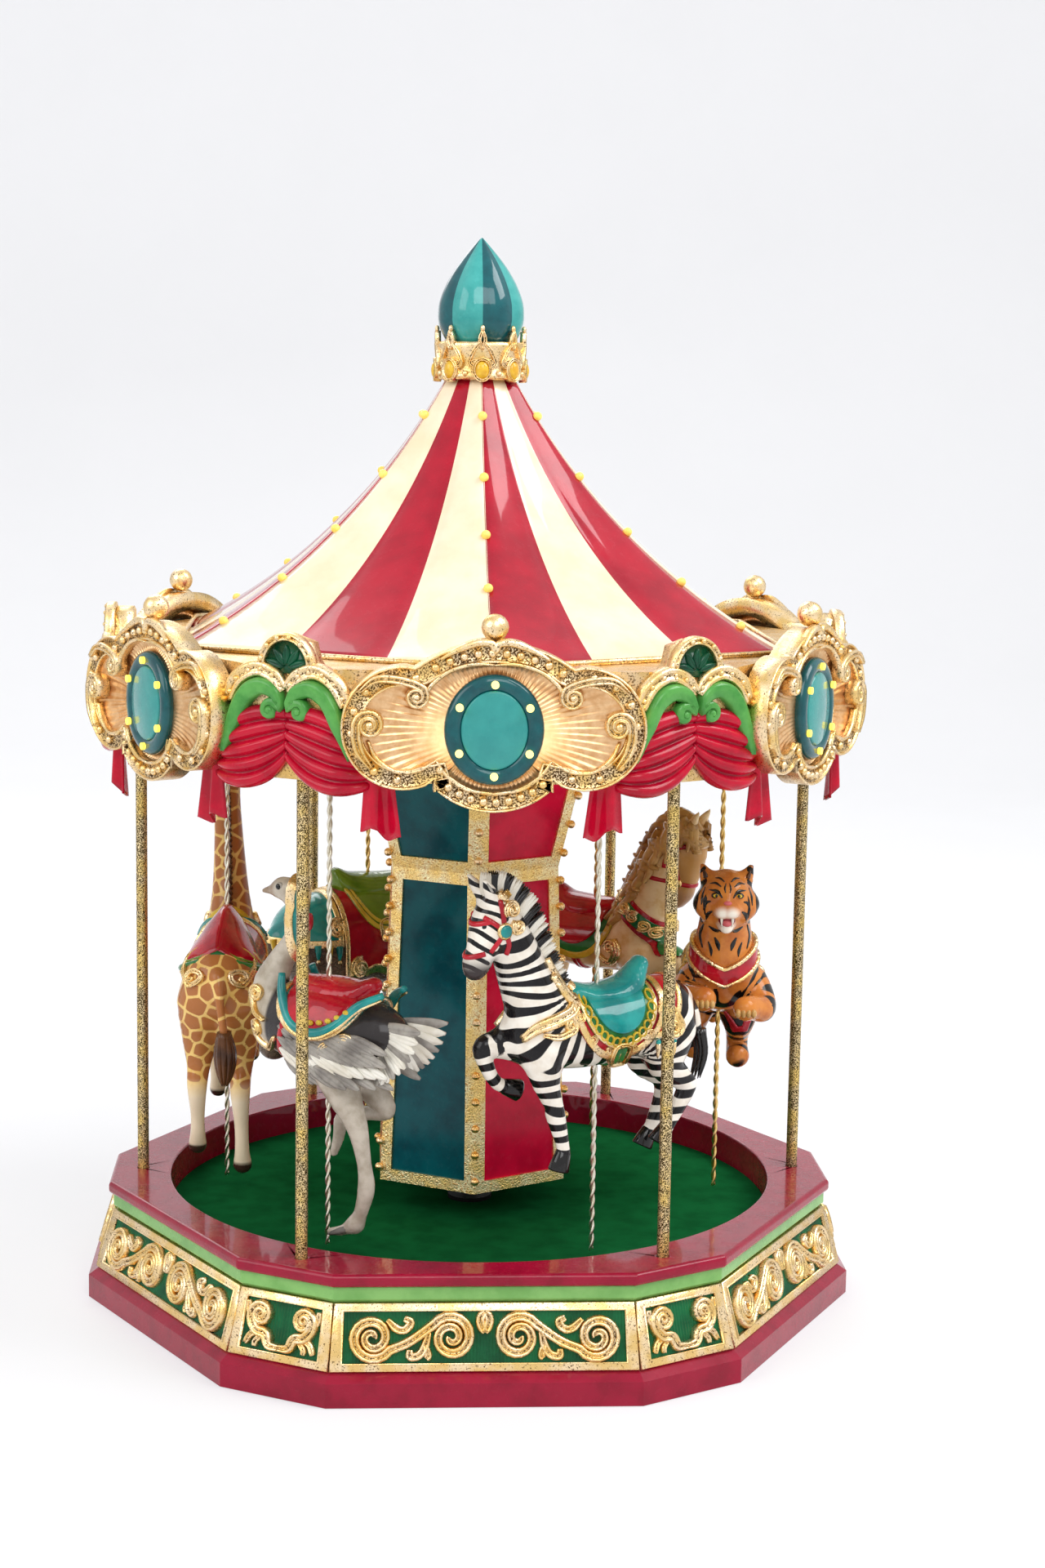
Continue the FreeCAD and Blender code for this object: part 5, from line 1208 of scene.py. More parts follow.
class Figure:
    """One animal: its skin in its own frame (forward, outward, height), and the parts laid on it."""

    def __init__(self, name, chains, soft=3.5):
        self.name = name
        self.chains = chains
        self.points, self.faces = cast(chains, soft)
        self.normals = skin_normals(self.points, self.faces)
        self.tree = BVHTree.FromPolygons(self.points.tolist(), self.faces)
        self.tack = Mesh()
        self.place = RIDER_AZIMUTHS[name] + RIDE_TURN

    def in_ring(self, points):
        """From the figure's own frame to its place in the ring."""
        turn = radians(self.place + 180)
        x = points[:, 0] * cos(turn) - points[:, 1] * sin(turn)
        y = points[:, 0] * sin(turn) + points[:, 1] * cos(turn)
        return np.stack([x, y, points[:, 2]], 1) + outward(self.place) * ROD_PITCH_R

    def touch(self, origins, aims):
        """Where rays meet the skin, or pass it nearest, with the skin's directions there."""
        spots, normals = [], []
        for origin, aim in zip(origins, aims):
            hit = self.tree.ray_cast(Vector(origin), Vector(aim))
            if hit[0] is None:
                hit = self.tree.find_nearest(Vector(origin) + Vector(aim) * MISS_REACH)
            spots.append(hit[0])
            normals.append(hit[1])
        return np.array(spots), np.array(normals)

    def strap(self, spots, normals, half_width, height, pot, section=ROUND_SECTION, closed=False):
        """Band laid on the skin along spots."""
        if len(spots) < 3:
            return
        across = units(np.cross(normals, headings(spots, closed)), 1e-6)
        widths = np.broadcast_to(half_width, len(spots))
        rings = []
        for p, a, m, w in zip(spots, across, normals, widths):
            rings.append([p + s * w * a + n * height * m for s, n in section])
        self.tack.add(loft(rings, closed), pot=pot)

    def laid(self, path, side, half_width, height, pot, section=BAND_SECTION):
        """Band on one flank (side 1 outer, -1 inner) along a path of (forward, height)."""
        origins = [(x, FLANK_REACH * side, z) for x, z in path]
        spots, normals = self.touch(origins, [(0, -side, 0)] * len(path))
        self.strap(spots, normals, half_width, height, pot, section)

    def scroll(self, path, side, half_width, height):
        """Gilded scroll on one flank that thins towards both ends."""
        self.laid(path, side, taper(path, half_width, 0.6, 0.7), height, GOLD)

    def flank(self, forward, height, side):
        """Point of the skin on one flank, and the skin's direction there."""
        spots, normals = self.touch([(forward, FLANK_REACH * side, height)], [(0, -side, 0)])
        return spots[0], normals[0]

    def stud(self, forward, height, side, lift, radii, pot):
        """Boss on one flank."""
        spot, normal = self.flank(forward, height, side)
        self.dot(spot + normal * lift, radii, pot)

    def girth(self, centre, axis, half_width, height, pot, section=ROUND_SECTION, arc=(0, 360)):
        """Band round a limb or the body, square to an axis in the upright plane."""
        axis = Vector(axis).normalized()
        side = Vector((0, 1, 0))
        other = axis.cross(side)
        whole = arc[1] - arc[0] >= 360
        turns = np.radians(np.linspace(*arc, 41)[:-1] if whole else np.linspace(*arc, 25))
        aims = [-(side * cos(t) + other * sin(t)) for t in turns]
        origins = [Vector(centre) - aim * GIRTH_REACH for aim in aims]
        spots, normals = self.touch(origins, aims)
        self.strap(spots, normals, half_width, height, pot, section, whole)

    def patch(self, value, lift, pot, under=0.3):
        """Cloth on the skin where a value, in about millimetres, is above zero, cut cleanly at its edge."""
        quads = np.array(self.faces)
        quads = quads[(value[quads] > 0).any(1)]
        whole = (value[quads] > 0).all(1)
        cut = quads[~whole]
        triangles = np.vstack([cut[:, [0, 1, 2]], cut[:, [0, 2, 3]]])
        upper = self.points + self.normals * lift
        lower = self.points - self.normals * under
        used = np.unique(quads[whole])
        top, bottom = list(upper[used]), list(lower[used])
        known = {(i, i): number for number, i in enumerate(used)}
        polygons = np.searchsorted(used, quads[whole]).tolist()
        border = {}

        def corner(key, i, j, share):
            if key not in known:
                known[key] = len(top)
                top.append(upper[i] + (upper[j] - upper[i]) * share)
                bottom.append(lower[i] + (lower[j] - lower[i]) * share)
            return known[key]

        for triangle in triangles:
            ring = []
            for i, j in zip(triangle, np.roll(triangle, -1)):
                if value[i] > 0:
                    ring.append(corner((i, i), i, i, 0.0))
                if (value[i] > 0) != (value[j] > 0):
                    a, b = min(i, j), max(i, j)
                    ring.append(corner((a, b), a, b, value[a] / (value[a] - value[b])))
            if len(ring) > 2:
                polygons.append(ring)
        for ring in polygons:
            for a, b in zip(ring, ring[1:] + ring[:1]):
                if border.pop((b, a), None) is None:
                    border[(a, b)] = True
        count = len(top)
        walls = [[a, count + a, count + b, b] for a, b in border]
        faces = polygons + [[count + i for i in ring[::-1]] for ring in polygons] + walls
        self.tack.add((np.array(top + bottom), faces), pot=pot)

    def cloth(self, middle, half_length, top, drop, hem):
        """Value for a rounded saddle cloth: its place on the back, its drop from the top and its hem."""
        x, y, z = self.points.T
        oval = np.hypot((x - middle) / half_length, np.clip(top - z, 0, None) / drop)
        return CLOTH_SLOPE * (1 - oval) - OFF_CLOTH * (z < hem)

    def edging(self, value, width, lift, pot):
        """Band just inside the edge of a cloth."""
        self.patch(np.minimum(value, width - value), lift, pot)

    def lump(self, chains, pot, soft=2.0, widen=1.0, step=0.7):
        """Solid part cast in its own paint, such as a saddle."""
        self.tack.add(cast(chains, soft, step, widen), pot=pot)

    def hair(self, path, radius, pot):
        """Lock that tapers to a tip."""
        line = curve(path, 4)
        share = np.linspace(0, 1, len(line))
        self.tack.add(sweep(line, radius * np.sqrt(held(1.02 - share)), 6), pot=pot)

    def dot(self, centre, radii, pot):
        """Small boss, such as an eye."""
        self.tack.add(knob(centre, radii, 6, 10), pot=pot)

    def along(self, pitches):
        """Stripe phase at each point: how far along the nearest chains it lies, in stripes."""
        weight_sum = np.zeros(len(self.points))
        phase = np.zeros(len(self.points))
        for chain, (pitch, start) in zip(self.chains, pitches):
            if pitch is None:
                continue
            line = np.array(chain, float)
            lengths = np.concatenate([[0], np.cumsum(np.linalg.norm(np.diff(line[:, :3], axis=0), axis=1))])
            best = np.full(len(self.points), 99.0)
            travelled = np.zeros(len(self.points))
            for k, (a, b) in enumerate(zip(line, line[1:])):
                axis = (b - a)[:3]
                raw = ((self.points - a[:3]) @ axis) / (axis @ axis)
                low = -2.0 if k == 0 else 0.0
                top = 2.0 if k == len(line) - 2 else 1.0
                away = limb_distance(self.points, a, b)[0]
                nearer = away < best
                best = np.where(nearer, away, best)
                way = lengths[k] + np.clip(raw, low, top) * np.linalg.norm(axis)
                travelled = np.where(nearer, way, travelled)
            weight = np.exp(-np.clip(best, -2, 40) / 1.6)
            if chain is not self.chains[0]:
                weight *= np.clip((travelled + 2) / 12, 0.03, 1)
            weight_sum += weight
            phase += weight * (start + travelled / pitch)
        return phase / weight_sum

    def finish(self, made, finish, fields):
        """Makes the body piece, with its painted fields, and the piece for everything laid on it."""
        body = bpy.data.meshes.new(self.name + "_body")
        body.from_pydata((self.in_ring(self.points) * MM).tolist(), [], self.faces)
        body.materials.append(made)
        for label, values in fields.items():
            store = body.attributes.new(label, "FLOAT", "POINT").data
            store.foreach_set("value", np.asarray(values, np.float32))
        body.shade_smooth()
        placed(self.name + "_body", body, "turning_set", [self.name])
        self.tack.points = self.in_ring(np.array(self.tack.points)).tolist()
        placed(self.name + "_tack", self.tack.blender_mesh(self.name + "_tack", *TACK_PAINTS), "turning_set")


def hide(name, light, dark, tip, hoof, soft=0.12, bump=None, coat=0.5):
    """Painted hide: light ground, dark marks where the mark field is above zero, dipped ends, hooves."""
    def base(tree):
        drift_share = ramp(tree, noise_at(tree, 160.0, 6.0), 0.35, 0.7)
        ground = blend(tree, drift_share, rgb(*light[0]), rgb(*light[1]))
        marked = blend(tree, ramp(tree, field(tree, "mark"), -soft, soft), ground, rgb(*dark))
        dipped = blend(tree, field(tree, "dip"), marked, rgb(*tip))
        return blend(tree, field(tree, "hoof"), dipped, rgb(*hoof))

    return material(name, base, grouped(drift, "Roughness"), 0.0, coat, 0.08, bump)


TACK_PAINTS = [paint("Tack red", (190, 22, 40), (150, 10, 30), 0.9, 0.06),
               antique_gold,
               paint("Tack green", (52, 128, 58), (20, 92, 46), 0.8, 0.08),
               paint("Tack turquoise", (40, 156, 150), (16, 116, 116), 0.9, 0.06),
               paint("Tack yellow", (222, 190, 60), (190, 150, 36), 0.7, 0.1),
               paint("Eye black", (16, 14, 14), (10, 9, 9), 1.0, 0.02),
               paint("Bone white", (240, 236, 224), (222, 214, 196), 0.5, 0.1),
               paint("Tongue pink", (214, 110, 110), (186, 78, 84), 0.7, 0.1),
               paint("Feather grey", (176, 170, 160), (120, 114, 108), 0.4, 0.2),
               paint("Mane tan", (206, 162, 96), (150, 104, 48), 0.7, 0.1),
               paint("Tuft brown", (96, 60, 34), (62, 38, 24), 0.5, 0.15),
               paint("Mouth red", (150, 30, 34), (104, 16, 22), 0.8, 0.08),
               paint("Saddle olive", (112, 146, 34), (84, 116, 20), 0.9, 0.06)]

ZEBRA = [
    [(23, 0, 122, 13.2), (10, 0, 120.5, 13), (0, 0, 120.5, 12.8), (-14, 0, 122, 12.6), (-26, 0, 124, 13)],
    [(22, 0, 127, 11.8), (28, 0, 139, 9.8), (33, 0, 151, 8.4), (39, 0, 163, 7.2)],
    [(40.6, 0, 166.6, 7), (44.2, 0, 161, 6.2), (46.8, 0, 153.6, 4.6), (48.4, 0, 148.6, 3.9)],
    *pair([(43, 3.4, 158.6, 4.2), (45.2, 2.4, 154.4, 3.2)]),
    [(47.8, 0, 148.4, 4.3), (48.8, 0, 146.2, 3.6)],
    *pair([(43.4, 3.6, 171, 2.1), (46, 5, 174.5, 2.2), (48.6, 5.8, 178.6, 0.7)]),
    [(25, 6, 116, 8), (23.4, 6.5, 105, 5), (20.2, 6.5, 96.4, 3.4), (19.4, 6.5, 92.6, 3.5),
     (16.4, 6.5, 82, 2.4), (16, 6.5, 78.6, 2.6)],
    [(27, -5, 118.4, 8), (36, -6, 117.4, 5.3), (42, -6, 116, 3.7), (39.6, -6, 108, 2.6),
     (36.4, -6, 103.4, 2.4), (33.6, -6, 101.8, 2.6)],
    [(-27, 5, 118, 10), (-25.5, 6, 107, 6.8), (-32, 6.5, 100.5, 4.2), (-34.6, 6.5, 97, 3.5),
     (-28.6, 6.5, 86, 2.6), (-26.4, 6.5, 82.8, 2.6)],
    [(-26, -5, 117, 10), (-24, -6, 106, 6.6), (-33, -6.5, 96, 3.7), (-29, -6.5, 82, 2.6),
     (-27.2, -6.5, 78.4, 2.6)],
    [(-36, 0, 130, 2.2), (-41, 0, 123, 1.9), (-43, 0, 114, 1.7)],
]
zebra = Figure("zebra", ZEBRA)
x, y, z = zebra.points.T
wobble = 0.09 * np.sin(x * 0.31 + z * 0.23) + 0.07 * np.sin(z * 0.41 - y * 0.5)
haunch = 20 / 7 * np.arctan2(np.clip(-14 - x, 0, None), np.clip(z - 108, 0.01, None))
haunch = haunch + np.clip(108 - z, 0, None) / 5.8
breast = 22 / 6.6 * np.arctan2(np.clip(x - 12, 0, None), np.clip(136 - z, 0.01, None))
neck_way = np.clip(z - 136, 0, None)
breast = breast + (neck_way + 0.35 * (x - 12) * held(neck_way / 12)) / 6.4
trunk = np.where(x < -14, -haunch, np.clip((x + 14) / 7, 0, 26 / 7) + breast)


def stripes(way, black=0.05):
    """Mark field of stripes, from a way counted in stripes."""
    return np.sin(2 * np.pi * (way + wobble)) + black


fore = held((113 - z) / 5) * (x > 8) * (y > -1)
raised = held((x - 27) / 4) * held((122 - z) / 3) * (y < 0)
face = held((x - 38.5 + 0.3 * (z - 165)) / 3) * (z > 132)
mark = stripes(trunk)
for share, other in ((fore, stripes(z / 5.6 + 0.3)),
                     (raised, stripes(zebra.along([(None, 0)] * 9 + [(5.6, 0.4)] + [(None, 0)] * 3))),
                     (face, stripes((0.45 * x - 0.89 * z) / 3.9, -0.3))):
    mark = mark * (1 - share) + other * share
muzzle = held((151.5 - z) / 5) * (x > 41) * (z > 138)


def hoof_at(figure, top, foot, narrow, wide):
    """Flared hoof from the fetlock down to its flat sole."""
    top, foot = np.array(top, float), np.array(foot, float)
    axis = (foot - top) / np.linalg.norm(foot - top)
    across = np.array((0, 1, 0))
    ahead = np.cross(across, axis)
    turns = whole_turn(16)
    rings = []
    for share, radius in ((-0.08, 0.7 * narrow), (0.04, narrow), (0.92, wide), (1, 0.93 * wide)):
        middle = top + (foot - top) * share
        rings.append([middle + radius * (cos(t) * ahead + 0.86 * sin(t) * across) for t in turns])
    figure.tack.add(loft(rings), pot=BLACK)


for top, foot in (((15.9, 6.5, 79.4), (17.8, 6.5, 72.2)), ((33.8, -6, 101.9), (27.4, -6, 99.6)),
                  ((-26.6, 6.5, 83.4), (-22.6, 6.5, 77.6)), ((-27.4, -6.5, 79), (-24.2, -6.5, 72.8))):
    hoof_at(zebra, top, foot, 2.8, 4.1)
zebra_hide = hide("Zebra paint", ((244, 238, 226), (226, 216, 200)), (22, 20, 22), (58, 50, 50),
                  (52, 46, 46))

# Mane, tail and face of the zebra.
MANE_LOCKS = 44
crest = curve([(42.4, 0, 172.4), (38, 0, 173.6), (32.6, 0, 168), (26.8, 0, 157.4), (21.4, 0, 146.4),
               (15.4, 0, 136.4)], 12)
for number, spot in enumerate(crest[np.linspace(0, len(crest) - 1, MANE_LOCKS).astype(int)]):
    share = number / MANE_LOCKS
    lean = np.array([1.5 - 8.5 * min(1, share * 2.2), 0, 8.6 - 5.6 * share]) * (1.2 - 0.2 * share)
    pot = BLACK if number // 3 % 2 else WHITE
    for offset in (-1.3, 0, 1.3):
        root = spot + (1.6, offset, -2.6)
        zebra.hair([root, root + 0.55 * lean + (0.5, 0, 0), root + lean + (0, offset * 0.2, 0)], 1.5, pot)
for turn in whole_turn(9):
    wave = (cos(turn) * 1.6, sin(turn) * 1.6)
    tip = np.array((-43.4 + wave[0], wave[1], 116))
    zebra.hair([tip, tip + (-1.2, wave[1] * 0.5, -9), tip + (1, wave[1] * 0.3, -18)], 1.2, BLACK)
for side in (1, -1):
    zebra.dot((47, 4.6 * side, 162), (1.6, 1.1, 1.4), BLACK)
    zebra.dot((51.4, 2.3 * side, 147), (0.9, 0.8, 1), BLACK)
    zebra.hair([(44.6, 5.6 * side, 172.6), (46.4, 6.7 * side, 175.2), (48, 6.7 * side, 177.6)], 0.9, GREY)
    for path in (spiral((38.4, 167.6), -40, 1.3, 3, 0.7), spiral((36.2, 161.6), 60, -1.3, 2.6, 0.7),
                 spiral((40.6, 172.4), 200, -1.2, 2.2, 0.6)):
        zebra.laid(path, side, taper(path, 1.1, 0.7, 0.7), 1.7, GOLD)

# Bridle, breast scrolls, saddle and blanket of the zebra.
zebra.girth((44.4, 0, 164.4), (0.3, 0, 0.95), 0.95, 0.7, RED, arc=(190, 350))
zebra.girth((46.6, 0, 153), (0.3, 0, 0.95), 0.95, 0.7, RED, arc=(190, 350))
for path in ([(41.6, 160.6), (43.8, 156.6), (45.6, 153.2)], [(41.6, 160.6), (45, 163.4), (47.6, 165.2)],
             [(41.6, 160.6), (41.8, 166), (42.6, 171.4)], [(41.6, 160.6), (39.4, 156), (39.6, 152)]):
    for side in (1, -1):
        zebra.laid(curve(path, 4), side, 0.95, 0.7, RED, ROUND_SECTION)
for side in (1, -1):
    zebra.stud(41.6, 160.6, side, 0.6, (3.1, 1.3, 3.1), GOLD)
    zebra.stud(41.6, 160.6, side, 1.5, (2.3, 1, 2.3), TEAL)
seat = zebra.cloth(-3, 15.5, 134, 17.5, 112)
blanket = zebra.cloth(-15.5, 13, 136, 18, 112)
apron = zebra.cloth(-3, 19, 134, 22, 109)
for cloth_part in (blanket, apron):
    zebra.patch(cloth_part, 0.8, RED)
    zebra.edging(cloth_part, 1, 1.5, GOLD)
zebra.patch(seat, 1.5, GREEN)
zebra.patch(seat - 2.6, 2.4, TEAL)
zebra.edging(seat, 0.7, 2, GOLD)
zebra.lump([[(9.5, 0, 134.4, 4), (3, 0, 131.8, 5.4), (-5, 0, 131.6, 6.2), (-12, 0, 134.6, 5.4),
             (-17.4, 0, 142.6, 3)]], TEAL, widen=1.5)
zebra.lump([[(10.6, -2.6, 135.8, 1.9), (11.8, 0, 137.6, 2), (10.6, 2.6, 135.8, 1.9)]], GOLD, 1)
for side in (1, -1):
    for turn in np.radians(np.linspace(8, 172, 15)):
        spot = np.array([-3.0 + 13.6 * cos(turn), 134 - 15.4 * sin(turn)])
        ring = [(spot[0] + 1.45 * cos(t), spot[1] + 1.45 * sin(t)) for t in np.linspace(0, 2 * pi, 11)]
        zebra.laid(ring, side, 0.45, 2.6, YELLOW, ROUND_SECTION)
    scrolls = [(crook([(33.6, 122), (29.4, 126), (22.6, 128.4), (15.8, 130.6), (12, 135), (12.8, 140.4)], 6,
                      (16.2, 142), 200, -1.3, 3.4, 0.7), 2.5),
               (crook([(28, 123.6), (22.6, 122.6), (18.4, 123.8)], 5, (17.8, 126.2), -80, -1.2, 2.6, 0.7),
                1.4),
               (curve([(12.4, 143.6), (11.8, 148), (14.4, 152.6)], 5), 1.3),
               (crook([(-20, 131), (-24, 127.6), (-26.6, 122.6)], 5, (-23.8, 121.6), 170, 1.2, 2.8, 0.7),
                1.5),
               (spiral((-20.4, 127.6), 60, 1.4, 2.6, 0.6), 1.3)]
    for turn in np.radians((20, 46, 72, 108, 134, 160)):
        scrolls.append((spiral((-3.0 + 17.0 * cos(turn), 134 - 19.2 * sin(turn)), 40, 1.1, 1.5, 0.4), 0.6))
    for path, width in scrolls:
        zebra.scroll(path, side, width, 1.9)
    for drop in (-24.6, -21.2, -18):
        zebra.dot((drop, 13.6 * side, 116.6), (1, 1, 1), TEAL)
        zebra.hair([(drop, 13.4 * side, 116), (drop, 13.6 * side, 113.4), (drop, 13.2 * side, 110.6)], 1.1,
                   GOLD)
    buckle = np.array([(-6.2, 111.2), (-0.2, 111.2), (-0.2, 117.2), (-6.2, 117.2), (-6.2, 111.2)])
    zebra.laid(curve(buckle, 3), side, 0.8, 3, GOLD)
    zebra.laid([(-3.2, 111.8), (-3.2, 113), (-3.2, 115), (-3.2, 116.6)], side, 2.4, 2.6, GREEN)
zebra.girth((-3.2, 0, 121), (1, 0, 0), 1.9, 0.9, GREEN, BAND_SECTION)
zebra.finish(zebra_hide, "zebra_paint", {"mark": mark, "dip": muzzle, "hoof": np.zeros(len(x))})

# Ostrich: cast resin figure with a grey neck and legs, a dark body, and separate cast plumes at the wings
# and tail, under a red domed saddle with a turned-up teal edge.
OSTRICH = [
    [(18, 0, 119, 11.5), (8, 0, 119, 14), (-6, 0, 119, 14.6), (-20, 0, 119, 11.2), (-28, 0, 119.6, 6.5)],
    [(20, 0, 122, 8), (25.4, 0, 130, 6.8), (22, 0, 139, 5), (16, 0, 148, 3.8), (13.6, 0, 156, 3.3),
     (15, 0, 163, 3.2)],
    [(16.4, 0, 166.8, 4.4), (20, 0, 167.2, 3.8)],
    [(20.8, 0, 166.6, 2.4), (24.6, 0, 166, 1.8), (28.6, 0, 165.2, 0.9)],
    [(-6, 6, 108, 8.6), (-11.4, 6.8, 98, 6.2), (-17.4, 7, 87, 3.9), (-20.6, 7, 74, 2.6), (-21.6, 7, 65, 3.1),
     (-19.4, 7, 56, 2.5), (-17, 7, 51, 2.5)],
    [(-17, 7, 51, 2.5), (-11.6, 7, 48, 1.9), (-6.2, 7, 46.6, 1.3)],
    [(-9, -6, 107, 7.8), (-15, -6.4, 97, 5.4), (-20.6, -6.5, 90, 3.3), (-11, -6.5, 87.6, 2.5),
     (-2, -6.5, 85, 2.7), (0, -6.5, 77, 2.1), (2, -6.5, 71, 1.5)],
]
ostrich = Figure("ostrich", OSTRICH)
x, y, z = ostrich.points.T
trunk = held((z - 104) / 5) * held((22 - x) / 4) * held((136 - z) / 3)
ostrich_hide = hide("Ostrich paint", ((196, 186, 170), (164, 152, 134)), (52, 48, 48), (150, 128, 104),
                    (196, 184, 166), 0.5)


def feather(figure, root, tip, half_width, normal, pot, droop=2):
    """One cast plume, from root to tip, with a raised quill."""
    root, tip, normal = (np.asarray(v, float) for v in (root, tip, normal))
    ahead = tip - root
    length = np.linalg.norm(ahead)
    ahead /= length
    across = np.cross(normal, ahead)
    across /= np.linalg.norm(across)
    face = np.cross(ahead, across)
    share = np.linspace(0, 1, 9)
    widths = half_width * np.array([0.35, 0.7, 0.92, 1, 1, 0.97, 0.88, 0.66, 0.2])
    rings = []
    for t, w in zip(share, widths):
        middle = root + ahead * length * t - face * droop * t * t
        rings.append([middle + s * w * across + n * 0.8 * face for s, n in LEAF_SECTION])
    figure.tack.add(loft(rings), pot=pot)


for side in (1, -1):
    for row, (count, drop, pot) in enumerate(((8, -3, GREY), (9, 1, GREY), (9, 5, WHITE), (8, 9, GREY))):
        for k in range(count):
            share = k / (count - 1)
            spot, normal = ostrich.flank(12 - 30 * share, 117.5 - drop, side)
            root = spot + normal * (0.2 + 0.3 * row)
            tip = root + (-12.5 - 2 * share, (0.8 + 0.6 * row) * side, -4.6 - 2.4 * (1 - share))
            feather(ostrich, root, tip, 1.9, (0, side, 0.15), pot)
for side in (1, -1):
    for k in range(10):
        fall = radians(4 - 8.6 * k)
        root = np.array((-24, (4.0 + 0.25 * k) * side, 123.0 - 0.8 * k))
        tip = root + (21 - 0.9 * k) * np.array((-cos(fall), 0.16 * side, sin(fall)))
        feather(ostrich, root, tip, 2.3, (0, side, 0.2), WHITE if k % 3 else GREY, -1.5)
for side in (1, -1):
    ostrich.dot((19.2, 3.5 * side, 168.2), (1.7, 0.9, 1.6), GREY)
    ostrich.dot((19.4, 4.1 * side, 168.2), (1.1, 0.7, 1.1), BLACK)
    for toe in (-2.4, 2):
        ostrich.hair([(-15.2, 7 + toe * 0.5, 49.6), (-10.2, 7 + toe, 47.6), (-6.4, 7 + toe * 1.1, 46.2)],
                     1.6, GREY)
skirt = ostrich.cloth(-3, 18, 133, 15, 112)
ostrich.patch(skirt, 1.2, TEAL)
ostrich.patch(skirt - 2.2, 2.4, RED)
ostrich.edging(skirt, 1, 2.4, GOLD)
ostrich.lump([[(11.5, 0, 134.4, 3), (7, 0, 132.4, 5), (-3, 0, 131.4, 6.6), (-13, 0, 132.6, 5.2),
               (-19, 0, 136.4, 3)]], RED, widen=1.5)
for side in (1, -1):
    edge = curve([(14, 9 * side, 138.4), (12, 11.5 * side, 131), (5, 15.4 * side, 122.6),
                  (-5, 16.2 * side, 120.6), (-14, 15 * side, 124.4), (-21, 11.5 * side, 131.4),
                  (-28, 6.5 * side, 135.4)], 5)
    ostrich.tack.add(sweep(edge, taper(edge, 1.9, 0.7, 0.6), 10), pot=TEAL)
    ostrich.tack.add(sweep(edge + (0, 1.3 * side, -1.7), taper(edge, 0.7, 0.6, 0.6), 7), pot=GOLD)
    for path in (spiral((-16.4, 117.4), 60, 1.4, 3.6, 0.8), spiral((-9.4, 114.6), 80, -1.3, 2.8, 0.7),
                 crook([(14, 116), (19, 111), (25, 113)], 5, (24.4, 117), -80, 1.2, 3.6, 0.8),
                 crook([(20, 121), (26, 123), (29, 128)], 5, (26.4, 129), 0, 1.2, 2.8, 0.8)):
        ostrich.scroll(path, side, 1.25, 1.8)
    for k in range(5):
        ostrich.dot((-4 - 3.4 * k, (16.8 - 0.6 * k) * side, 124.4 + 0.5 * k * k * 0.6), (1.4, 0.9, 1),
                    YELLOW)
ostrich.girth((11, 0, 119), (1, 0, 0.3), 1.3, 0.8, RED)
beak = held((x - 21) / 2) * (z > 160)
ostrich.finish(ostrich_hide, "ostrich_paint", {"mark": trunk * 2 - 1, "dip": beak, "hoof": np.zeros(len(x))})

# Giraffe: cast resin figure painted in brown patches on a yellow net, with cream shins, dark hooves and a
# tufted tail, under a red saddle edged in green and gold.
GIRAFFE = [
    [(19, 0, 125, 12.6), (8, 0, 123, 13.2), (-8, 0, 121, 13.6), (-20, 0, 120, 14.2)],
    [(20, 1, 131, 10), (25.6, 2, 146, 7.4), (29, 3, 163, 6), (31.6, 4, 180, 5.2), (33, 4, 190, 4.8)],
    [(34, 4, 194, 5.2), (40, 4, 191, 4.3), (47, 4, 187.6, 3.2)],
    [(32.6, 6, 197, 1.6), (32, 6.4, 203, 1.3)],
    [(32.6, 2, 197, 1.6), (32, 1.6, 203, 1.3)],
    [(31, 8, 194.4, 1.8), (29.6, 11.6, 195, 0.9)],
    [(31, 0, 194.4, 1.8), (29.6, -3.6, 195, 0.9)],
    [(-22, -6, 112, 10.4), (-20.4, -7.2, 98, 7.4), (-22.4, -8, 87, 4.6), (-26, -8.5, 79, 3.8),
     (-24.6, -8.8, 66, 2.7), (-24, -9, 56, 2.8), (-22.5, -9, 50, 3.6)],
    [(-20, 6, 112, 10.4), (-18.4, 7.6, 98, 7), (-19.4, 8.2, 88, 4.6), (-22, 8.5, 80, 3.8),
     (-18.6, 8.8, 68, 2.7), (-17, 9, 61, 2.8), (-14, 9.5, 55, 3.5)],
    [(18, 6, 114, 8), (19.6, 6.8, 98, 5), (21, 7, 84, 3.5), (22, 7, 73, 2.6), (25, 7, 67, 3.4)],
    [(18, -6, 114, 8), (24, -6.6, 106, 5.6), (29, -7, 98, 4.2), (25.4, -7, 89, 2.8), (19.6, -7, 83, 3.3)],
    [(-33, -1, 125, 2), (-37, -2.4, 115, 1.6), (-38, -4, 104, 1.5)],
]
PATCHES = 340
giraffe = Figure("giraffe", GIRAFFE)
x, y, z = giraffe.points.T
draw = np.random.default_rng(7)
seeds = giraffe.points[draw.choice(len(giraffe.points), 5 * PATCHES, replace=False)]
kept = []
for seed in seeds:
    if all(np.linalg.norm(seed - other) > 4.4 for other in kept[-400:]):
        kept.append(seed)
kept = np.array(kept[:PATCHES + 60])
two = np.sort(np.linalg.norm(giraffe.points[:, None, :] - kept[None], axis=2), axis=1)[:, :2]
shins = held((84 - z) / 8)
hoof = held((51.6 - z) / 1) * (y < 0) * (x < 0) + held((56 - z)) * (y > 0) * (x < 0)
hoof = hoof + held(67.4 - z) * (x > 10) * (y > 0)
hoof = hoof + held(82.6 - z) * (x > 10) * (y < 0) * (z > 76)
giraffe_hide = hide("Giraffe paint", ((240, 204, 124), (222, 178, 94)), (172, 108, 58), (240, 222, 190),
                    (60, 40, 32), 0.35)
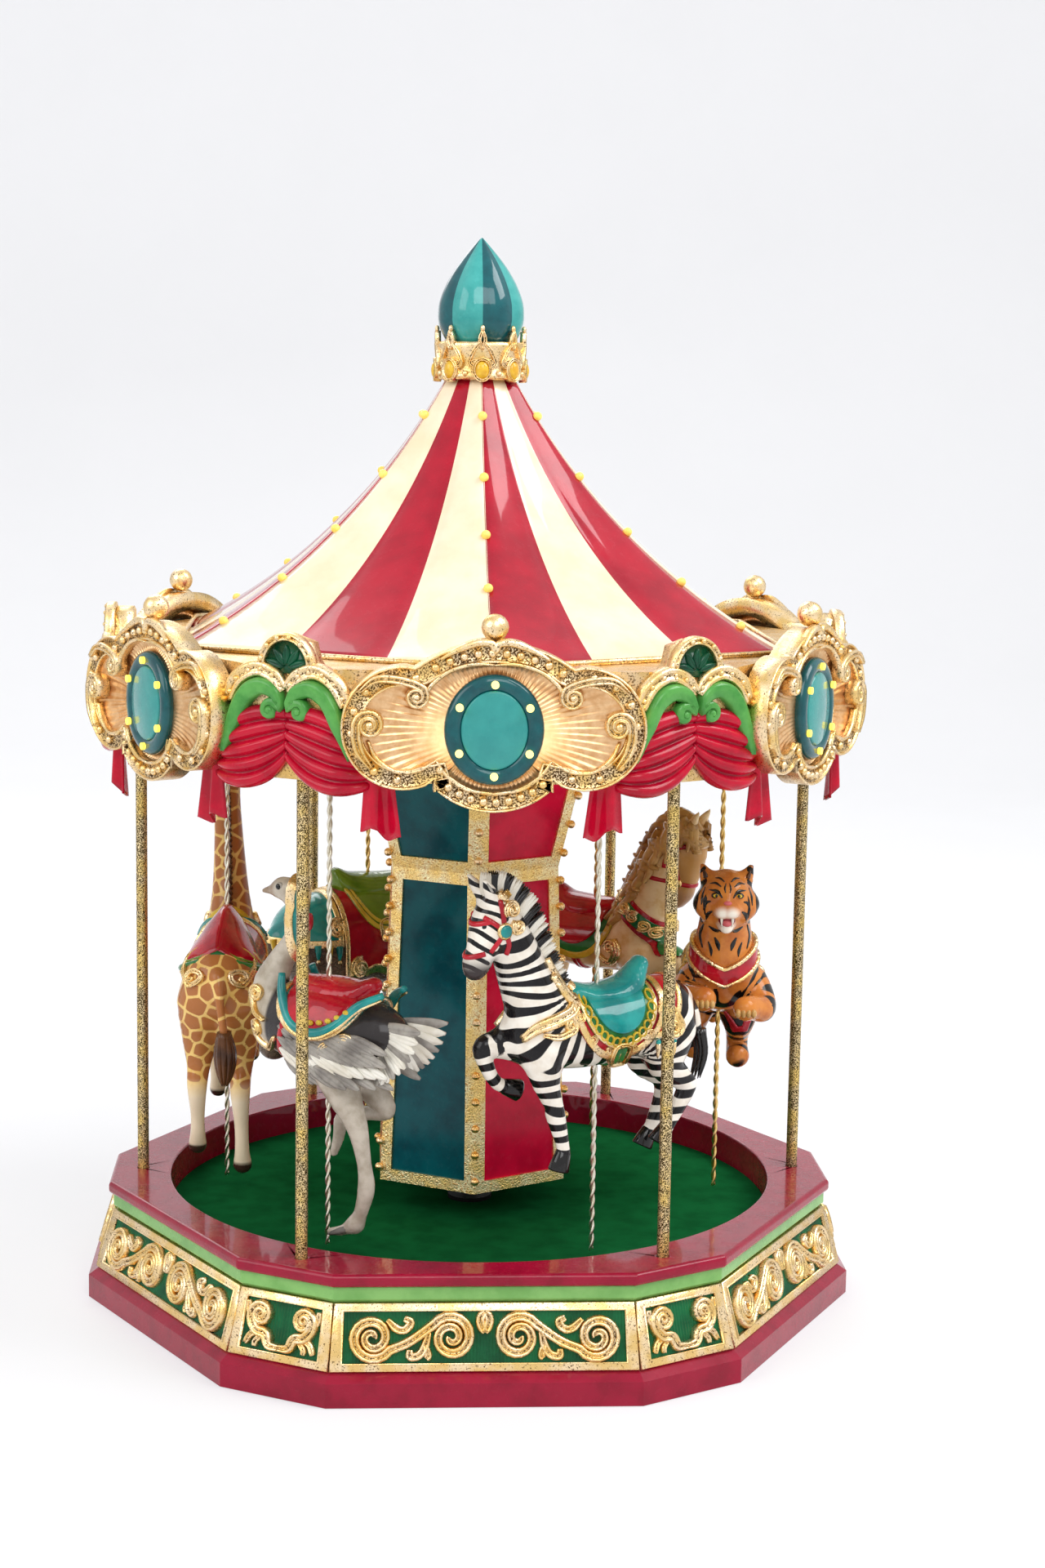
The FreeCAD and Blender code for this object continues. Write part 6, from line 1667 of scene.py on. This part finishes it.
for turn in whole_turn(10):
    root = np.array((-38 + 1.0 * cos(turn), -4 + 1.0 * sin(turn), 105))
    swing = np.array((2.0 * cos(turn), 2.0 * sin(turn), 0))
    lock = [root, root + swing + (0.4, -0.4, -8), root + 0.8 * swing + (0.8, -0.4, -15),
            root + (1, -0.2, -20.5)]
    giraffe.hair(lock, 1.7, BROWN)
for spot in curve([(27, 4, 192), (23.6, 3, 178), (20, 2, 160), (14, 1, 142)], 9):
    giraffe.hair([spot + (2.4, 0, -1), spot + (-0.6, 0, 0.6), spot + (-2.4, 0, 1.8)], 1.4, BROWN)
for side in (1, -1):
    giraffe.dot((38.4, 4 + 4.4 * side, 193.6), (1.2, 0.8, 1.2), BLACK)
skirt = giraffe.cloth(-2, 17.5, 137, 19, 112)
giraffe.patch(skirt, 1, GREEN)
giraffe.patch(skirt - 1.8, 1.8, RED)
giraffe.patch(np.minimum(skirt - 1.3, 2.3 - skirt), 2.2, GOLD)
giraffe.edging(skirt, 0.7, 1.8, YELLOW)
SADDLE_OUTLINE = [(-1, 0), (-0.76, 0.4), (-0.44, 0.72), (-0.14, 0.95), (0, 1), (0.14, 0.95), (0.44, 0.72),
                  (0.76, 0.4), (1, 0), (0.6, -0.1), (0, 0.2), (-0.6, -0.1)]
stations = curve([(10, 140.4, 6, 132), (5, 146, 10.5, 128.4), (-4, 146.4, 14, 125.4),
                  (-12, 142.8, 15.6, 124.6), (-19, 139, 14, 126.6), (-26, 134.4, 8, 129.6)], 4)
rings = []
for place, top, wide, low in stations:
    rings.append([(place, wide * u, low + (top - low) * v) for u, v in SADDLE_OUTLINE])
giraffe.tack.add(loft(rings), pot=RED)
one_side = [(place, wide, low) for place, top, wide, low in stations]
other_side = [(place, -wide, low) for place, wide, low in one_side[::-1]]
rear_edge = np.array(one_side + [(-25.6, 0, 133.4)] + other_side)
giraffe.tack.add(sweep(rear_edge + (0, 0, -0.8), 1.3, 9), pot=GREEN)
giraffe.tack.add(sweep(rear_edge + (-0.4, 0, -2.2), 0.8, 7), pot=GOLD)
giraffe.tack.add(sweep(rear_edge * (0.94, 0.94, 1) + (-1, 0, 1), 0.6, 7), pot=OLIVE)
giraffe.girth((-2, 0, 122), (1, 0, 0), 1.6, 0.8, RED, BAND_SECTION)
for side in (1, -1):
    for path in (crook([(-18, 128), (-25, 125), (-31, 121)], 5, (-30, 124.4), -90, -1.2, 3.2, 0.8),
                 crook([(15, 131), (22, 129), (27, 133)], 5, (24.6, 135.4), -30, 1.2, 3.2, 0.8)):
        giraffe.scroll(path, side, 1.2, 1.7)
    leaf = curve([(10, 139), (15, 135.4), (18.6, 130)], 5)
    giraffe.laid(leaf, side, taper(leaf, 2.8, 0.3, 0.2, 0.4), 2.2, TEAL, LEAF_SECTION)
mark = (two[:, 1] - two[:, 0]) - 1.0 - 8 * shins
giraffe.finish(giraffe_hide, "giraffe_paint", {"mark": mark, "dip": shins, "hoof": held(hoof)})

# Elephant: cast resin figure in wrinkled grey-brown, with a domed green saddle over a red cloth, a teal
# drape with tassels on its rump, ears and tusks.
ELEPHANT = [
    [(20, 0, 119, 18), (8, 0, 119.5, 20), (-8, 0, 119, 20.6), (-23, 0, 117.5, 19.4)],
    [(30, 0, 128, 14.6), (38, 0, 134, 12.6)],
    [(44, 0, 128, 8), (48, 0, 119, 6), (49.6, 0, 110, 4.8), (47.6, 0, 101, 4), (43, 0, 96, 3.2)],
    [(18, 9, 106, 10.4), (20, 9.5, 94, 8.2), (21.6, 9.5, 82, 7), (22, 9.5, 70, 7.4)],
    [(17, -9, 106, 10.4), (24, -9.4, 98, 8.4), (28, -9.5, 88, 6.8), (24, -9.5, 76, 6.9)],
    [(-21, 8.6, 106.5, 11.4), (-23, 9.2, 94, 8.6), (-29, 9.5, 83, 7), (-38, 9.5, 74, 6.8)],
    [(-20, -8.6, 106, 11.4), (-22, -9.2, 94, 8.6), (-22, -9.5, 81, 7), (-22, -9.5, 69, 7.4)],
    [(-41.5, 0, 121, 2.2), (-45, 0, 112, 1.7), (-45.4, 0, 103, 1.4)],
]
elephant = Figure("elephant", ELEPHANT, 5.0)
x, y, z = elephant.points.T


def wrinkles(tree):
    """Height of fine grain and folds in the hide."""
    fine = noise_at(tree, 900.0, 4.0, 0.7, (0.5, 0.5, 1.6))
    place = put(tree, "TexCoord").outputs["Object"]
    folds = put(tree, "TexVoronoi", {"Vector": place, "Scale": 420.0}, feature="DISTANCE_TO_EDGE").outputs[0]
    return reckon(tree, "ADD", fine, ramp(tree, folds, 0.0, 0.12))


elephant_hide = hide("Elephant paint", ((128, 112, 96), (98, 84, 72)), (74, 62, 54), (70, 60, 54),
                     (190, 176, 150), 0.6, (wrinkles, 0.35), 0.25)
for side in (1, -1):
    ear = []
    for turn in whole_turn(18):
        wide = 9.6 + 1.6 * cos(2 * turn)
        flap = (15.5 + 2.2 * cos(turn + 2.6)) * side
        ear.append((27 + 0.7 * wide * cos(turn), flap, 127 + wide * 1.15 * sin(turn)))
    ear = np.array(ear)
    middle = ear.mean(0)
    inner = (ear - middle) * 0.7 + middle
    out = np.array((0, side, 0))
    rings = [ear + 0.6 * out, inner + 2.0 * out, inner - 0.4 * out, ear - 0.6 * out]
    elephant.tack.add(loft(rings), pot=BROWN)
    elephant.hair([(42, 5.5 * side, 121), (48, 7.4 * side, 114.6), (55, 7.6 * side, 114)], 1.9, WHITE)
    elephant.dot((45, 8.6 * side, 136.6), (1.2, 0.9, 1.2), BLACK)
wavy_hem = (140 - z) / 34.0 + 0.05 * np.abs(np.sin(x * 0.34))
cover = CLOTH_SLOPE * (1 - np.maximum(np.abs(x + 1) / 18.5, wavy_hem))
rump = CLOTH_SLOPE * (1 - np.maximum(np.abs(x + 33) / 13, (136 - z) / 17))
elephant.patch(rump, 0.9, TEAL)
elephant.edging(rump, 1.4, 1.6, GOLD)
elephant.patch(cover, 1.1, RED)
elephant.edging(cover, 0.9, 1.9, GOLD)
seat = elephant.cloth(-1, 13, 142, 18, 112)
elephant.patch(seat, 2, OLIVE)
elephant.patch(np.minimum(seat - 1.2, 1.8 - seat), 2.7, YELLOW)
elephant.edging(seat, 0.8, 2.7, YELLOW)
elephant.lump([[(11, 0, 141.6, 3.6), (5, 0, 138.6, 6.6), (-5, 0, 138.4, 7.4), (-11, 0, 141, 5.6),
                (-14.4, 0, 145.4, 2.8)]], OLIVE, widen=1.5)
for side in (1, -1):
    for k in range(6):
        spot, normal = elephant.flank(-22 - 4.2 * k, 119.4 + 0.3 * k, side)
        top = spot + normal * 1.2
        thread = YELLOW if k % 2 else TEAL
        elephant.hair([top, top + (0, 0.5 * side, -3), top + (0, 0.2 * side, -6.4)], 1.7, thread)
        elephant.dot(top + (0, 0.4 * side, -6.6), (0.9, 0.9, 0.9), GOLD)
    for path in (spiral((12, 112), 100, -1.5, 4.4, 1), spiral((-13, 110), 80, 1.5, 4.6, 1),
                 spiral((21, 124), 140, -1.4, 4, 0.9),
                 curve([(14, 118), (18, 113), (17, 107)], 5), spiral((-22, 126), 40, 1.4, 3.6, 0.9)):
        elephant.scroll(path, side, 1.5, 2.4)
    frame_line = curve([(-3.6, 121), (3.2, 121), (3.2, 127.4), (-3.6, 127.4), (-3.6, 121)], 3)
    elephant.laid(frame_line, side, 0.8, 3.2, GOLD)
unmarked = {"mark": np.full(len(x), -1.0), "dip": np.zeros(len(x)), "hoof": held(66 - z)}
elephant.finish(elephant_hide, "elephant_paint", unmarked)

# Horse: cast resin palomino with a carved wavy mane, red bridle, a collar of gilded scrolls on green, a red
# saddle and a green blanket. Painted shade in a darker tan lies on the lower part of the head and down the
# lower legs.
HORSE = [
    [(21, 0, 121, 13.4), (9, 0, 120, 12.8), (-3, 0, 119.4, 12.4), (-15, 0, 120, 12.6),
     (-25, 0, 120.4, 12.8)],
    [(22, 0, 128, 12.2), (26, 0, 138, 11), (30.4, 0, 150, 9.6), (36, 0, 161.4, 8.2)],
    [(40, 0, 166, 7), (44.4, 0, 161.4, 6.4), (43.6, 0, 152, 4.8), (40.2, 0, 143.6, 4.3)],
    [(40.4, 0, 143.6, 4.1), (38.6, 0, 140, 3.4)],
    *pair([(41.4, 3.4, 158, 4), (42, 2.6, 153, 3.2)]),
    *pair([(44.6, 3.4, 170, 2), (47, 4.4, 173.4, 1.9), (49.4, 4.8, 177, 0.7)]),
    [(25, -7, 114, 8), (35, -7.6, 115.6, 6), (42, -8, 116, 4.3), (47.4, -8, 110.4, 2.8), (51, -8, 106, 2.8),
     (53, -8, 100.5, 3.3)],
    [(24, 7, 113, 8), (31, 7.4, 107, 6), (36, 7.5, 102, 4.3), (32.4, 7.5, 93.6, 2.8), (31.4, 7.5, 88, 2.8),
     (33, 7.5, 82.6, 3.3)],
    [(-25, 6, 114, 10.2), (-25, 6.5, 102, 6.6), (-33, 6.5, 95, 4.2), (-36, 6.5, 91, 3.5),
     (-34.4, 6.5, 81, 2.6), (-31, 6.5, 73, 3.3)],
    [(-25, -6, 114, 10.2), (-24, -6.5, 101, 6.6), (-31, -6.5, 94, 4.2), (-34, -6.5, 89.6, 3.5),
     (-30.6, -6.5, 79, 2.6), (-27, -6.5, 71, 3.3)],
]
horse = Figure("horse", HORSE)
x, y, z = horse.points.T
horse_hide = hide("Horse paint", ((240, 214, 166), (216, 172, 108)), (190, 140, 78), (170, 128, 92),
                  (74, 56, 44), 0.8)
hoof = held(73 - z) * (x < 0) + held(101.5 - z) * (x > 48)
hoof = hoof + held(83.6 - z) * (x > 20) * (y > 0)
crest = curve([(45.4, 0, 170.4), (40, 0, 172.6), (33, 0, 168), (26.6, 0, 158), (21, 0, 146), (16, 0, 135)],
              7)
for number, spot in enumerate(crest[::3]):
    share = 3 * number / len(crest)
    fall = np.array((1.0 - 1.6 * share, -0.8))
    for side in (1, -1):
        for step_in, wide in ((-1, 2.3), (2.6, 2)):
            start = spot[[0, 2]] + step_in * np.array((0.75, -0.5))
            sway = 1.9 * np.array((0.8, 0.6)) * (-1) ** number
            bends = [start + 3.4 * fall + sway, start + 7.0 * fall - sway, start + 11.0 * fall + 0.6 * sway]
            path = curve([start, *bends], 5)
            horse.laid(path, side, taper(path, wide, 0.7, 0.3, 0.35), 2.6, TAN, ROUND_SECTION)
    horse.hair([spot + (2, 0, -2), spot + (-1.6, 0, 3.4 - 2 * share), spot + (-4.8, 0, 3.4 - 4 * share),
                spot + (-7, 0, 0.4 - 4 * share),
                 spot + (-9.4, 0, 1.0 - 4 * share)], 2.7, TAN)
for turn in whole_turn(9):
    swing = np.array((1.8 * cos(turn), 1.8 * sin(turn), 0))
    horse.hair([(-35, 0, 127) + 0.5 * swing, (-42, swing[1], 124), (-46, 0, 113) + swing,
                (-43, 0, 101) + 1.3 * swing,
                (-46, 0, 94) + swing], 2, TAN)
for side in (1, -1):
    horse.dot((46.4, 4.6 * side, 161), (2, 1.3, 1.7), BLACK)
    horse.dot((41.6, 2.7 * side, 140.6), (0.9, 0.8, 1), BROWN)
    horse.stud(40.4, 162, side, 0.6, (2.6, 1.2, 2.6), GOLD)
    horse.stud(41.2, 147.6, side, 0.5, (1.7, 1, 1.7), GOLD)
    for path in ([(40.4, 162), (41, 155), (41.2, 147.6)], [(40.4, 162), (44, 163), (47.6, 163.4)],
                 [(40.4, 162), (41.4, 167), (43, 171)],
                 [(40.4, 162), (37, 158), (36, 154)]):
        horse.laid(curve(path, 4), side, 0.95, 0.7, RED, ROUND_SECTION)
horse.girth((41.6, 0, 147.4), (0.2, 0, 1), 0.95, 0.7, RED)
collar = 3.4 - np.abs((x - 24.5) * 0.62 + (z - 133) * 0.78) - OFF_CLOTH * ((x < 8) | (z < 118))
horse.patch(collar + 1, 0.9, RED)
horse.patch(collar - 0.6, 1.5, GREEN)
for side in (1, -1):
    for k in range(5):
        centre = (17.0 + 3.8 * k, 139.0 - 3.1 * k)
        path = spiral(centre, 40 + 180 * (k % 2), 1.3, 2.5, 0.6)
        horse.laid(path, side, taper(path, 1, 0.7, 0.8), 2.6, GOLD)
    for path in (crook([(8, 117), (13, 113), (17, 117)], 5, (14.4, 119.4), -30, 1.2, 2.8, 0.7),
                 curve([(14, 112), (19, 117), (17, 123)], 5)):
        horse.laid(path, side, taper(path, 1.3, 0.4, 0.6), 1.8, GOLD)
blanket = horse.cloth(-3.5, 19, 134, 21, 110)
horse.patch(blanket, 0.9, GREEN)
horse.edging(blanket, 1, 1.5, YELLOW)
seat = horse.cloth(-3.5, 13.5, 134, 15, 112)
horse.patch(seat, 2, RED)
horse.lump([[(9, 0, 133.6, 4), (3, 0, 131.8, 5.6), (-7, 0, 131.6, 6.2), (-13, 0, 133.6, 5),
             (-16.6, 0, 138.4, 2.6)]], RED, widen=1.45)
horse.girth((-3.5, 0, 119), (1, 0, 0), 2, 0.9, RED, BAND_SECTION)
# Painted shade: darker tan on the lower part of the head and on the lower legs, growing towards the bottom.
shade = np.clip((168 - z) / 12, -1, 0.5) - 2.0 * (x < 38) - 2.0 * (z < 136)
mark = np.maximum(np.clip((100 - z) / 20, -1, 0.4), shade)
muzzle = held((146 - z) / 4) * (x > 36) * (z > 134)
horse.finish(horse_hide, "horse_paint", {"mark": mark, "dip": muzzle, "hoof": held(hoof)})

# Tiger: cast resin figure in orange with black stripes, a white muzzle and open jaws, a red collar edged in
# gold, and a red saddle over a green blanket.
TIGER = [
    [(23, 0, 128, 13.4), (12, 0, 124.4, 13), (0, 0, 122, 12.8), (-12, 0, 121.4, 12.6), (-24, 0, 121, 12.4)],
    [(27, 0, 135, 12.2), (30, 0, 145, 10.2), (34, 0, 155, 8.8)],
    [(36.2, 0, 161, 9.6), (39.2, 0, 161, 8.8)],
    *pair([(38, 6.7, 157.9, 5.6), (39.6, 6.2, 156.2, 4.5)]),
    [(42.2, 0, 162.3, 4), (46.6, 0, 159.8, 2.7)],
    *pair([(43, 2.1, 157.1, 3.5), (47.1, 2.05, 156.9, 2.8)]),
    [(39.8, 0, 152.1, 4.1), (44.5, 0, 150.6, 2.6)],
    *pair([(35.4, 7.1, 167.4, 2.9), (35, 9, 171.6, 1)]),
    [(23, 10, 124, 8), (28, 13.6, 120, 6.2), (33, 14.4, 117.6, 5.2), (38.6, 10.6, 119, 4.6),
     (42, 8, 119.4, 4.6)],
    [(23, -10, 124, 8), (28, -13, 121.6, 6.2), (33, -12.6, 121.4, 5.2), (38, -9.4, 122.6, 4.4),
     (41.4, -7.4, 122.6, 4.6)],
    [(-15, 8, 111, 10), (-8, 8.5, 104, 6.6), (-13, 8.5, 97, 4.6), (-13.4, 8.5, 92, 4.2), (-8, 8.5, 89, 4.6)],
    [(-17, -8, 111, 10), (-12, -8.5, 105, 6.6), (-17, -8.5, 98, 4.6), (-18, -8.5, 94, 4.2),
     (-13, -8.5, 91, 4.6)],
    [(-34, 0, 123, 2.8), (-39, 0, 113, 2.6), (-39.4, 0, 103, 2.5), (-38, 0, 97, 2.3)],
]
tiger = Figure("tiger", TIGER, 2.4)
x, y, z = tiger.points.T
breaks = 0.55 * np.sin(y * 0.52 + 1) * np.sin(z * 0.37 + x * 0.11) + 0.25 * np.sin(x * 0.9 - z * 0.7)
phase = tiger.along([(7, 0), (6, 0.3), (5.5, 0.1)] + [(None, 0)] * 8
                    + [(6.5, 0.3), (6.5, 0.3), (6, 0.5), (6, 0.5), (5, 0)])
cheeks = np.sin(2 * np.pi * (np.hypot(y, z - 158) / 3.6)) - 0.3 + breaks
face = (x > 36) & (z > 148)
mark = np.where(face, np.where(np.abs(y) > 7.4, cheeks, -1), np.sin(2 * np.pi * phase) - 0.45 + breaks)
mark = np.where((x > 31) & (z < 150) & ((z > 132) | (x > 36)), -1, mark)
lips = held(1.5 - np.hypot(np.abs(y) - 1.9, (z - 156.2) * 1.1) / 2.2) * (x > 42.5)
white = lips + held(1.7 - np.hypot(y, z - 150.2) / 2.5) * (x > 42.5)
tiger_hide = hide("Tiger paint", ((208, 130, 58), (182, 102, 44)), (22, 18, 16), (244, 234, 218),
                  (40, 32, 28), 0.22)
tiger.dot((45.5, 0, 153.6), (2.5, 3.3, 2.9), MOUTH)
tiger.dot((46.7, 0, 152.4), (2.1, 2.1, 1.4), PINK)
tiger.dot((49.1, 0, 160.2), (1, 1.6, 0.9), PINK)
for side in (1, -1):
    tiger.hair([(47.4, 2.1 * side, 155.1), (47.8, 2.0 * side, 153.3), (47.6, 1.9 * side, 151.4)], 0.65,
               WHITE)
    tiger.hair([(45.9, 1.7 * side, 151.1), (46.4, 1.7 * side, 152.1), (46.6, 1.6 * side, 153.3)], 0.55,
               WHITE)
    tiger.hair([(38.2, 7.6 * side, 167.6), (37.8, 8.2 * side, 169.2), (36.9, 8.8 * side, 170.6)], 1, BROWN)
    spots, normals = tiger.touch([(60, 4.3 * side, 162.6)], [(-1, 0, 0)])
    tiger.dot(spots[0] - (0.2, 0, 0), (0.8, 1.8, 1.2), BLACK)
    tiger.dot(spots[0] + (0.4, 0, 0), (0.6, 1.1, 0.7), YELLOW)
    tiger.dot(spots[0] + (0.8, -0.2 * side, 0), (0.5, 0.55, 0.6), BLACK)
    for path, width in (([(2, 162), (3.8, 164.2), (6.7, 164.2)], 0.6),
                        ([(2.4, 165.8), (4.4, 166.8), (6.4, 166.2)], 0.5),
                        ([(1.2, 167.4), (2.8, 168.4), (4.4, 168.2)], 0.5),
                        ([(6, 160.2), (7.6, 159.4), (8.6, 156.6)], 0.6),
                        ([(5.4, 156.6), (7, 155), (7.4, 152.6)], 0.75),
                        ([(8, 164.6), (9, 161.6), (9.3, 158.4)], 0.6),
                        ([(0.8, 163.8), (1.1, 165.4), (0.6, 167)], 0.35),
                        ([(8, 150), (9.2, 145.4), (8.2, 140.8)], 1),
                        ([(6.2, 149.6), (3.8, 148.4), (1.8, 148.8)], 0.9),
                        ([(4, 145.6), (2.8, 143), (2.2, 140.6)], 0.9),
                        ([(6.2, 143.6), (5.2, 140.6), (5, 138.2)], 0.7)):
        line = curve(path, 4)
        spots, normals = tiger.touch([(60, u * side, v) for u, v in line], [(-1, 0, 0)] * len(line))
        tiger.strap(spots, normals, taper(line, width, 0.4, 0.3, 0.4), 0.25, BLACK)
    for toe in range(4):
        across, height = (8, 118.4) if side > 0 else (-7.4, 121.6)
        tiger.dot((45.6, across + 1.9 * (toe - 1.5), height), (1.9, 1.15, 1.7), TAN)
    for path in (spiral((16, 128), 60, 1.4, 3.4, 0.8),
                 crook([(-14, 128), (-20, 124), (-26, 125)], 5, (-24.4, 128), -80, -1.2, 3, 0.8)):
        tiger.scroll(path, side, 1.3, 1.8)
off_neck = (x < 6) | (z > 156) | (z < 125) | ((z < 128.4) & (np.abs(y) > 3))
collar = 3.0 - np.abs((x - 27) * 0.36 + (z - 134.6) * 0.92 - 0.42 * np.abs(y)) - OFF_CLOTH * off_neck
tiger.patch(collar, 1.2, RED)
tiger.patch(np.minimum(collar + 0.9, 0.2 - collar), 1.9, GOLD)
blanket = tiger.cloth(-2.5, 15.5, 134, 19, 114)
tiger.patch(blanket, 1, GREEN)
tiger.edging(blanket, 1.2, 1.7, GOLD)
tiger.lump([[(8.5, 0, 134.4, 4), (3, 0, 132.6, 5.6), (-7, 0, 132.4, 6.2), (-12, 0, 134, 5),
             (-15, 0, 138, 2.8)]], RED, widen=1.45)
tiger.girth((-2.5, 0, 122), (1, 0, 0), 1.8, 0.9, RED, BAND_SECTION)
tiger.finish(tiger_hide, "tiger_paint", {"mark": mark, "dip": held(white), "hoof": np.zeros(len(x))})

# Stage: pale seamless paper backdrop, white surround and four softboxes, with the camera at the
# photographed view. None of it belongs to the part.
BACKDROP_HALF = 3.0
BACKDROP_FRONT = -2.6
BACKDROP_BEND = 1.3
BACKDROP_TOP = 3.2
BEND_R = 0.7
CAMERA_PLACE = (-0.04572, -1.00627, 0.34458)
CAMERA_AHEAD = (0.06276, 0.98722, -0.14647)
CAMERA_UP = (-0.00636, 0.14715, 0.98909)
CAMERA_LENS = 61.213
SOFTBOXES = [("key", (0.95, -0.25, 1.35), 0.8, 15.0), ("fill", (-1.2, -0.7, 1.0), 1.0, 9.0),
             ("front", (0.3, -1.6, 1.5), 1.0, 13.0), ("back", (-0.3, 1.2, 1.2), 1.0, 8.0)]

profile = [(BACKDROP_FRONT, 0.0), (-0.6, 0.0), (0.6, 0.0)]
profile += [(BACKDROP_BEND + BEND_R * sin(t), BEND_R - BEND_R * cos(t)) for t in np.linspace(0, pi / 2, 16)]
profile.append((BACKDROP_BEND + BEND_R, BACKDROP_TOP))
ground = cad_low[2] - 0.0002
spots = [(side * BACKDROP_HALF, y, ground + z) for y, z in profile for side in (-1, 1)]
sheet = bpy.data.meshes.new("backdrop")
sheet.from_pydata(spots, [], [(2 * i, 2 * i + 1, 2 * i + 3, 2 * i + 2) for i in range(len(profile) - 1)])
sheet.shade_smooth()


def backdrop_paper():
    """Pale paper that the camera sees nearly white, while it still takes the object's shadow."""
    made = material("Pale paper", drifting(6.0, (246, 246, 248), (243, 243, 245)), 0.7)
    tree = made.node_tree
    ray = put(tree, "LightPath").outputs
    seen = reckon(tree, "MAXIMUM", ray["Is Camera Ray"], ray["Is Glossy Ray"])
    share = reckon(tree, "MULTIPLY", seen, 0.55)
    bright = put(tree, "Emission", {"Color": (0.93, 0.93, 0.94, 1), "Strength": 1.0}).outputs[0]
    both = put(tree, "MixShader", {0: share, 1: tree.nodes["Principled BSDF"].outputs[0],
                                   2: bright}).outputs[0]
    tree.links.new(both, tree.nodes["Material Output"].inputs[0])
    return made


sheet.materials.append(backdrop_paper())
backdrop = bpy.data.objects.new("backdrop", sheet)
scene.collection.objects.link(backdrop)
backdrop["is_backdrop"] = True

world = bpy.data.worlds.new("Studio")
scene.world = world
world.use_nodes = True
tree = world.node_tree
tree.nodes.clear()
ray = put(tree, "LightPath").outputs
seen = reckon(tree, "MAXIMUM", ray["Is Camera Ray"], ray["Is Transmission Ray"])
seen = reckon(tree, "MAXIMUM", seen, ray["Is Glossy Ray"])
soft = put(tree, "Background", {"Color": rgb(236, 238, 242), "Strength": 0.6})
white = put(tree, "Background", {"Color": (0.95, 0.95, 0.96, 1), "Strength": 1.0})
mixed = put(tree, "MixShader", {0: seen, 1: soft.outputs[0], 2: white.outputs[0]})
put(tree, "OutputWorld", {0: mixed.outputs[0]})

for name, place, size, power in SOFTBOXES:
    lamp = bpy.data.lights.new("softbox_" + name, "AREA")
    lamp.size = size
    lamp.energy = power
    box = bpy.data.objects.new("softbox_" + name, lamp)
    box.location = place
    aim = Vector((0, 0, 0.2)) - Vector(place)
    box.rotation_euler = aim.to_track_quat("-Z", "Y").to_euler()
    scene.collection.objects.link(box)

camera = bpy.data.objects.new("camera", bpy.data.cameras.new("camera"))
camera.data.lens = CAMERA_LENS
camera.data.sensor_width = 36.0
camera.data.sensor_fit = "AUTO"
camera.data.clip_start = 0.01
back = -Vector(CAMERA_AHEAD)
up = Vector(CAMERA_UP)
turned = Matrix((up.cross(back), up, back)).transposed().to_4x4()
camera.matrix_world = Matrix.Translation(CAMERA_PLACE) @ turned
scene.collection.objects.link(camera)
scene.camera = camera
scene.view_settings.view_transform = "Standard"

low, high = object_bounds()
